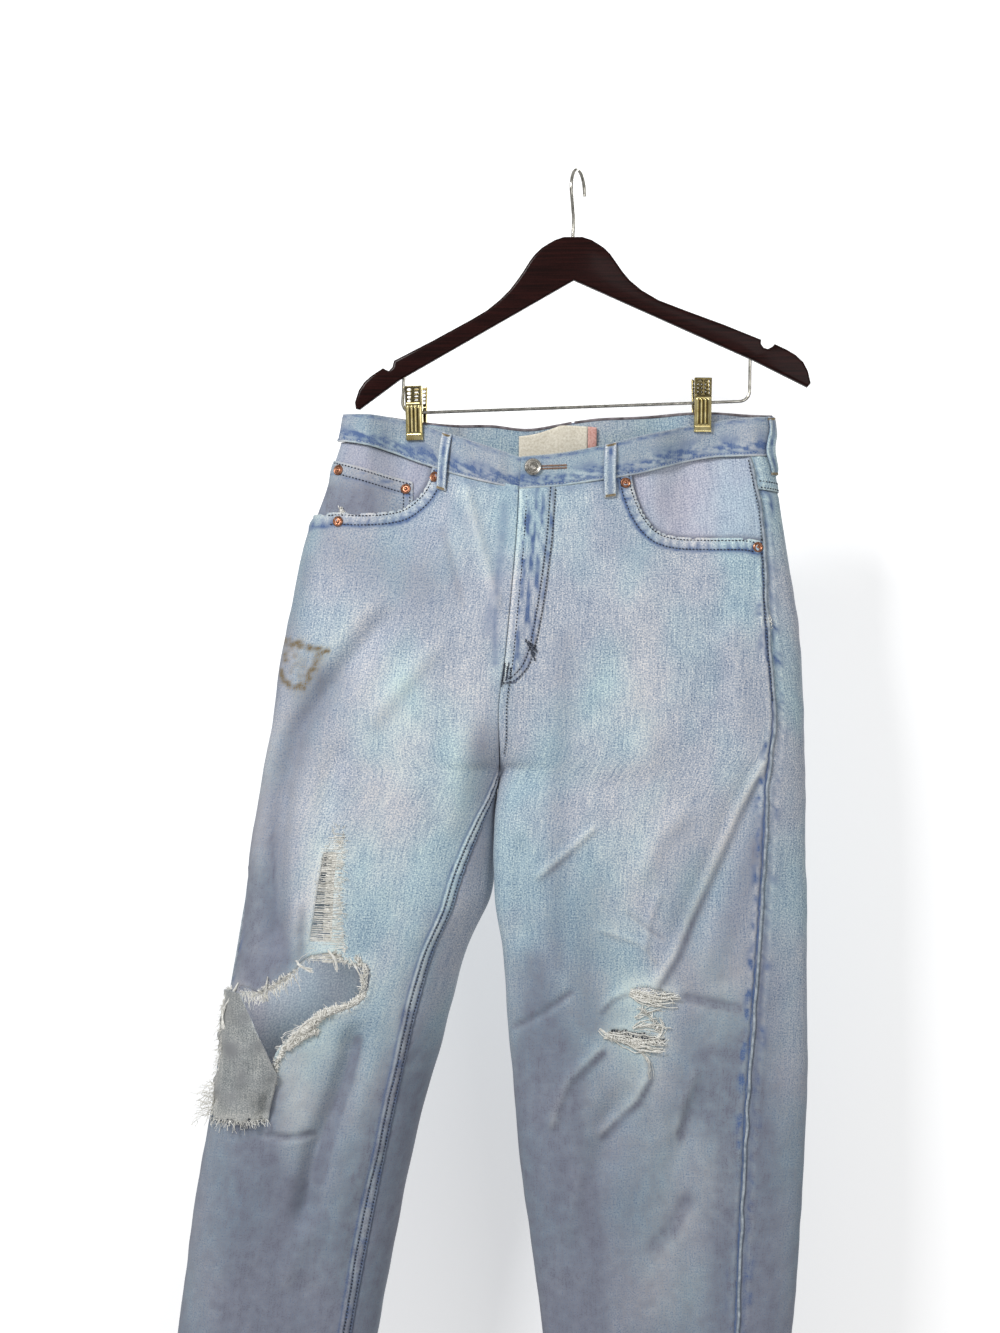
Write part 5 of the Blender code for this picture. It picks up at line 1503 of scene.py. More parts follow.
def dress(piece: Piece, slot: str, *nodes: str) -> Piece:
    """Hides the plain nodes that a piece stands for, and gives back the piece."""
    if nodes:
        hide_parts(*nodes)
    return piece


def denim_piece(name: str, node: str, patch: Patch, finishes: Sequence[Material], wall: float) -> Piece:
    """A sheet of denim on a patch of the form, in place of a plain node."""
    piece = cloth_piece(name, patch.points, patch.uv, finishes, patch.wash, patch.keep, patch.snapped,
                        patch.normals, wall)
    return dress(piece, "denim", node)


def unit_grid(rows: int, columns: int) -> tuple[Array, Array]:
    """Even steps from 0 to 1, across in one row and down in one column."""
    return np.linspace(0, 1, columns)[None, :], np.linspace(0, 1, rows)[:, None]


def spread_uv(across: Array, up: Array) -> Array:
    """Lengths across and up a cloth, in metres, at every knot of its grid."""
    return np.stack(np.broadcast_arrays(across, up), -1) * MM


def scoop(half: Half) -> Outline:
    """Outline of a front pocket's opening."""
    return Outline(SCOOPS[half], rounded=True)


def blotchy(patch: Patch, size: float, seed: int, cut: float = 0.1) -> Array:
    """Uneven blotches on a patch, from 0 to 1."""
    return smooth((waves(patch.across, patch.levels, size, seed) - cut) / 0.5)


@dataclass
class Panels:
    """The two fronts, two backs and two yokes, with their seams, creases, tears and wash."""

    kit: Kit
    front_size: tuple[int, int] = (361, 125)  # rows and columns
    seam_columns: int = 22  # columns of a front that crowd along each seam
    seam_width: float = 0.066  # the share that they fill
    back_size: tuple[int, int] = (261, 85)
    yoke_size: tuple[int, int] = (26, 85)
    wall: float = 1.2
    under_band: float = 2.5
    fell: float = 12.0  # width of a felled seam
    seam_rows: tuple[float, float] = (2.6, 9.0)  # stitches, from the edge
    scoop_rows: tuple[float, float] = (2.6, 11.5)
    yoke_rows: tuple[float, float] = (2.0, 8.0)
    yoke_at_side: float = 32.0
    yoke_at_centre: float = YOKE_AT_CENTRE
    gap: float = 0.15

    def yoke_level(self, share: Array) -> Array:
        """Level of the yoke seam: lower at the centre back than at the side."""
        return WAIST_LEVEL - self.yoke_at_side - (self.yoke_at_centre - self.yoke_at_side) * share

    def roll_seams(self, patch: Patch) -> Array:
        """Height of the cloth beside its side seam and its inseam or centre seam, painting the wear there and
        the dark seam grooves: unfaded indigo and painted shade.
        """
        start, end = patch.from_edges()
        front = patch.form.face is Face.FRONT
        outer, inner = (end, start) if front else (start, end)
        leg = smooth((CROTCH_LEVEL - patch.levels) / 6)
        pucker = waves(outer * 0.4, patch.levels, 9, SEED + 31)
        groove = 3.4 + 0.5 * pucker
        ridge = groove + 4
        height = -1.0 * bell(outer, groove, 1.1) + (0.5 + 0.5 * pucker) * bell(outer, ridge, 2.2)
        patch.tint(Tint.PALE, 0.5 * bell(outer, ridge, 2.0) - (1.0 if front else 0.0) * bell(outer, 3, 2))
        # The outseam's groove is painted dark: unfaded indigo and painted shade.
        patch.tint(Tint.INDIGO, (1.1 if front else 0.6) * bell(outer, groove, 1.1)
                   + 0.5 * bell(outer, 8, 2.5) * smooth(0.5 - 1.2 * pucker))
        patch.tint(Tint.SHADE, (1.0 if front else 0.4) * bell(outer, groove, 1.2))
        patch.tint(Tint.INDIGO, 0.55 * bell(outer, 11, 5) * blotchy(patch, 20, SEED + 3))
        inner_pucker = waves(inner * 0.4, patch.levels, 8, SEED + 32)
        felled = 1 - smooth((inner - self.fell + 1) / 1.6)
        raised = 1.4 * felled + 0.4 * inner_pucker * felled
        first, second = self.seam_rows
        grooves = 0.8 * (bell(inner, first, 1.1) + bell(inner, second, 1.1))
        if front:
            height += leg * (raised - grooves) - 0.9 * bell(inner, 0, 1.0)
            crest = 0.7 * bell(inner, self.fell - 0.6, 1.0) + 0.6 * bell(inner, 6.5, 2.0)
            patch.tint(Tint.PALE, leg * crest)
            # The stitch grooves and both edges of the fell are painted dark: unfaded indigo and painted
            # shadow.
            patch.tint(Tint.INDIGO, leg * 0.75 * (bell(inner, first, 1.0) + bell(inner, second, 1.0)))
            patch.tint(Tint.INDIGO, leg * 0.6 * bell(inner, 6, 3.6) * blotchy(patch, 16, SEED + 4))
            patch.tint(Tint.INDIGO, leg * 0.8 * (bell(inner, self.fell + 2.2, 1.8) + bell(inner, 0, 1.6)))
        else:
            centre = 1 - leg
            height += centre * (raised - grooves) - 0.9 * bell(inner, 0, 1.2)
            patch.tint(Tint.INDIGO, 0.5 * bell(inner, 0, 1.4))
            patch.tint(Tint.PALE, centre * 0.6 * bell(inner, self.fell, 1.4))
        return height

    def hem_scoop(self, patch: Patch) -> Array:
        """Cuts the front pocket's opening, and gives the height of its turned and puckered hem."""
        outline = scoop(patch.form.half)
        _, along, _, _ = outline.measure(patch.x, patch.z)
        distance = patch.trim(outline, inside=False)
        first, second = self.scoop_rows
        near = (distance < 30) & (distance > -5)
        hem = near * (1 - smooth((distance - second - 1) / 1.6))
        pucker = np.sin(along * math.tau / 8.5 + 2.0 * np.sin(along / 19.0))
        height = 1.0 * hem + near * 0.75 * pucker * bell(distance, 7, 3.5)
        height -= near * 0.6 * (bell(distance, first, 0.9) + bell(distance, second, 1.0))
        patch.tint(Tint.PALE, near * (0.9 * bell(distance, 0.8, 1.6) + 0.4 * bell(distance, 6, 2.5)))
        # A dark line along the hem's lower edge: unfaded indigo and painted shadow.
        patch.tint(Tint.INDIGO, near * 1.1 * bell(distance, 12.4, 2.4))
        patch.tint(Tint.INDIGO, near * 0.9 * bell(distance, 7.0, 3.8) * (0.5 - 0.5 * pucker))
        return height

    def tear(self, patch: Patch, outline: Outline, curl: float) -> Array:
        """Cuts a tear, pales the cloth round it and gives the height of its curled edge."""
        distance = patch.trim(outline, inside=False)
        near = abs(distance) < 60
        patch.tint(Tint.PALE, near * (0.55 * bell(distance, 0, 11) + 0.4 * bell(distance, 0, 3)))
        return near * curl * bell(distance, 0, 4.0)

    def spot(self, patch: Patch, places: Line) -> None:
        """Paints unfaded blotches of indigo."""
        for x, z in places:
            ragged = 0.3 * waves(patch.x, patch.z, 7, SEED + 9)
            away = np.hypot((patch.x - x) / 5.2, (patch.z - z) / 7.0) + ragged
            patch.tint(Tint.INDIGO, 0.44 * smooth((1.7 - away) / 1.5))

    def panel(self, kind: str, half: Half, patch: Patch) -> Piece:
        """Makes the piece of a front, back or yoke from its patch."""
        names = f"{kind}_panel_{half.value}", f"{kind}_{half.value}"
        return denim_piece(*names, patch, self.kit.denim, self.wall)

    def front(self, half: Half) -> Piece:
        """Builds one front."""
        form = self.kit.form(half, Face.FRONT)
        rows, columns = self.front_size
        top, foot = WAIST_LEVEL + self.under_band, HEM_LEVEL + HEM_DEPTH + self.gap
        middle = np.linspace(self.seam_width, 1 - self.seam_width, columns - 2 * self.seam_columns)
        edge = np.linspace(0, self.seam_width, self.seam_columns, endpoint=False)
        shares = np.concatenate([edge, middle, 1 - edge[::-1]])
        patch = Patch(form, shares[None, :], np.linspace(top, foot, rows)[:, None]).paint()
        height = self.roll_seams(patch) + self.hem_scoop(patch)
        for outline, curl in TEARS[half]:
            height += self.tear(patch, outline, curl)
        under = WAIST_LEVEL - patch.levels
        height -= 0.7 * smooth((4 - under) / 4)
        # A dark line just under the band: painted shadow and unfaded indigo, stronger in blotches.
        patch.tint(Tint.INDIGO, 0.85 * bell(under, 3, 3.2) * (0.5 + 0.5 * blotchy(patch, 13, SEED + 5)))
        patch.tint(Tint.INDIGO, 0.5 * bell(under, 14, 10) * blotchy(patch, 24, SEED + 7, 0.2))
        if half is Half.LEFT:
            self.spot(patch, BLOTCHES)
        return self.panel("front", half, patch.lift(height))

    def back(self, half: Half) -> Piece:
        """Builds one back, below its yoke."""
        shares, down = unit_grid(*self.back_size)
        top, foot = self.yoke_level(shares) - self.gap, HEM_LEVEL + HEM_DEPTH + self.gap
        patch = Patch(self.kit.form(half, Face.BACK), shares, top + (foot - top) * down).paint()
        height = self.roll_seams(patch)
        below = top - patch.levels
        height -= 0.8 * bell(below, 0, 1.3)
        # A dark line just below the yoke's edge: unfaded indigo and painted shadow.
        patch.tint(Tint.INDIGO, 0.4 * bell(below, 1, 3))
        if half is Half.LEFT:
            self.spot(patch, SIDE_BLOTCHES)
        return self.panel("back", half, patch.lift(height))

    def yoke(self, half: Half) -> Piece:
        """Builds one back yoke, its lower edge felled over the back."""
        shares, down = unit_grid(*self.yoke_size)
        top, foot = WAIST_LEVEL + self.under_band, self.yoke_level(shares) + self.gap
        patch = Patch(self.kit.form(half, Face.BACK), shares, top + (foot - top) * down).paint()
        height = self.roll_seams(patch)
        above = patch.levels - foot
        first, second = self.yoke_rows
        height += 0.8 * (1 - smooth((above - second - 1) / 1.5))
        height -= 0.45 * (bell(above, first, 0.9) + bell(above, second, 0.9))
        height -= 0.7 * smooth((4 - (WAIST_LEVEL - patch.levels)) / 4)
        patch.tint(Tint.PALE, 0.6 * bell(above, 0.8, 1.4))
        patch.tint(Tint.INDIGO, 0.4 * bell(above, 5, 3) * blotchy(patch, 14, SEED + 8))
        return self.panel("yoke", half, patch.lift(height))

    def welts(self) -> Piece:
        """Builds the thin roll of cloth that stands up along each outseam, wavy from washing."""
        levels = np.arange(WAIST_LEVEL - 2.5, HEM_LEVEL + HEM_DEPTH, -2.0)
        routes = []
        for half in Half:
            form = self.kit.form(half, Face.FRONT)
            inward = 1.1 + 0.9 * waves(levels * 0.5, 0 * levels, 16, SEED + 33)
            shares = 1 - inward / form.length(levels)
            routes.append(form.raised(shares, levels, 0.5)[0])
        return dress(strands("outseam_welts", routes, [1.35, 1.35], self.kit.finishes.welt, 8), "denim")

    def sew(self, rows: Stitching) -> None:
        """Sews the felled seams, the pocket openings and the yokes."""
        inseam = np.arange(CROTCH_LEVEL - 8, HEM_LEVEL + HEM_DEPTH, -2.0)
        hip = np.arange(WAIST_LEVEL - 4, -520.0, -2.0)
        seat = np.arange(WAIST_LEVEL - 4, CROTCH_LEVEL + 4, -2.0)
        across = np.linspace(0.01, 0.99, 120)
        for half in Half:
            front, back = self.kit.form(half, Face.FRONT), self.kit.form(half, Face.BACK)
            for distance in self.seam_rows:
                rows.on_form(front, distance / front.length(inseam), inseam, 1.3)
            for distance in self.scoop_rows:
                route = scoop(half).beside(distance)
                low, high = SCOOP_SEWN[half]
                sewn = (route[:, 1] < SCOOP_SEWN_TOP) & (route[:, 0] > low) & (route[:, 0] < high)
                rows.in_view(front, route[sewn], 0.95)
            for above in self.yoke_rows:
                rows.on_form(back, across, self.yoke_level(across) + above, 0.75)
            wavy = 3.4 + 0.5 * waves(hip, 0 * hip, 12, SEED)
            rows.on_form(front, 1 - wavy / front.length(hip), hip, 0.5)
            if half is Half.RIGHT:
                for distance in self.seam_rows:
                    rows.on_form(back, 1 - distance / back.length(seat), seat, 0.75)

    def build(self) -> None:
        """Builds every panel and the outseam welts, and works out each panel's flat size. A front or back was
        cut as wide as its widest level.
        """
        for half in Half:
            for piece, face, top in ((self.front(half), Face.FRONT, WAIST_LEVEL),
                                     (self.back(half), Face.BACK, WAIST_LEVEL - self.yoke_at_centre),
                                     (self.yoke(half), Face.BACK, WAIST_LEVEL)):
                form = self.kit.form(half, face)
                declare(form, top, "yoke" in piece.name)
        self.welts()


def declare(form: Form, top: float, yoke: bool = False) -> None:
    """Works out a panel's flat width and length: as wide as its widest level, and as long as from its foot to
    its top.
    """
    foot = WAIST_LEVEL - YOKE_AT_CENTRE if yoke else HEM_LEVEL + HEM_DEPTH
    levels = np.linspace(foot, top, 60)
    width, length = float(form.length(levels).max()) * MM, (top - foot) * MM


@dataclass
class Waistband:
    """The band: one strip folded over at the top, its left end lapped over its right end."""

    kit: Kit
    step: float = 2.6
    inset: float = 2.9  # how far the right end lies inside, under the lap
    under: tuple[float, float] = (8.0, 24.0)  # where along the right front it comes out again
    outer: float = 1.2  # height of the outer face over the form
    inner: float = -1.7
    wall: float = 0.9

    def columns(self) -> list[tuple[Form, Array, Array]]:
        """The band's route round the waist: forms with shares and how far the band lies inside them."""
        left, right, back_right, back_left = (self.kit.form(*panel) for panel in
                                              (LEFT_FRONT, RIGHT_FRONT, RIGHT_BACK, LEFT_BACK))
        lengths = {form: float(form.length(WAIST_LEVEL)) for form in (left, right, back_right, back_left)}
        spread = {form: np.linspace(0, 1, int(length / self.step)) for form, length in lengths.items()}
        lap = LAP / lengths[left]
        lapped = np.linspace(lap, 0, 12)
        rising = smooth((spread[right] * lengths[right] - self.under[0]) / (self.under[1] - self.under[0]))
        route = [(left, lapped, np.full(len(lapped), self.inset)),
                 (right, spread[right][1:], (self.inset * (1 - rising))[1:])]
        for form, shares in ((back_right, spread[back_right]), (back_left, spread[back_left][::-1]),
                             (left, spread[left][::-1])):
            route.append((form, shares[1:], np.zeros(len(shares) - 1)))
        return route

    def rows(self) -> list[tuple[float, float]]:
        """The band's cross section, (level, height), from its outer lower edge over the top to the inside."""
        low, high = WAIST_LEVEL - 1.2, BAND_TOP_LEVEL
        outer = [(low, 0.15), (low + 0.5, 0.8), (low + 1.6, self.outer)]
        outer += [(level, self.outer) for level in np.linspace(low + 3, high - 2, 20)]
        top = [(high - 0.6, self.outer * 0.8), (high, 0.3), (high + 0.2, -0.3), (high - 0.1, -1.0)]
        inner = [(high - 1.2, self.inner), (high - 2.6, self.inner)]
        inner += [(level, self.inner) for level in np.linspace(high - 3.6, low + 1, 11)]
        return outer + top + inner

    def build(self) -> Piece:
        """Builds the band."""
        columns, rows = self.columns(), self.rows()
        parts = [[form.raised(shares, level) for form, shares, _ in columns] for level, _ in rows]
        points, ups = (np.array([np.concatenate([part[i] for part in row]) for row in parts]) for i in (0, 1))
        inset = np.concatenate([part for _, _, part in columns])[None, :]
        level = np.array([value for value, _ in rows])[:, None]
        height = np.array([value for _, value in rows])[:, None]
        along = lengths_to(points[10])[None, :]  # measured on a row of the outer face
        outside = height > 0
        foot, top = level - rows[0][0], BAND_TOP_LEVEL - level
        rope = waves(along + 0.8 * foot, foot * 0.6, 10, SEED + 21)
        relief = outside * 0.4 * rope * (bell(foot, 4, 4) + 0.6 * bell(top, 4, 4))
        relief -= outside * 0.45 * (bell(foot, 2.8, 0.9) + bell(top, 3.0, 0.9))
        relief += outside * 0.5 * bell(foot, 1.0, 1.0) + 0.5 * waves(along, level, 60, SEED + 22)
        points = points + ups * (height + relief - inset)[..., None]
        wash = np.zeros((*points.shape[:2], 4))
        blotch = smooth((waves(along + 0.9 * foot, level * 1.2, 8, SEED + 23) + 0.35) / 0.8)
        wide = smooth((waves(along * 0.5, level, 26, SEED + 24) + 0.3) / 0.6)
        behind = np.concatenate([np.full(len(part), form.face is Face.BACK) for form, _, part in columns])
        rim = behind[None, :] * (top < 2.8) * (height < 1.0)
        unfaded = bell(foot, 8, 6) * (0.45 + 0.9 * blotch) * (0.75 + 0.4 * wide) + bell(foot, 3.2, 1.3)
        unfaded += 0.85 * bell(top, 5, 3) * (0.5 + 0.6 * blotch) + 0.6 * bell(foot, 17, 9) * wide
        worn = 1.2 * bell(foot, 0.6, 1.6) + 0.9 * bell(top, 0.5, 1.6) + 0.5 * (1 - blotch) * bell(foot, 9, 7)
        # Painted shade on the band's inside, darkest along its top; the shade tint is 0.6 all over the outer
        # face; the top of the back's inside (rim) is painted darker still with indigo and shade.
        wash[..., Tint.INDIGO.value] = outside * unfaded + 0.9 * rim
        wash[..., Tint.SHADE.value] = np.where(outside, 0.6, 0.35 + 0.6 * bell(top, 0, 2.5)) + rim
        wash[..., Tint.PALE.value] = outside * worn * (1 - rim)
        outward = ups * np.where(outside, 1.0, -1.0)[..., None]
        piece = cloth_piece("waistband_strip", points, spread_uv(along, level - height), self.kit.denim,
                            np.clip(wash, 0, 1), outward=outward, wall=self.wall)
        dress(piece, "denim", "waistband")
        return piece

    def worn_edge(self) -> Piece:
        """Builds the dark, fluffy fold along the top of the back."""
        routes = []
        for form, shares, _ in self.columns():
            if form.face is Face.BACK:
                across = shares * form.length(WAIST_LEVEL)
                level = BAND_TOP_LEVEL - 0.6 + 0.5 * waves(across, 0 * across, 9, SEED)
                routes.append(form.raised(shares, level, -0.8)[0])
        return dress(strands("waistband_worn_edge", routes, [1.5, 1.5], self.kit.finishes.dark_fold_yarn, 8), "denim")

    def sew(self, rows: Stitching) -> None:
        """Sews the band along both edges."""
        for form, shares, inset in self.columns()[1:]:
            for level in (WAIST_LEVEL + 1.8, BAND_TOP_LEVEL - 3.0):
                rows.on_form(form, shares, level, self.outer + 0.1 - inset[:, None])


@dataclass
class Fly:
    """The fly's facing: a strip on the left front, sewn with two rows that turn in at the foot."""

    kit: Kit
    height: float = 1.2
    wall: float = 1.0
    edge: float = 7.5

    def line(self, inward: float) -> Array:
        """The route of a row of J stitches, a distance inside the facing's edge."""
        return through([(x - inward, z + inward * 0.4) for x, z in FLY_EDGE], 2.0)

    def build(self) -> Piece:
        """Builds the facing."""
        form = self.kit.form(Half.LEFT, Face.FRONT)
        patch = Patch.window(form, (-110, -508), (-10, WAIST_LEVEL - 6), 2.2)
        patch = Patch(form, patch.shares, np.minimum(patch.levels, WAIST_LEVEL - 1.0)).paint()
        distance = patch.trim(Outline(FLY), inside=True)
        start, _ = patch.from_edges()
        height = 0.35 + self.height * (1 - smooth((start - 2) / 30)) * smooth(distance / 8)
        height += 0.25 * waves(start, patch.levels * 0.45, 12, SEED + 41) * smooth(distance / 5)
        height -= 0.7 * bell(start, 0, 1.2) + 0.4 * (bell(distance, 5.5, 1.0) + bell(start, self.edge, 0.9))
        patch.lift(height)
        patch.tint(Tint.PALE, 0.95 * bell(start, 1.6, 1.5) + 0.4 * bell(distance, 1.2, 1.5))
        patch.tint(Tint.INDIGO, 0.7 * bell(start, self.edge + 1.5, 2.5) * blotchy(patch, 18, SEED + 42))
        streaks = smooth((waves(start, patch.levels * 0.2, 6.0, SEED + 43) + 0.35) / 0.9)
        patch.tint(Tint.INDIGO, 0.85 * smooth(start / 8) * streaks * smooth(distance / 3))
        patch.tint(Tint.INDIGO, 0.8 * bell(distance, 1.5, 2.0) * blotchy(patch, 14, SEED + 44, -0.2))
        # Painted shade in the grooves of the J stitches.
        patch.tint(Tint.SHADE, 0.9 * (bell(distance, 1.5, 1.3) + bell(distance, 6.5, 1.3)))
        piece = denim_piece("fly_facing", "fly", patch, self.kit.denim, self.wall)
        return piece

    def sew(self, rows: Stitching) -> None:
        """Sews the J and the row beside the edge."""
        form = self.kit.form(Half.LEFT, Face.FRONT)
        for inward in (1.5, 6.5):
            rows.in_view(form, self.line(inward), 0.9)
        levels = np.arange(WAIST_LEVEL - 8, CROTCH_LEVEL + 12, -2.0)
        rows.on_form(form, self.edge / form.length(levels), levels, 1.2)
        for line in FLY_BARS:
            for up in (0.0, 1.7):
                rows.in_view(form, [(x, z + up) for x, z in line], 1.6)


@dataclass
class Pockets:
    """The front pockets' facings, the coin pocket and the two back pockets."""

    kit: Kit
    facing_out: float = -3.2  # heights over the form
    coin_out: float = -1.8
    back_out: float = 1.5
    wall: float = 1.0

    def facing(self, half: Half) -> Piece:
        """Builds the cloth that shows inside a front pocket."""
        form = self.kit.form(half, Face.FRONT)
        inner, bottom, outer = FACING_BOX[half]
        low, high = (min(inner, outer), bottom), (max(inner, outer), -200.0)
        patch = Patch.window(form, low, high, 3.0)
        shares = np.linspace(patch.shares.min(), 0.999, patch.shares.shape[-1] + 8)[None, :]
        patch = Patch(form, shares, np.minimum(patch.levels[:, :1], WAIST_LEVEL - 1.0)).paint()
        patch.trim(Outline((low, (high[0], low[1]), high, (low[0], high[1]))), inside=True)
        inward = -scoop(half).measure(patch.x, patch.z)[0]
        sewn = 2.6 * (1 - smooth(patch.from_edges()[1] / 9)) * smooth(inward / 6)
        patch.lift(self.facing_out + sewn + 0.4 * waves(patch.x, patch.z, 30, SEED + 51))
        # Painted shade inside the pocket, with a painted contact shadow along the opening's edge.
        patch.tint(Tint.SHADE, (0.55 if half is Half.RIGHT else 0.2) + 0.9 * bell(inward, 0, 3.5))
        finishes = [self.kit.finishes.pocketing, self.kit.finishes.reverse]
        names = f"pocket_lining_{half.value}", f"pocket_facing_{half.value}"
        piece = denim_piece(*names, patch, finishes, self.wall)
        return piece

    def coin(self) -> Piece:
        """Builds the coin pocket."""
        form = self.kit.form(Half.RIGHT, Face.FRONT)
        patch = Patch.window(form, (-246, -350), (-148, -276), 2.0).paint()
        distance = patch.trim(Outline(COIN_POCKET), inside=True)
        (x0, z0), (x1, z1) = COIN_POCKET[:2]
        length = math.hypot(x1 - x0, z1 - z0)
        below = abs((patch.x - x0) * (z1 - z0) - (patch.z - z0) * (x1 - x0)) / length
        inward = x1 - patch.x
        height = self.coin_out + 0.6 * (1 - smooth((below - 13) / 1.4)) - 0.45 * bell(below, 2.5, 0.9)
        height -= 0.45 * (bell(below, 12.5, 0.9) + bell(inward, 3, 0.9) + bell(inward, 9, 0.9))
        height += 0.3 * waves(patch.x, patch.z, 9, SEED + 52) * bell(below, 7, 4)
        patch.tint(Tint.PALE, 0.9 * bell(below, 0.8, 1.6) + 0.6 * bell(inward, 0.5, 1.5)
                   + 0.25 * smooth(1 - distance / 20))
        # Blotches of unfaded indigo; a dark line under the hem: unfaded indigo and painted shadow.
        patch.tint(Tint.INDIGO, 0.9 * bell(below, 7, 3.5) * blotchy(patch, 12, SEED + 53)
                   + 0.8 * bell(below, 13.5, 1.8) + 0.6 * bell(inward, 6, 2.5))
        # Painted shade: the coin pocket lies inside the front pocket's opening.
        patch.tint(Tint.SHADE, 0.62)
        patch.lift(height)
        piece = denim_piece("coin_pocket_patch", "coin_pocket", patch, self.kit.denim, self.wall)
        return piece

    def back_outline(self, half: Half) -> Outline:
        """Outline of a back pocket in the back view."""
        return Outline(tuple((x if half is Half.LEFT else BACK_MIRROR - x, z) for x, z in BACK_POCKET))

    def back(self, half: Half) -> Piece:
        """Builds a back pocket."""
        form = self.kit.form(half, Face.BACK)
        outline = self.back_outline(half)
        spots = np.array(outline.points)
        patch = Patch.window(form, tuple(spots.min(axis=0) - 6), tuple(spots.max(axis=0) + 6), 2.4).paint()
        distance = patch.trim(outline, inside=True)
        (x0, z0), (x1, z1) = outline.points[:2]
        below = abs((patch.x - x0) * (z1 - z0) - (patch.z - z0) * (x1 - x0)) / math.hypot(x1 - x0, z1 - z0)
        height = self.back_out + 0.5 * waves(patch.x, patch.z, 48, SEED + 54) * smooth(distance / 12)
        height += 0.6 * (1 - smooth((below - 15) / 1.5)) - 0.4 * bell(below, 13, 0.9)
        height -= 0.45 * (bell(distance, 2.5, 0.9) + bell(distance, 8.5, 0.9)) * smooth((below - 4) / 4)
        patch.tint(Tint.PALE, 0.8 * bell(distance, 0.6, 1.6) + 0.12 * smooth(distance / 30))
        patch.tint(Tint.INDIGO, 0.8 * bell(distance, 5.5, 3) * blotchy(patch, 14, SEED + 55))
        patch.tint(Tint.INDIGO, 0.5 * bell(below, 9, 4) * blotchy(patch, 18, SEED + 56))
        patch.lift(height)
        names = f"back_pocket_patch_{half.value}", f"back_pocket_{half.value}"
        piece = denim_piece(*names, patch, self.kit.denim, self.wall)
        return piece

    def sew(self, rows: Stitching) -> None:
        """Sews the coin pocket and the back pockets."""
        form = self.kit.form(Half.RIGHT, Face.FRONT)
        (x0, z0), (x1, z1) = COIN_POCKET[:2]
        for down in (2.5, 12.5):
            rows.in_view(form, ((x0 + 4, z0 - down - 1), (x1 - 2, z1 - down)), self.coin_out + 0.6)
        for inward in (3.0, 9.0):
            rows.in_view(form, ((x1 - inward, z1 - 4), (x1 - inward, z1 - 30)), self.coin_out + 0.2)
        for half in Half:
            outline = self.back_outline(half)
            form = self.kit.form(half, Face.BACK)
            for inward in (2.5, 8.5):
                route = outline.beside(-inward)
                rows.in_view(form, route[np.argmax(route[:, 1]):], self.back_out + 0.3)

    def build(self) -> None:
        """Builds every pocket."""
        for half in Half:
            self.facing(half)
            self.back(half)
        self.coin()


@dataclass
class BeltLoops:
    """Five belt loops, each a folded strip that stands a little off the band in its middle."""

    kit: Kit
    width: float = 12.0
    below: float = 20.0  # how far a loop runs below the band
    stand: float = 3.2  # how far its middle stands off
    base: float = 2.2
    wall: float = 1.2
    askew: str = "belt_loop_side_left"
    askew_width: float = 0.8

    def build(self) -> None:
        """Builds the loops. The one that is askew starts narrower, as its outside spreads round the hip."""
        across = np.array([-1.0, -0.93, -0.7, -0.42, -0.15, 0.15, 0.42, 0.7, 0.93, 1.0])
        edge = np.array([-0.7, 0.1, 0.45, 0.1, 0.0, 0.0, 0.1, 0.45, 0.1, -0.7])
        levels = np.linspace(BAND_TOP_LEVEL - 0.8, WAIST_LEVEL - self.below, 30)
        down = np.linspace(0, 1, 30)[:, None]
        for name, (half, face, middle) in LOOPS.items():
            form = self.kit.form(half, face)
            swing = 1.8 * np.sin(down * 8.0) * (name == self.askew)
            width = self.width * (self.askew_width if name == self.askew else 1.0)
            shares = middle + (across[None, :] * width / 2 + swing) / form.length(levels)[:, None]
            patch = Patch(form, shares, levels[:, None])
            bulge = self.stand * np.sin(np.pi * down) ** 0.8
            rough = 0.25 * waves(patch.x, patch.z, 9, SEED + len(name))
            tacked = 0.9 * (bell(down, 0, 0.05) + bell(down, 1, 0.05))
            patch.lift(self.base + bulge + edge[None, :] + rough - tacked)
            patch.tint(Tint.PALE, 0.8 * bell(abs(across), 0.72, 0.14)[None, :] + 0.8 * bell(down, 1, 0.04))
            patch.tint(Tint.INDIGO, bell(across, 0, 0.45)[None, :] * (0.8 + 0.4 * blotchy(patch, 14, SEED)))
            # Painted shadow along both outer edges of the loop.
            patch.tint(Tint.INDIGO, 0.9 * bell(abs(across), 1.0, 0.08)[None, :])
            piece = denim_piece(f"{name}_strip", name, patch, self.kit.denim, self.wall)

    def sew(self, rows: Stitching) -> None:
        """Sews a bar across both ends of each loop."""
        for half, face, middle in LOOPS.values():
            form = self.kit.form(half, face)
            for level in (BAND_TOP_LEVEL - 3.5, WAIST_LEVEL - self.below + 2.5):
                for row in range(3):
                    at = np.full(8, level - row * 0.8)
                    shares = middle + np.linspace(-0.8, 0.8, 8) * self.width / 2 / float(form.length(level))
                    rows.on_form(form, shares, at, self.base + 1.0)


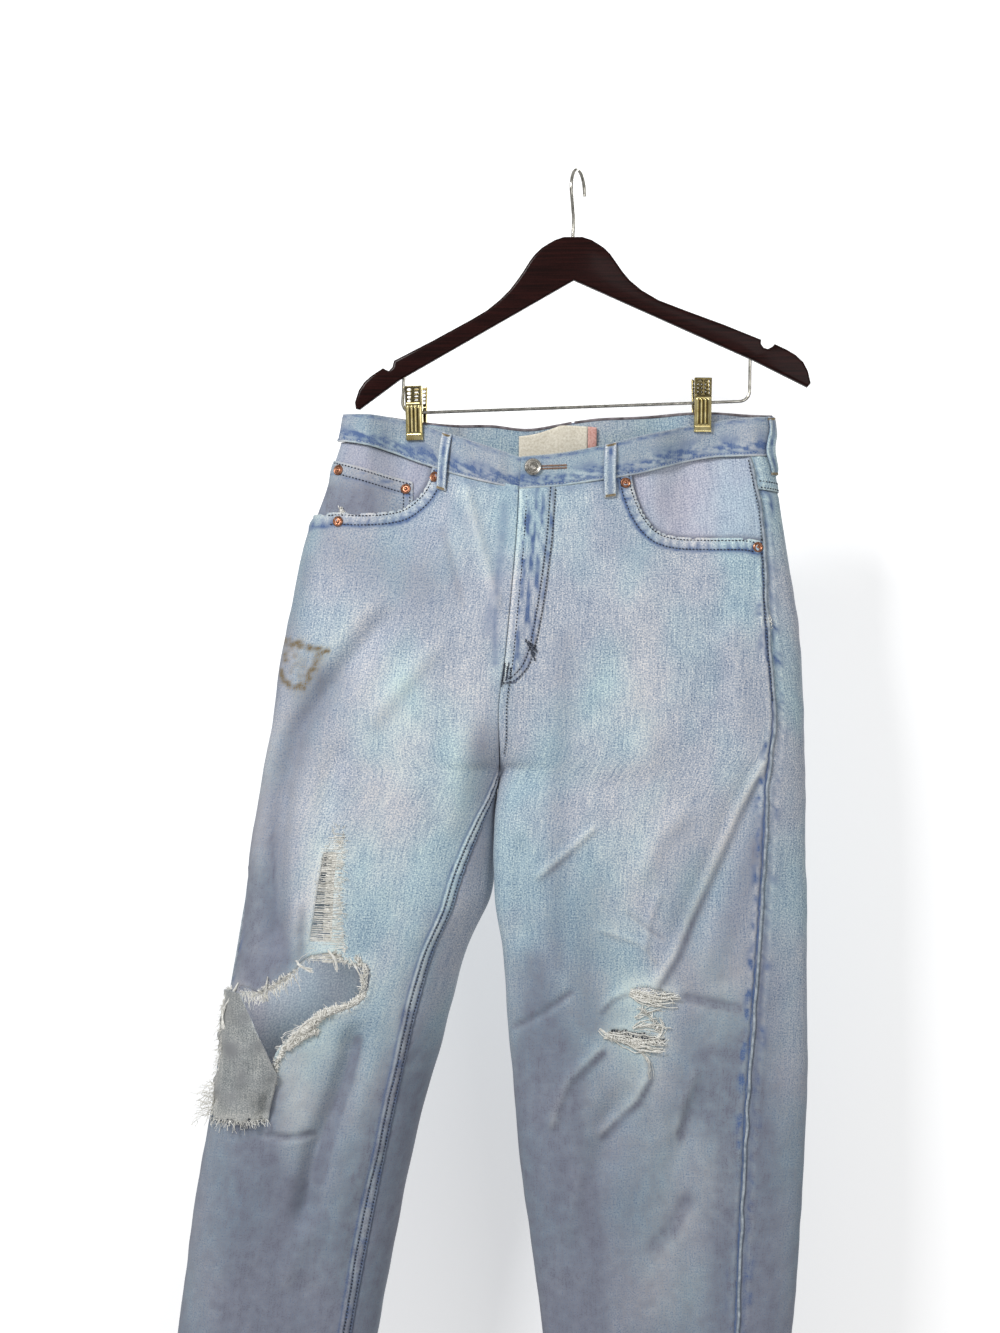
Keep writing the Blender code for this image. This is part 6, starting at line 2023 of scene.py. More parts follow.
@dataclass
class Hems:
    """The turned hem of each leg, one closed ring, roped by washing."""

    kit: Kit
    rows: int = 9
    columns: int = 96
    height: float = 0.9
    rope_pitch: float = 11.0
    wall: float = 1.8

    def build(self) -> None:
        """Builds the hems."""
        top = HEM_LEVEL + HEM_DEPTH - 0.15
        levels = np.linspace(top, HEM_LEVEL, self.rows)[:, None]
        for half in Half:
            patches = [Patch(self.kit.form(half, face), np.linspace(0, 1, self.columns)[None, :], levels)
                       for face in Face]
            points = np.concatenate([patches[0].points, patches[1].points[:, 1:]], 1)
            normals = np.concatenate([patches[0].normals, patches[1].normals[:, 1:]], 1)
            points[:, -1], normals[:, -1] = points[:, 0], normals[:, 0]
            along = lengths_to(points[0])[None, :]
            up = levels - HEM_LEVEL
            turns = round(along[0, -1] / self.rope_pitch)
            rope = np.sin((along + 0.9 * up) * math.tau * turns / along[0, -1])
            height = self.height * smooth((top - levels + 1) / 2) * smooth((up + 0.8) / 1.8)
            height = height + 0.35 * rope * bell(up, 3, 4) - 0.45 * bell(up, 11, 0.9)
            points = points + normals * height[..., None]
            wash = np.zeros((*points.shape[:2], 4))
            worn = 0.9 * bell(up, 0, 1.6) + 0.4 * smooth(rope) * bell(up, 4, 4)
            wash[..., Tint.INDIGO.value] = 0.5 * bell(up, 6, 4) * smooth(-rope)
            wash[..., Tint.PALE.value] = np.clip(worn, 0, 1)
            piece = cloth_piece(f"hem_ring_{half.value}", points, spread_uv(along, levels), self.kit.denim,
                                wash, outward=normals, wall=self.wall, ring=True)
            dress(piece, "denim", f"hem_{half.value}")

    def sew(self, rows: Stitching) -> None:
        """Sews the hems."""
        shares = np.linspace(0, 1, 140)
        for half in Half:
            for face in Face:
                rows.on_form(self.kit.form(half, face), shares, np.full(140, HEM_LEVEL + 11.0), 0.75)


@dataclass
class Label:
    """A bare woven label sewn inside the back of the band, with a narrow reddish end."""

    kit: Kit
    depth: float = 3.4  # in front of the band's back
    tops: tuple[tuple[float, float], ...] = ((-50, 0.22), (-30, 0.16), (-9, 0.07), (17.5, 0.2), (26.5, 0.25))
    bottom: float = 0.86
    parts: tuple[tuple[str, str, float, float], ...] = (("label_cloth", "label", -50.0, 17.5),
                                                        ("label_end", "label_red", 17.8, 26.5))

    def build(self) -> None:
        """Builds the label and its end."""
        for node, slot, start, end in self.parts:
            columns = max(6, int((end - start) / 2.0))
            xs, downs = np.linspace(start, end, columns), np.linspace(0, 1, 14)
            points = np.zeros((14, columns, 3))
            for j, x in enumerate(xs):
                form = self.kit.form(Half.RIGHT if x < 2 else Half.LEFT, Face.BACK)
                top = float(np.interp(x, *np.array(self.tops).T))
                for i, down in enumerate(downs):
                    share = top + (self.bottom - top) * down
                    level = BAND_TOP_LEVEL + (WAIST_LEVEL - BAND_TOP_LEVEL) * share
                    row = form.sample(form.points, np.linspace(0, 1, 160), level)
                    row = row[np.argsort(row[:, 0])]
                    points[i, j] = (x, np.interp(x, row[:, 0], row[:, 1]) - self.depth,
                                    np.interp(x, row[:, 0], row[:, 2]))
            ripple = waves(points[..., 0], points[..., 2], 26, SEED + 61)
            points[..., 1] -= 0.8 + 0.8 * ripple
            uv = (points[..., (0, 2)]) * MM
            finish = self.kit.finishes.label if slot == "label" else self.kit.finishes.label_end
            outward = np.broadcast_to(TO_VIEWER, points.shape)
            piece = cloth_piece(f"{node}_sheet", points, uv, [finish, finish], outward=outward, wall=0.7)
            dress(piece, slot, node)


@dataclass
class Fraying:
    """Loose weft threads at the tears. Each method adds threads, and build joins them as one piece."""

    kit: Kit
    name: str
    half: Half
    seed: int
    routes: list[Array] = field(default_factory=list)
    radii: list[float] = field(default_factory=list)

    def __post_init__(self) -> None:
        """Takes the form and seeds the threads' randomness."""
        self.form = self.kit.form(self.half, Face.FRONT)
        self.rng = np.random.default_rng(SEED + self.seed)

    def surface(self, x: Array, z: Array) -> tuple[Array, Array]:
        """Points and normals of the front at x and z."""
        return self.form.raised(*self.form.locate(x, z))

    def curl(self, count: int, size: float) -> Array:
        """A small random wander that grows along a thread."""
        wander = np.cumsum(self.rng.normal(0, 1, (count, 3)), axis=0)
        return (wander - wander[0]) * size / math.sqrt(count)

    def fringe(self, line: Line, spacing: float, length: tuple[float, float], heading: tuple[float, float],
               spread: float = 0.5, rise: float = 2.0, radius: float = 0.27) -> None:
        """Threads that stand out from a torn edge.

        Args:
            line: the edge, (x, z).
            spacing: distance between threads.
            length: their least and greatest length.
            heading: which way they point, (x, z).
            spread: how far they turn from it, in radians.
            rise: how far their ends stand out from the cloth.
            radius: their radius.
        """
        edge = resampled(line, spacing)
        spots, ups = self.surface(edge[:, 0], edge[:, 1])
        for spot, up in zip(spots, ups):
            turn = math.atan2(heading[1], heading[0]) + self.rng.normal(0, spread)
            reach = self.rng.uniform(*length) * self.rng.uniform(0.5, 1.0)
            t = np.linspace(0, 1, 6)[:, None]
            out = np.array([math.cos(turn), 0, math.sin(turn)]) * reach * t
            lift = up * (rise * self.rng.uniform(-0.2, 1.0) * t ** 1.5 - 0.4)
            sag = np.array([0, 0, -0.12 * reach]) * t ** 2
            self.routes.append(spot + out + lift + sag + self.curl(6, 0.12 * reach))
            self.radii.append(radius * self.rng.uniform(0.7, 1.3))

    def bundle(self, line: Line, count: int, spread: float, radius: float = 0.42, rise: float = 1.2,
               stray: float = 0.4) -> None:
        """Threads that lie side by side along a line, as the weft does where the warp has worn away.

        Args:
            line: the middle of the bundle, (x, z).
            count: how many threads.
            spread: the bundle's half width.
            radius: a thread's radius.
            rise: how thick the bundle stands on the cloth.
            stray: how far a thread wanders.
        """
        middle = through(line, 5.0)
        along = unit(np.gradient(middle, axis=0), 0.0)
        across = np.column_stack([-along[:, 1], along[:, 0]])
        for _ in range(count):
            start, stop = sorted(self.rng.integers(0, len(middle), 2))
            if stop - start < 4:
                start, stop = 0, len(middle)
            side = self.rng.uniform(-1, 1)
            part = middle[start:stop] + across[start:stop] * side * spread
            part = part + self.curl(len(part), stray)[:, :2]
            spots, ups = self.surface(part[:, 0], part[:, 1])
            crown = rise * math.sqrt(max(0.0, 1 - side * side)) * self.rng.uniform(0.2, 1.0)
            self.routes.append(spots + ups * (0.3 + crown) + self.curl(len(part), stray * 0.5))
            self.radii.append(radius * self.rng.uniform(0.6, 1.25))

    def tufts(self, line: Line, spacing: float, size: tuple[float, float], count: int) -> None:
        """Clumps of short curled threads along a torn edge.

        Args:
            line: the edge, (x, z).
            spacing: distance between clumps.
            size: a clump's least and greatest reach.
            count: threads in a clump.
        """
        edge = resampled(line, spacing)
        spots, ups = self.surface(edge[:, 0], edge[:, 1])
        for spot, up in zip(spots, ups):
            reach = self.rng.uniform(*size)
            for _ in range(count):
                turn, bend = self.rng.uniform(0, math.tau), self.rng.uniform(-1.6, 1.6)
                t = np.linspace(0, 1, 7)
                angle = turn + bend * t
                way = np.cumsum(np.stack([np.cos(angle), 0 * t, np.sin(angle)], -1), axis=0) * reach / 7
                lift = up * (0.4 + reach * self.rng.uniform(0.1, 0.55) * np.sin(np.pi * t)[:, None])
                self.routes.append(spot + self.rng.normal(0, 0.9, 3) * (1, 0.3, 1) + way - way[3] + lift)
                self.radii.append(self.rng.uniform(0.25, 0.5))

    def ladder(self, left: Line, right: Line, spacing: float, kept: float, sag: float = 1.0) -> None:
        """Weft threads that still cross a strip whose warp has worn away.

        Args:
            left: the strip's left edge from the top, (x, z).
            right: its right edge.
            spacing: distance between threads.
            kept: the share of the threads that still cross the whole strip.
            sag: how far they droop.
        """
        starts, ends = (resampled(edge, spacing) for edge in (left, right))
        for start, end in zip(starts, ends):
            whole = self.rng.random() < kept
            first = 0.0 if whole else self.rng.uniform(0.25, 0.7)
            t = np.linspace(first, 1, 7)[:, None]
            flat = start + (end - start) * t + self.rng.normal(0, 0.35, 2)
            flat[:, 1] -= sag * self.rng.uniform(0.1, 1.3) * np.sin(np.pi * t[:, 0])
            spots, ups = self.surface(flat[:, 0], flat[:, 1])
            self.routes.append(spots + ups * self.rng.uniform(-0.9, 0.4) + self.curl(7, 0.5))
            self.radii.append(self.rng.uniform(0.28, 0.5))

    def hang(self, points: Sequence[Spot], radius: float, frays: int = 0) -> None:
        """One thread through points (x, z, rise from the cloth), with others that stray beside it."""
        route = through(points, 2.5)
        spots, ups = self.surface(route[:, 0], route[:, 1])
        spots = spots + ups * route[:, 2:]
        for index in range(frays + 1):
            self.routes.append(spots + (self.curl(len(spots), 1.6) if index else 0.0))
            self.radii.append(radius * (0.5 if index else 1.0))

    def build(self) -> Piece:
        """Joins the threads."""
        piece = strands(self.name, self.routes, self.radii, self.kit.finishes.fray)
        return dress(piece, "denim_inside")


@dataclass
class TornFlap:
    """The tongue of torn cloth at the right knee: folded out over the leg, its lower edge free."""

    kit: Kit
    size: tuple[int, int] = (52, 36)
    clear: float = 3.4
    wall: float = 1.2
    fold_share: float = 0.68  # how far down the fold ends
    tuft_share: float = 0.75  # how far down the free edge turns under its tuft
    leg_edge: float = -356.0  # x of the leg's outline: beyond it the flap goes straight on

    def bent(self, points: Sequence[Array], share: float, v: Array) -> Array:
        """Points at v down an edge that runs from the first point to the last, and bends at the second."""
        top, bend, foot = points
        upper, lower = (v / share)[..., None], ((v - share) / (1 - share))[..., None]
        return np.where(upper < 1, top + (bend - top) * upper, bend + (foot - bend) * lower)

    def surface(self, u: Array, v: Array) -> Array:
        """Points of the flap: u from its free left edge to its fold, v from top to foot."""
        top, fold_foot, foot, foot_out, tuft, shoulder = (np.array(p, float) for p in TORN_FLAP)
        u, v = np.broadcast_arrays(np.asarray(u, float), np.asarray(v, float))
        right = self.bent((top, fold_foot, foot), self.fold_share, v)
        left = self.bent((shoulder, tuft, foot_out), self.tuft_share, v)
        flat = left + (right - left) * u[..., None]
        form = self.kit.form(Half.RIGHT, Face.FRONT)
        share, level = form.locate(np.maximum(flat[..., 0], self.leg_edge), flat[..., 1])
        y = form.sample(form.points, share, level)[..., 1]
        lift = self.clear + 3.0 * (1 - u * v) + 4.0 * np.sin(np.pi * u) + 6.0 * u * (1 - v)
        lift = lift + 2.2 * waves(flat[..., 0] * 1.3, flat[..., 1] * 0.8, 24, SEED + 71)
        lift = lift + 0.5 * waves(flat[..., 0], flat[..., 1], 9, SEED + 76)
        return np.stack([flat[..., 0], y - lift, flat[..., 1]], -1)

    def build(self) -> Piece:
        """Builds the flap."""
        u, v = unit_grid(*self.size)
        points = self.surface(u, v)
        ragged = 2.8 * waves(points[..., 0] * 1.4, points[..., 2], 11, SEED + 72)
        points[..., 2] += ragged * smooth((v - 0.9) / 0.1)
        points[..., 0] += 3.0 * waves(points[..., 2], points[..., 0], 14, SEED + 73) * smooth((0.2 - u) / 0.2)
        wash = np.zeros((*self.size, 4))
        worn = 0.9 * np.maximum(bell(u, 0, 0.1), bell(v, 1, 0.06)) + 0.5 * bell(u, 1, 0.05)
        wash[..., Tint.PALE.value] = np.clip(worn, 0, 1)
        shade = 0.5 + 0.5 * waves(points[..., 0], points[..., 2], 30, SEED + 75)
        wash[..., Tint.SHADE.value] = np.clip(shade, 0, 1)
        uv = points[..., (0, 2)] * MM
        outward = np.broadcast_to(TO_VIEWER, points.shape)
        piece = cloth_piece("torn_flap_sheet", points, uv, [self.kit.finishes.flap, self.kit.finishes.denim],
                            wash, outward=outward, wall=self.wall)
        dress(piece, "denim_inside", "torn_flap")
        return piece

    def fringes(self) -> Piece:
        """Threads at the flap's free edges."""
        rng = np.random.default_rng(SEED + 74)
        routes, radii = [], []
        for u, v, heading, length in ([(s, 1.0, (0.1, -1.0), 7.0) for s in np.linspace(0, 1, 80)]
                                      + [(0.0, s, (-1.0, -0.35), 3.5) for s in np.linspace(0.12, 0.7, 50)]
                                      + [(0.03, s, (-1.0, -0.05), 17.0) for s in np.linspace(0.72, 0.98, 60)]
                                      + [(0.08, s, (-0.5, -0.9), 9.0) for s in np.linspace(0.2, 0.6, 30)]):
            start = self.surface(np.array(u), np.array(v))
            turn = math.atan2(heading[1], heading[0]) + rng.normal(0, 0.5)
            reach = length * rng.uniform(0.3, 1.2)
            t = np.linspace(0, 1, 6)[:, None]
            out = np.array([math.cos(turn), -0.25 * rng.random(), math.sin(turn)]) * reach * t
            sag = np.array([0, 0, -0.25 * reach]) * t ** 2
            wander = np.cumsum(rng.normal(0, 0.11 * reach, (6, 3)), axis=0)
            routes.append(start + out + sag + wander - wander[0])
            radii.append(0.3 * rng.uniform(0.7, 1.3))
        piece = strands("torn_flap_fringe", routes, radii, self.kit.finishes.fray)
        return dress(piece, "denim_inside")


def fray_right_knee(kit: Kit) -> None:
    """The frayed edges of the right knee's hole, with the ladder of threads above it."""
    ladder = Fraying(kit, "ladder_threads", Half.RIGHT, 81)
    ladder.ladder(((-241, -660), (-247, -700), (-252, -735), (-253, -772)),
                  ((-224, -660), (-226, -700), (-226, -735), (-222, -768)), 0.95, 0.85)
    ladder.ladder(((-234, -650), (-237, -700), (-239, -735), (-240, -772)),
                  ((-221, -650), (-223, -700), (-223, -735), (-218, -770)), 0.62, 0.9, 0.5)
    ladder.ladder(((-229, -645), (-232, -700), (-232, -740), (-232, -772)),
                  ((-219, -645), (-221, -700), (-221, -735), (-216, -770)), 0.7, 0.95, 0.3)
    ladder.fringe(((-221, -642), (-225, -700), (-224, -735), (-219, -768)), 0.7, (3, 10), (1.0, -0.1),
                  0.7, 2.5)
    ladder.fringe(((-226, -640), (-236, -664), (-246, -700), (-252, -745)), 1.5, (2, 7), (-1.0, 0.1),
                  0.8, 1.5)
    ladder.fringe(((-232, -646), (-222, -642)), 0.7, (3, 9), (0.3, 1.0), 0.6, 1.5)
    ladder.build()

    hole = Fraying(kit, "knee_hole_threads", Half.RIGHT, 82)
    upper = ((-321, -800), (-300, -799), (-284, -790), (-267, -778), (-254, -765), (-228, -761), (-215, -771),
             (-199, -773))
    lower = ((-199, -801), (-214, -812), (-232, -817), (-248, -826), (-262, -838), (-276, -850), (-284, -868),
             (-286, -884))
    hole.fringe(upper, 1.5, (3, 9), (0.05, -1.0), 0.6, 1.5)
    hole.fringe(upper[:4], 0.8, (6, 17), (0.1, -1.0), 0.5, 2.5)
    hole.fringe(upper[:4], 1.9, (8, 19), (0.15, -1.0), 0.4, 3.0, 0.48)
    hole.fringe(upper, 1.8, (2, 6), (0.0, 1.0), 0.6, 1.6)
    hole.bundle(upper, 4, 0.8, 0.32, 0.6, 1.4)
    hole.tufts(upper[1:4], 6.0, (4, 9), 7)
    hole.tufts(upper[5:], 5.0, (3, 7), 6)
    hole.tufts(((-245, -836), (-258, -842), (-272, -852)), 1.6, (4, 10), 10)
    hole.bundle(lower, 14, 1.4, 0.36, 1.6, 2.0)
    hole.bundle(lower[:3], 10, 2.8, 0.38, 2.8, 2.6)
    hole.bundle(lower[3:6], 20, 4.6, 0.4, 4.0, 3.2)
    hole.tufts(lower, 2.0, (3, 7), 9)
    hole.tufts(((-226, -815), (-240, -820), (-252, -832), (-260, -838)), 1.6, (5, 12), 12)
    hole.tufts(((-207, -765), (-199, -776), (-201, -796)), 2.2, (4, 10), 5)
    hole.tufts(((-330, -800), (-336, -812), (-340, -824)), 1.6, (5, 12), 10)
    hole.fringe(lower, 0.55, (3, 11), (-0.4, 1.0), 0.8, 3.0)
    hole.fringe(lower, 0.7, (3, 9), (0.6, -1.0), 0.8, 3.0)
    hole.hang(((-292, -784, 2), (-293, -795, 4), (-296, -806, 4)), 0.7, 4)
    hole.hang(((-321, -792, 2), (-328, -808, 4), (-334, -822, 5), (-333, -838, 5)), 0.8, 3)
    hole.hang(((-265, -768, 1), (-260, -774, 3), (-250, -778, 2)), 1.2, 6)
    hole.hang(((-235, -758, 1), (-228, -766, 3), (-225, -777, 2)), 0.9, 4)
    hole.hang(((-214, -766, 1), (-205, -780, 3), (-199, -794, 1)), 0.6, 3)
    hole.hang(((-209, -768, 1), (-197, -777, 3), (-201, -796, 1)), 0.5, 2)
    hole.build()


def fray_left_knee(kit: Kit) -> None:
    """The two slits at the left knee, with thick bundles of weft below each."""
    slits = Fraying(kit, "knee_slit_threads", Half.LEFT, 83)
    slits.bundle(((57, -801), (70, -805), (86, -808), (103, -806)), 15, 4.4, 0.8, 2.6, 2.6)
    slits.bundle(((58, -803), (72, -810), (90, -812)), 6, 1.6, 0.7, 3.0, 3.0)
    slits.bundle(((32, -843), (50, -846), (70, -851), (91, -852)), 16, 4.4, 0.8, 2.6, 2.6)
    slits.bundle(((27, -837), (40, -845), (60, -853), (84, -860)), 6, 1.8, 0.7, 3.0, 3.0)
    slits.bundle(((62, -826), (74, -820), (88, -818)), 6, 1.6, 0.6, 1.6, 2.4)
    slits.bundle(((60, -836), (72, -832), (90, -836)), 7, 2.2, 0.65, 2.2, 2.6)
    slits.bundle(((84, -846), (90, -838), (86, -828)), 5, 1.6, 0.6, 1.6, 1.8)
    slits.bundle(((66, -856), (74, -866), (76, -882)), 7, 1.4, 0.35, 1.0, 1.6)
    slits.tufts(((60, -802), (80, -807), (100, -806)), 4.0, (4, 10), 4)
    slits.tufts(((36, -844), (60, -849), (90, -850)), 4.0, (4, 10), 4)
    slits.tufts(((68, -816), (80, -826), (84, -838)), 3.0, (4, 9), 4)
    for line in (((57, -800), (72, -797), (90, -801), (102, -804)),
                 ((32, -841), (50, -839), (74, -843), (92, -849))):
        slits.fringe(line, 0.7, (2, 8), (0.1, -1.0), 0.8, 2.2)
        slits.fringe(line, 1.2, (2, 7), (0.0, 1.0), 0.8, 1.8)
    slits.build()


def fray_small(kit: Kit) -> None:
    """A worn spot on the left outseam and a chafed end on the right pocket's hem."""
    for name, half, seed, line in (("outseam_worn_spot", Half.LEFT, 84, ((194.5, -437), (195.5, -447))),
                                   ("pocket_worn_spot", Half.RIGHT, 85, ((-224, -330), (-221, -335)))):
        spot = Fraying(kit, name, half, seed)
        spot.tufts(line, 2.2, (1.5, 4), 6)
        spot.fringe(line, 1.2, (2, 4), (0.3, -1.0), 1.2, 1.5)
        spot.build()


@dataclass
class Trims:
    """Copper rivets at the pocket corners, and the waist button with its buttonhole."""

    kit: Kit

    def seat(self, half: Half, x: float, z: float, out: float) -> tuple[Array, Array]:
        """Where a disc lies on a front: the point and the normal."""
        form = self.kit.form(half, Face.FRONT)
        return form.raised(*form.locate(np.array(x), np.array(z)), out)

    def build(self) -> None:
        """Builds the rivets and the button."""
        for node, (half, x, z) in RIVETS.items():
            at, up = self.seat(half, x, z, -1.0 if "coin" in node else 1.1)
            piece = turned(f"{node}_cap", RIVET_PROFILE, self.kit.finishes.copper, at, up)
            dress(piece, "copper", node)
        at, up = self.seat(Half.LEFT, *BUTTON, 1.5)
        button = turned("waist_button", BUTTON_PROFILE, self.kit.finishes.nickel, at, up, 40)
        dress(button, "nickel", "button")

    def buttonhole(self) -> Piece:
        """Builds the close stitches round the buttonhole."""
        rows = Stitching("buttonhole_stitches", self.kit.finishes.orange_thread, 0.9, 2.4, 0.7, 0.6)
        x, z = BUTTON
        form = self.kit.form(Half.LEFT, Face.FRONT)
        for side in (-1.3, 1.3):
            rows.in_view(form, ((x + 6, z + side - 0.4), (x + 33, z + side + 0.8)), 1.6, 1.0)
        rows.directions = [np.cross(up, direction) for up, direction in zip(rows.ups, rows.directions)]
        return dress(rows.build(), "copper")


def tilted(x: Array, z: Array, y: Array | float = 0.0) -> Array:
    """Where points of the upright hanger, (x, z) from the foot of the hook, are once it hangs tilted."""
    x, z = np.asarray(x, float), np.asarray(z, float)
    cos, sin = math.cos(HANGER_TILT), math.sin(HANGER_TILT)
    return np.stack([x * cos - z * sin + HOOK_FOOT[0], np.broadcast_to(y, x.shape),
                     x * sin + z * cos + HOOK_FOOT[1]], -1)


@dataclass
class Hanger:
    """The wooden shoulders, the wire hook and the trouser bar."""

    kit: Kit
    thick: float = 12.0
    edge: float = 2.6
    hook_wire: float = 3.4
    bar_wire: float = 3.2
    bend: float = 10.0

    def wood(self) -> Piece:
        """Builds the shoulders: one board with rounded edges."""
        outline = [*ARMS["left"], ARM_MIDDLE, *ARMS["right"][::-1]]
        bm = bmesh.new()
        spots = place(tilted([p[0] for p in outline], [p[1] for p in outline], -self.thick / 2))
        face = bm.faces.new([bm.verts.new(spot) for spot in spots])
        grown = bmesh.ops.extrude_face_region(bm, geom=[face])
        verts = [item for item in grown["geom"] if isinstance(item, bmesh.types.BMVert)]
        bmesh.ops.translate(bm, verts=verts, vec=(0, self.thick * MM, 0))
        bmesh.ops.recalc_face_normals(bm, faces=bm.faces)
        rim = [e for e in bm.edges if abs(e.verts[0].co.y - e.verts[1].co.y) < 1e-6]
        bmesh.ops.bevel(bm, geom=rim, offset=self.edge * MM, offset_type="OFFSET", affect="EDGES", segments=4,
                        profile=0.5, material=-1, clamp_overlap=True)
        bmesh.ops.triangulate(bm, faces=[f for f in bm.faces if len(f.verts) > 4])
        name = "hanger_shoulders"
        piece = finish_mesh(name, as_mesh(name, bm), [self.kit.finishes.wood], 40.0)
        return dress(piece, "wood", "hanger_wood")

    def hook(self) -> Piece:
        """Builds the hook: over the rail in more than a half turn, then down into the wood."""
        radius = HOOK_RADIUS + HOOK_WIRE / 2
        turns = np.radians(np.linspace(-5, 205, 40))
        u, z = radius * np.cos(turns), -HOOK_RADIUS + radius * np.sin(turns)
        loop = np.stack([LOOP_X + u * math.sin(HOOK_TURN), u * math.cos(HOOK_TURN), z], -1)
        neck = np.array([(LOOP_X + x, y, z) for x, y, z in HOOK_NECK])
        route = resampled(np.vstack([loop[:-1], through(np.vstack([loop[-1], neck]), 2.0)]), 1.6)
        piece = strands("hanger_hook_wire", [route], [self.hook_wire / 2], self.kit.finishes.steel, 16)
        return dress(piece, "steel", "hanger_hook")

    def arc(self, x: float, z: float, start: float, end: float) -> list[Spot]:
        """Points of one of the bar's bends."""
        turns = np.radians(np.linspace(start, end, 12))
        return [(x + self.bend * math.cos(t), 0.0, z + self.bend * math.sin(t)) for t in turns]

    def bar(self) -> Piece:
        """Builds the trouser bar: up into each shoulder, and across."""
        rise = 3.0  # how far the wire runs into the wood
        top_left = under_arm("right", BAR_TOP_LEFT) + rise
        top_right = under_arm("left", BAR_TOP_RIGHT) + rise
        route = [(BAR_TOP_LEFT, 0.0, top_left)]
        route += self.arc(BAR_LEFT[0] + self.bend, BAR_LEFT[1] + self.bend, 180, 270)
        route += self.arc(BAR_RIGHT[0] - self.bend, BAR_RIGHT[1] + self.bend, 270, 360)
        route.append((BAR_TOP_RIGHT, 0.0, top_right))
        piece = strands("trouser_bar", [resampled(route, 3.0)], [self.bar_wire / 2],
                        self.kit.finishes.steel, 14)
        return dress(piece, "steel", "hanger_bar")


def under_arm(arm: str, x: float) -> float:
    """Height of an arm's lower edge at x."""
    middle, outer = (tilted(*point) for point in (ARM_MIDDLE, ARMS[arm][-1]))
    return float(middle[2] + (outer[2] - middle[2]) * (x - middle[0]) / (outer[0] - middle[0]))


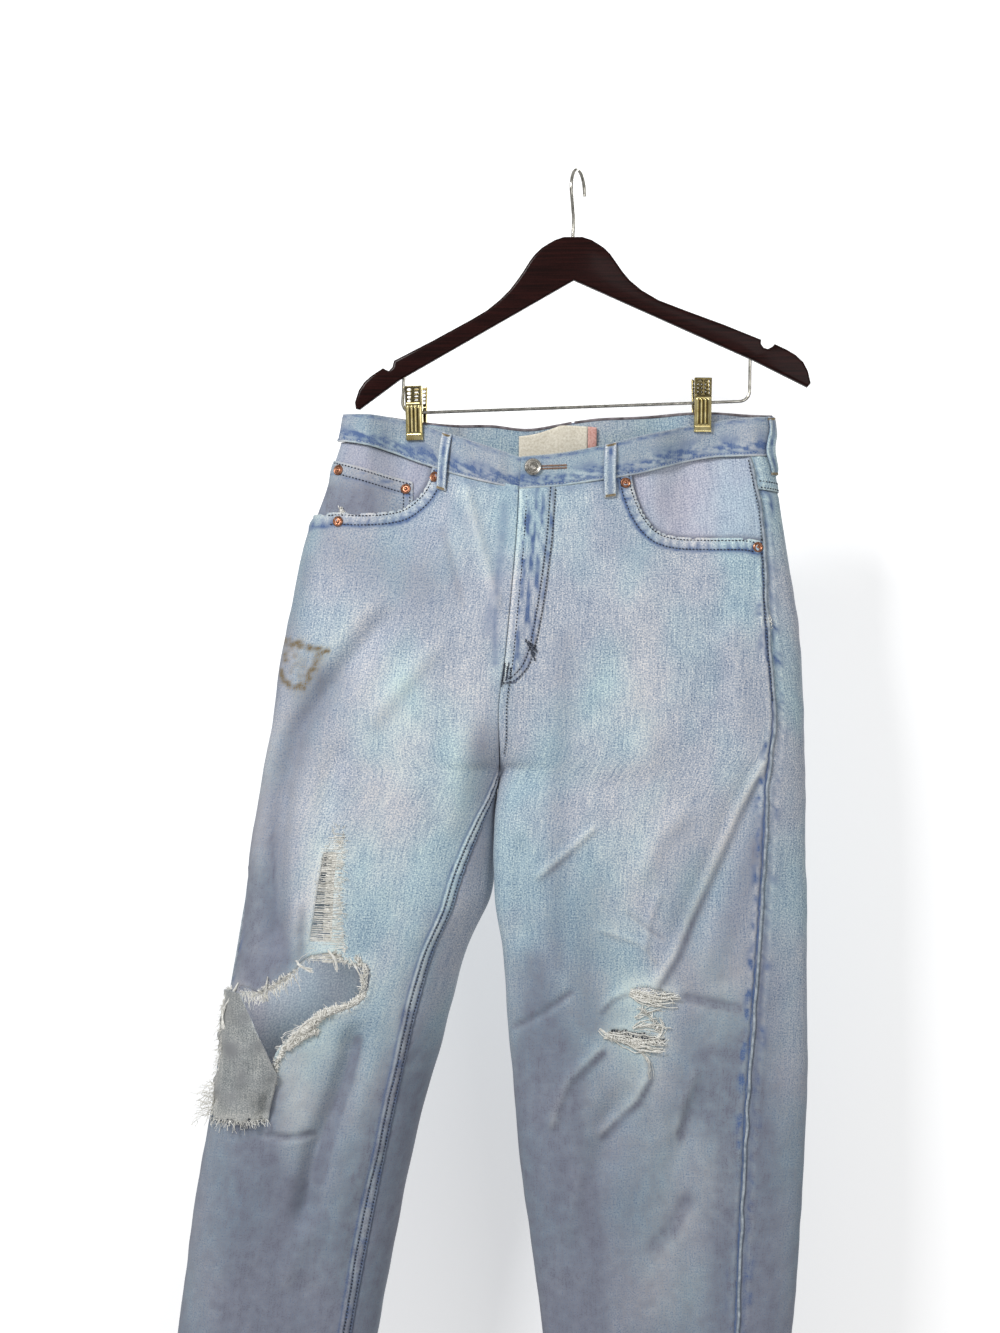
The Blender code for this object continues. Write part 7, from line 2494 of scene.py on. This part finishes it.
@dataclass
class Clip:
    """One trouser clip: two stamped plates with slots and flutes that grip the band, and a wound spring."""

    kit: Kit
    half: Half
    width: float = 17.0
    height: float = 53.0
    flange: float = 4.6  # depth of its bent sides
    sheet: float = 0.9
    splay: float = math.radians(4.9)  # how far each plate leans from upright
    grip: float = 3.1  # from the middle of the band to a jaw
    corner: float = 1.6
    step: float = 0.55
    flute_pitch: float = 3.9
    tooth_pitch: float = 2.2
    slot_pitch: float = 3.7
    slot_size: tuple[float, float] = (2.4, 1.25)
    coil_radius: float = 4.3
    coil_length: float = 14.0
    coil_turns: float = 9.5
    coil_wire: float = 0.65

    def turned(self, across: Array, y: Array) -> tuple[Array, Array]:
        """Turns points (x, y) with the pinch, and moves them to it."""
        pinch = PINCHES[self.half]
        cos, sin = math.cos(-pinch.turn), math.sin(-pinch.turn)
        return across * cos - y * sin + pinch.x, across * sin + y * cos

    def place(self, points: Array, side: int) -> Array:
        """Stands points (across, out, up) of a plate in their place."""
        across, out, up = points[..., 0], points[..., 1], points[..., 2]
        tilt_out = out * math.cos(self.splay) + up * math.sin(self.splay)
        tilt_up = -out * math.sin(self.splay) + up * math.cos(self.splay)
        x, y = self.turned(across, side * (self.grip + tilt_out))
        return np.stack([x, y, tilt_up + PINCHES[self.half].tip_z], -1)

    def plate(self, side: int) -> Piece:
        """Builds one plate. side is -1 at the front and 1 at the back."""
        wide = self.width / 2
        flat = wide - self.corner
        turns = np.radians(np.linspace(0, 90, 5))
        edge = [(wide, out) for out in np.linspace(0.2, self.flange - self.corner, 5)[:-1]]
        edge += [(flat + self.corner * math.cos(t), self.flange - self.corner + self.corner * math.sin(t))
                 for t in turns]
        face = [(x, self.flange) for x in np.arange(flat, -flat, -self.step)[1:]]
        profile = np.array(edge + face + [(-x, out) for x, out in edge[::-1]])
        ups = np.linspace(self.height, 0, int(self.height / self.step))
        across, out = (np.broadcast_to(profile[:, i], (len(ups), len(profile))) for i in (0, 1))
        up = np.broadcast_to(ups[:, None], across.shape)
        on_face = smooth((out - self.flange + 0.8) / 0.6)
        flutes = (1 - np.cos(across * math.tau / self.flute_pitch)) / 2
        fluted = smooth((up - 6.5) / 2) * smooth((self.height - 19.5 - up) / 2) * smooth(flat - abs(across))
        relief = 1.4 * flutes * fluted - 0.9 * smooth((4.5 - up) / 3) + 0.35 * bell(up, 5.2, 0.8)
        relief += 0.5 * bell(up, self.height - 18, 0.9)
        toothed = np.sin(across * math.tau / self.tooth_pitch)
        teeth = 0.35 * toothed * smooth((1.6 - up) / 1.2)
        grid = np.stack([across, out + relief * on_face, up + teeth], -1)
        keep = np.ones(across.shape, bool)
        snapped = np.zeros(across.shape, bool)
        for row in range(4):
            for column in (-1, 1):
                x0, up0 = column * self.slot_pitch, self.height - 3.6 - row * self.slot_pitch
                aside, above = (across - x0) / self.slot_size[0], (up - up0) / self.slot_size[1]
                reach = (abs(aside) ** 3 + abs(above) ** 3) ** (1 / 3)
                move = (abs(reach - 1) < 0.27) & (on_face > 0.9)
                shift = np.where(move, 1 / np.maximum(reach, 0.05), 1.0)
                grid[..., 0] = x0 + (grid[..., 0] - x0) * shift
                grid[..., 2] = up0 + (grid[..., 2] - up0) * shift
                keep &= (reach > 0.73) | (on_face < 0.9)
                snapped |= move
        points = self.place(grid, side)
        # The face is painted darker in the flutes' troughs, round the slots, over its top 18.6 mm, along two
        # lines across it and between the teeth of the jaws.
        darkening = (1 - flutes) ** 1.3 * fluted + 0.4 * snapped + 0.8 * smooth((up - self.height + 18.6) / 0.8)
        darkening = darkening + 0.6 * bell(up, self.height - 18.6, 0.7) + 0.5 * bell(up, 6.4, 0.6)
        darkening = darkening + 0.6 * (0.5 - 0.5 * toothed) * smooth((2 - up) / 0.8)
        wash = np.zeros((*across.shape, 4))
        wash[..., 0] = on_face * darkening
        outward = self.place(grid + (0.0, 1.0, 0.0), side) - points
        where = "front" if side < 0 else "back"
        piece = cloth_piece(f"clip_plate_{self.half.value}_{where}", points, spread_uv(across, up),
                            [self.kit.finishes.brass], np.clip(wash, 0, 1), keep, snapped, outward, 0.0)
        add_wall(piece, self.sheet, 0)
        return dress(piece, "brass", f"clip_{self.half.value}_{where}")

    def spring(self) -> Piece:
        """Builds the spring: a wire wound round the bar, its ends held under the plates."""
        t = np.linspace(0, 1, 200)
        angle = t * self.coil_turns * math.tau
        x, y = self.turned((t - 0.5) * self.coil_length, self.coil_radius * np.cos(angle))
        slope = (BAR_RIGHT[1] - BAR_LEFT[1]) / (BAR_RIGHT[0] - BAR_LEFT[0])
        bar = BAR_LEFT[1] + slope * (PINCHES[self.half].x - BAR_LEFT[0])
        route = np.stack([x, y, bar + self.coil_radius * np.sin(angle)], -1)
        name = f"clip_spring_wire_{self.half.value}"
        piece = strands(name, [route], [self.coil_wire], self.kit.finishes.steel, 6)
        return dress(piece, "steel", f"clip_{self.half.value}_spring")

    def build(self) -> None:
        """Builds both plates and the spring."""
        for side in (-1, 1):
            self.plate(side)
        self.spring()


@dataclass
class Studio:
    """The white paper behind, the lamps and the camera. The paper's box has its half width, foot and top."""

    distance: float = 2.6
    centre: tuple[float, float] = (-0.0764, -0.485)
    view_height: float = 1.3063
    sensor_height: float = 36.0
    wall_y: float = 0.2
    paper_box: Spot = (3.0, -3.0, 2.0)
    paper: str = "#f4f4f4"
    glow: float = 0.38

    def backdrop(self) -> Material:
        """Matt white paper, lit so that it reads as pure white and keeps soft shadows, clear from behind."""
        made, tree, shader = new_material("white_paper", self.paper)
        plug(tree, shader, {"Base Color": linear(self.paper), "Roughness": 1.0, "Specular IOR Level": 0.0,
                            "Emission Color": WHITE, "Emission Strength": self.glow})
        facing = add_node(tree, "ShaderNodeNewGeometry").outputs["Backfacing"]
        clear = add_node(tree, "ShaderNodeBsdfTransparent").outputs[0]
        mix = add_node(tree, "ShaderNodeMixShader", {0: facing, 1: shader.outputs[0], 2: clear})
        plug(tree, tree.nodes["Material Output"], {"Surface": mix.outputs[0]})
        return made

    def wall(self) -> Piece:
        """Hangs the paper: one flat sheet behind the garment."""
        bm = bmesh.new()
        x, low, high = self.paper_box
        corners = ((-x, low), (x, low), (x, high), (-x, high))
        bm.faces.new([bm.verts.new((across, self.wall_y, up)) for across, up in corners])
        mesh = as_mesh("paper_backdrop", bm)
        mesh.materials.append(self.backdrop())
        made = link("paper_backdrop", mesh)
        made.visible_shadow = False
        made.visible_diffuse = False
        made.visible_glossy = False
        made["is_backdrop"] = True
        return made

    def lamp(self, name: str, at: Spot, size: float, power: float) -> None:
        """Hangs a square lamp that looks at the middle of the garment."""
        light = bpy.data.lights.new(name, "AREA")
        light.size = size
        light.energy = power
        made = link(name, light)
        made.location = at
        target = Vector((self.centre[0], 0, self.centre[1]))
        made.rotation_euler = (target - Vector(at)).to_track_quat("-Z", "Y").to_euler()

    def glow_inside(self, name: str, at: Spot, power: float) -> None:
        """Hangs a soft small light inside a torn leg, for the daylight that the paper throws in."""
        light = bpy.data.lights.new(name, "POINT")
        light.energy = power
        light.shadow_soft_size = 0.015
        made = link(name, light)
        made.location = at
        made.visible_camera = False

    def build(self) -> None:
        """Builds the studio."""
        scene = bpy.context.scene
        scene.view_settings.view_transform = "Standard"
        self.wall()
        world = bpy.data.worlds.new("studio")
        world.use_nodes = True
        scene.world = world
        tree = world.node_tree
        path = add_node(tree, "ShaderNodeLightPath").outputs
        seen = maths(tree, "MAXIMUM", path["Is Camera Ray"], path["Is Transmission Ray"])
        strength = add_node(tree, "ShaderNodeMapRange", {"Value": seen, "To Min": 0.42, "To Max": 1.0})
        plug(tree, tree.nodes["Background"], {"Color": WHITE, "Strength": strength.outputs[0]})
        self.lamp("key", (-1.5, -2.0, 1.0), 0.8, 56.0)
        self.lamp("fill", (1.2, -2.6, -0.2), 1.8, 16.0)
        self.lamp("back", (0.6, 2.2, 0.5), 1.8, 34.0)
        self.glow_inside("right_knee_glow", (-0.27, -0.004, -0.80), 0.12)
        self.glow_inside("left_knee_glow", (0.065, -0.004, -0.80), 0.035)
        camera = bpy.data.cameras.new("camera")
        camera.sensor_fit = "VERTICAL"
        camera.sensor_height = self.sensor_height
        camera.sensor_width = 0.75 * self.sensor_height
        camera.lens = self.sensor_height * self.distance / self.view_height
        made = link("camera", camera)
        made.location = (self.centre[0], -self.distance, self.centre[1])
        made.rotation_euler = (math.radians(90), 0, 0)
        scene.camera = made


def corners() -> list[list[float]]:
    """The shown object's lowest and highest corner, as plain lists."""
    return [[float(value) for value in corner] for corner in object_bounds()]


def main() -> None:
    """Dresses the frame: every piece of the jeans, then the hanger, then the studio."""
    logging.basicConfig(level=logging.INFO, format="%(message)s")
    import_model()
    kit = Kit(make_forms(), Finishes())
    panels, band, fly, pockets = Panels(kit), Waistband(kit), Fly(kit), Pockets(kit)
    loops, hems, trims = BeltLoops(kit), Hems(kit), Trims(kit)
    panels.build()
    band.build()
    band.worn_edge()
    fly.build()
    pockets.build()
    loops.build()
    hems.build()
    Label(kit).build()
    flap = TornFlap(kit)
    flap.build()
    flap.fringes()
    fray_right_knee(kit)
    fray_left_knee(kit)
    fray_small(kit)
    trims.build()
    trims.buttonhole()
    pale = Stitching("pale_seam_stitches", kit.finishes.thread)
    dark = Stitching("dark_seam_stitches", kit.finishes.dark_thread, length=2.7, width=1.5, height=0.8)
    for rows, sewn in ((pale, (band, hems)), (dark, (panels, fly, pockets))):
        for piece in sewn:
            piece.sew(rows)
        dress(rows.build(), "denim")
    bars = Stitching("bartack_stitches", kit.finishes.tan_thread, 1.1, 1.5, 0.9, 0.6)
    loops.sew(bars)
    dress(bars.build(), "denim")
    hanger = Hanger(kit)
    hanger.wood()
    hanger.hook()
    hanger.bar()
    for half in Half:
        Clip(kit, half).build()
    Studio().build()


if __name__ == "__main__":
    main()
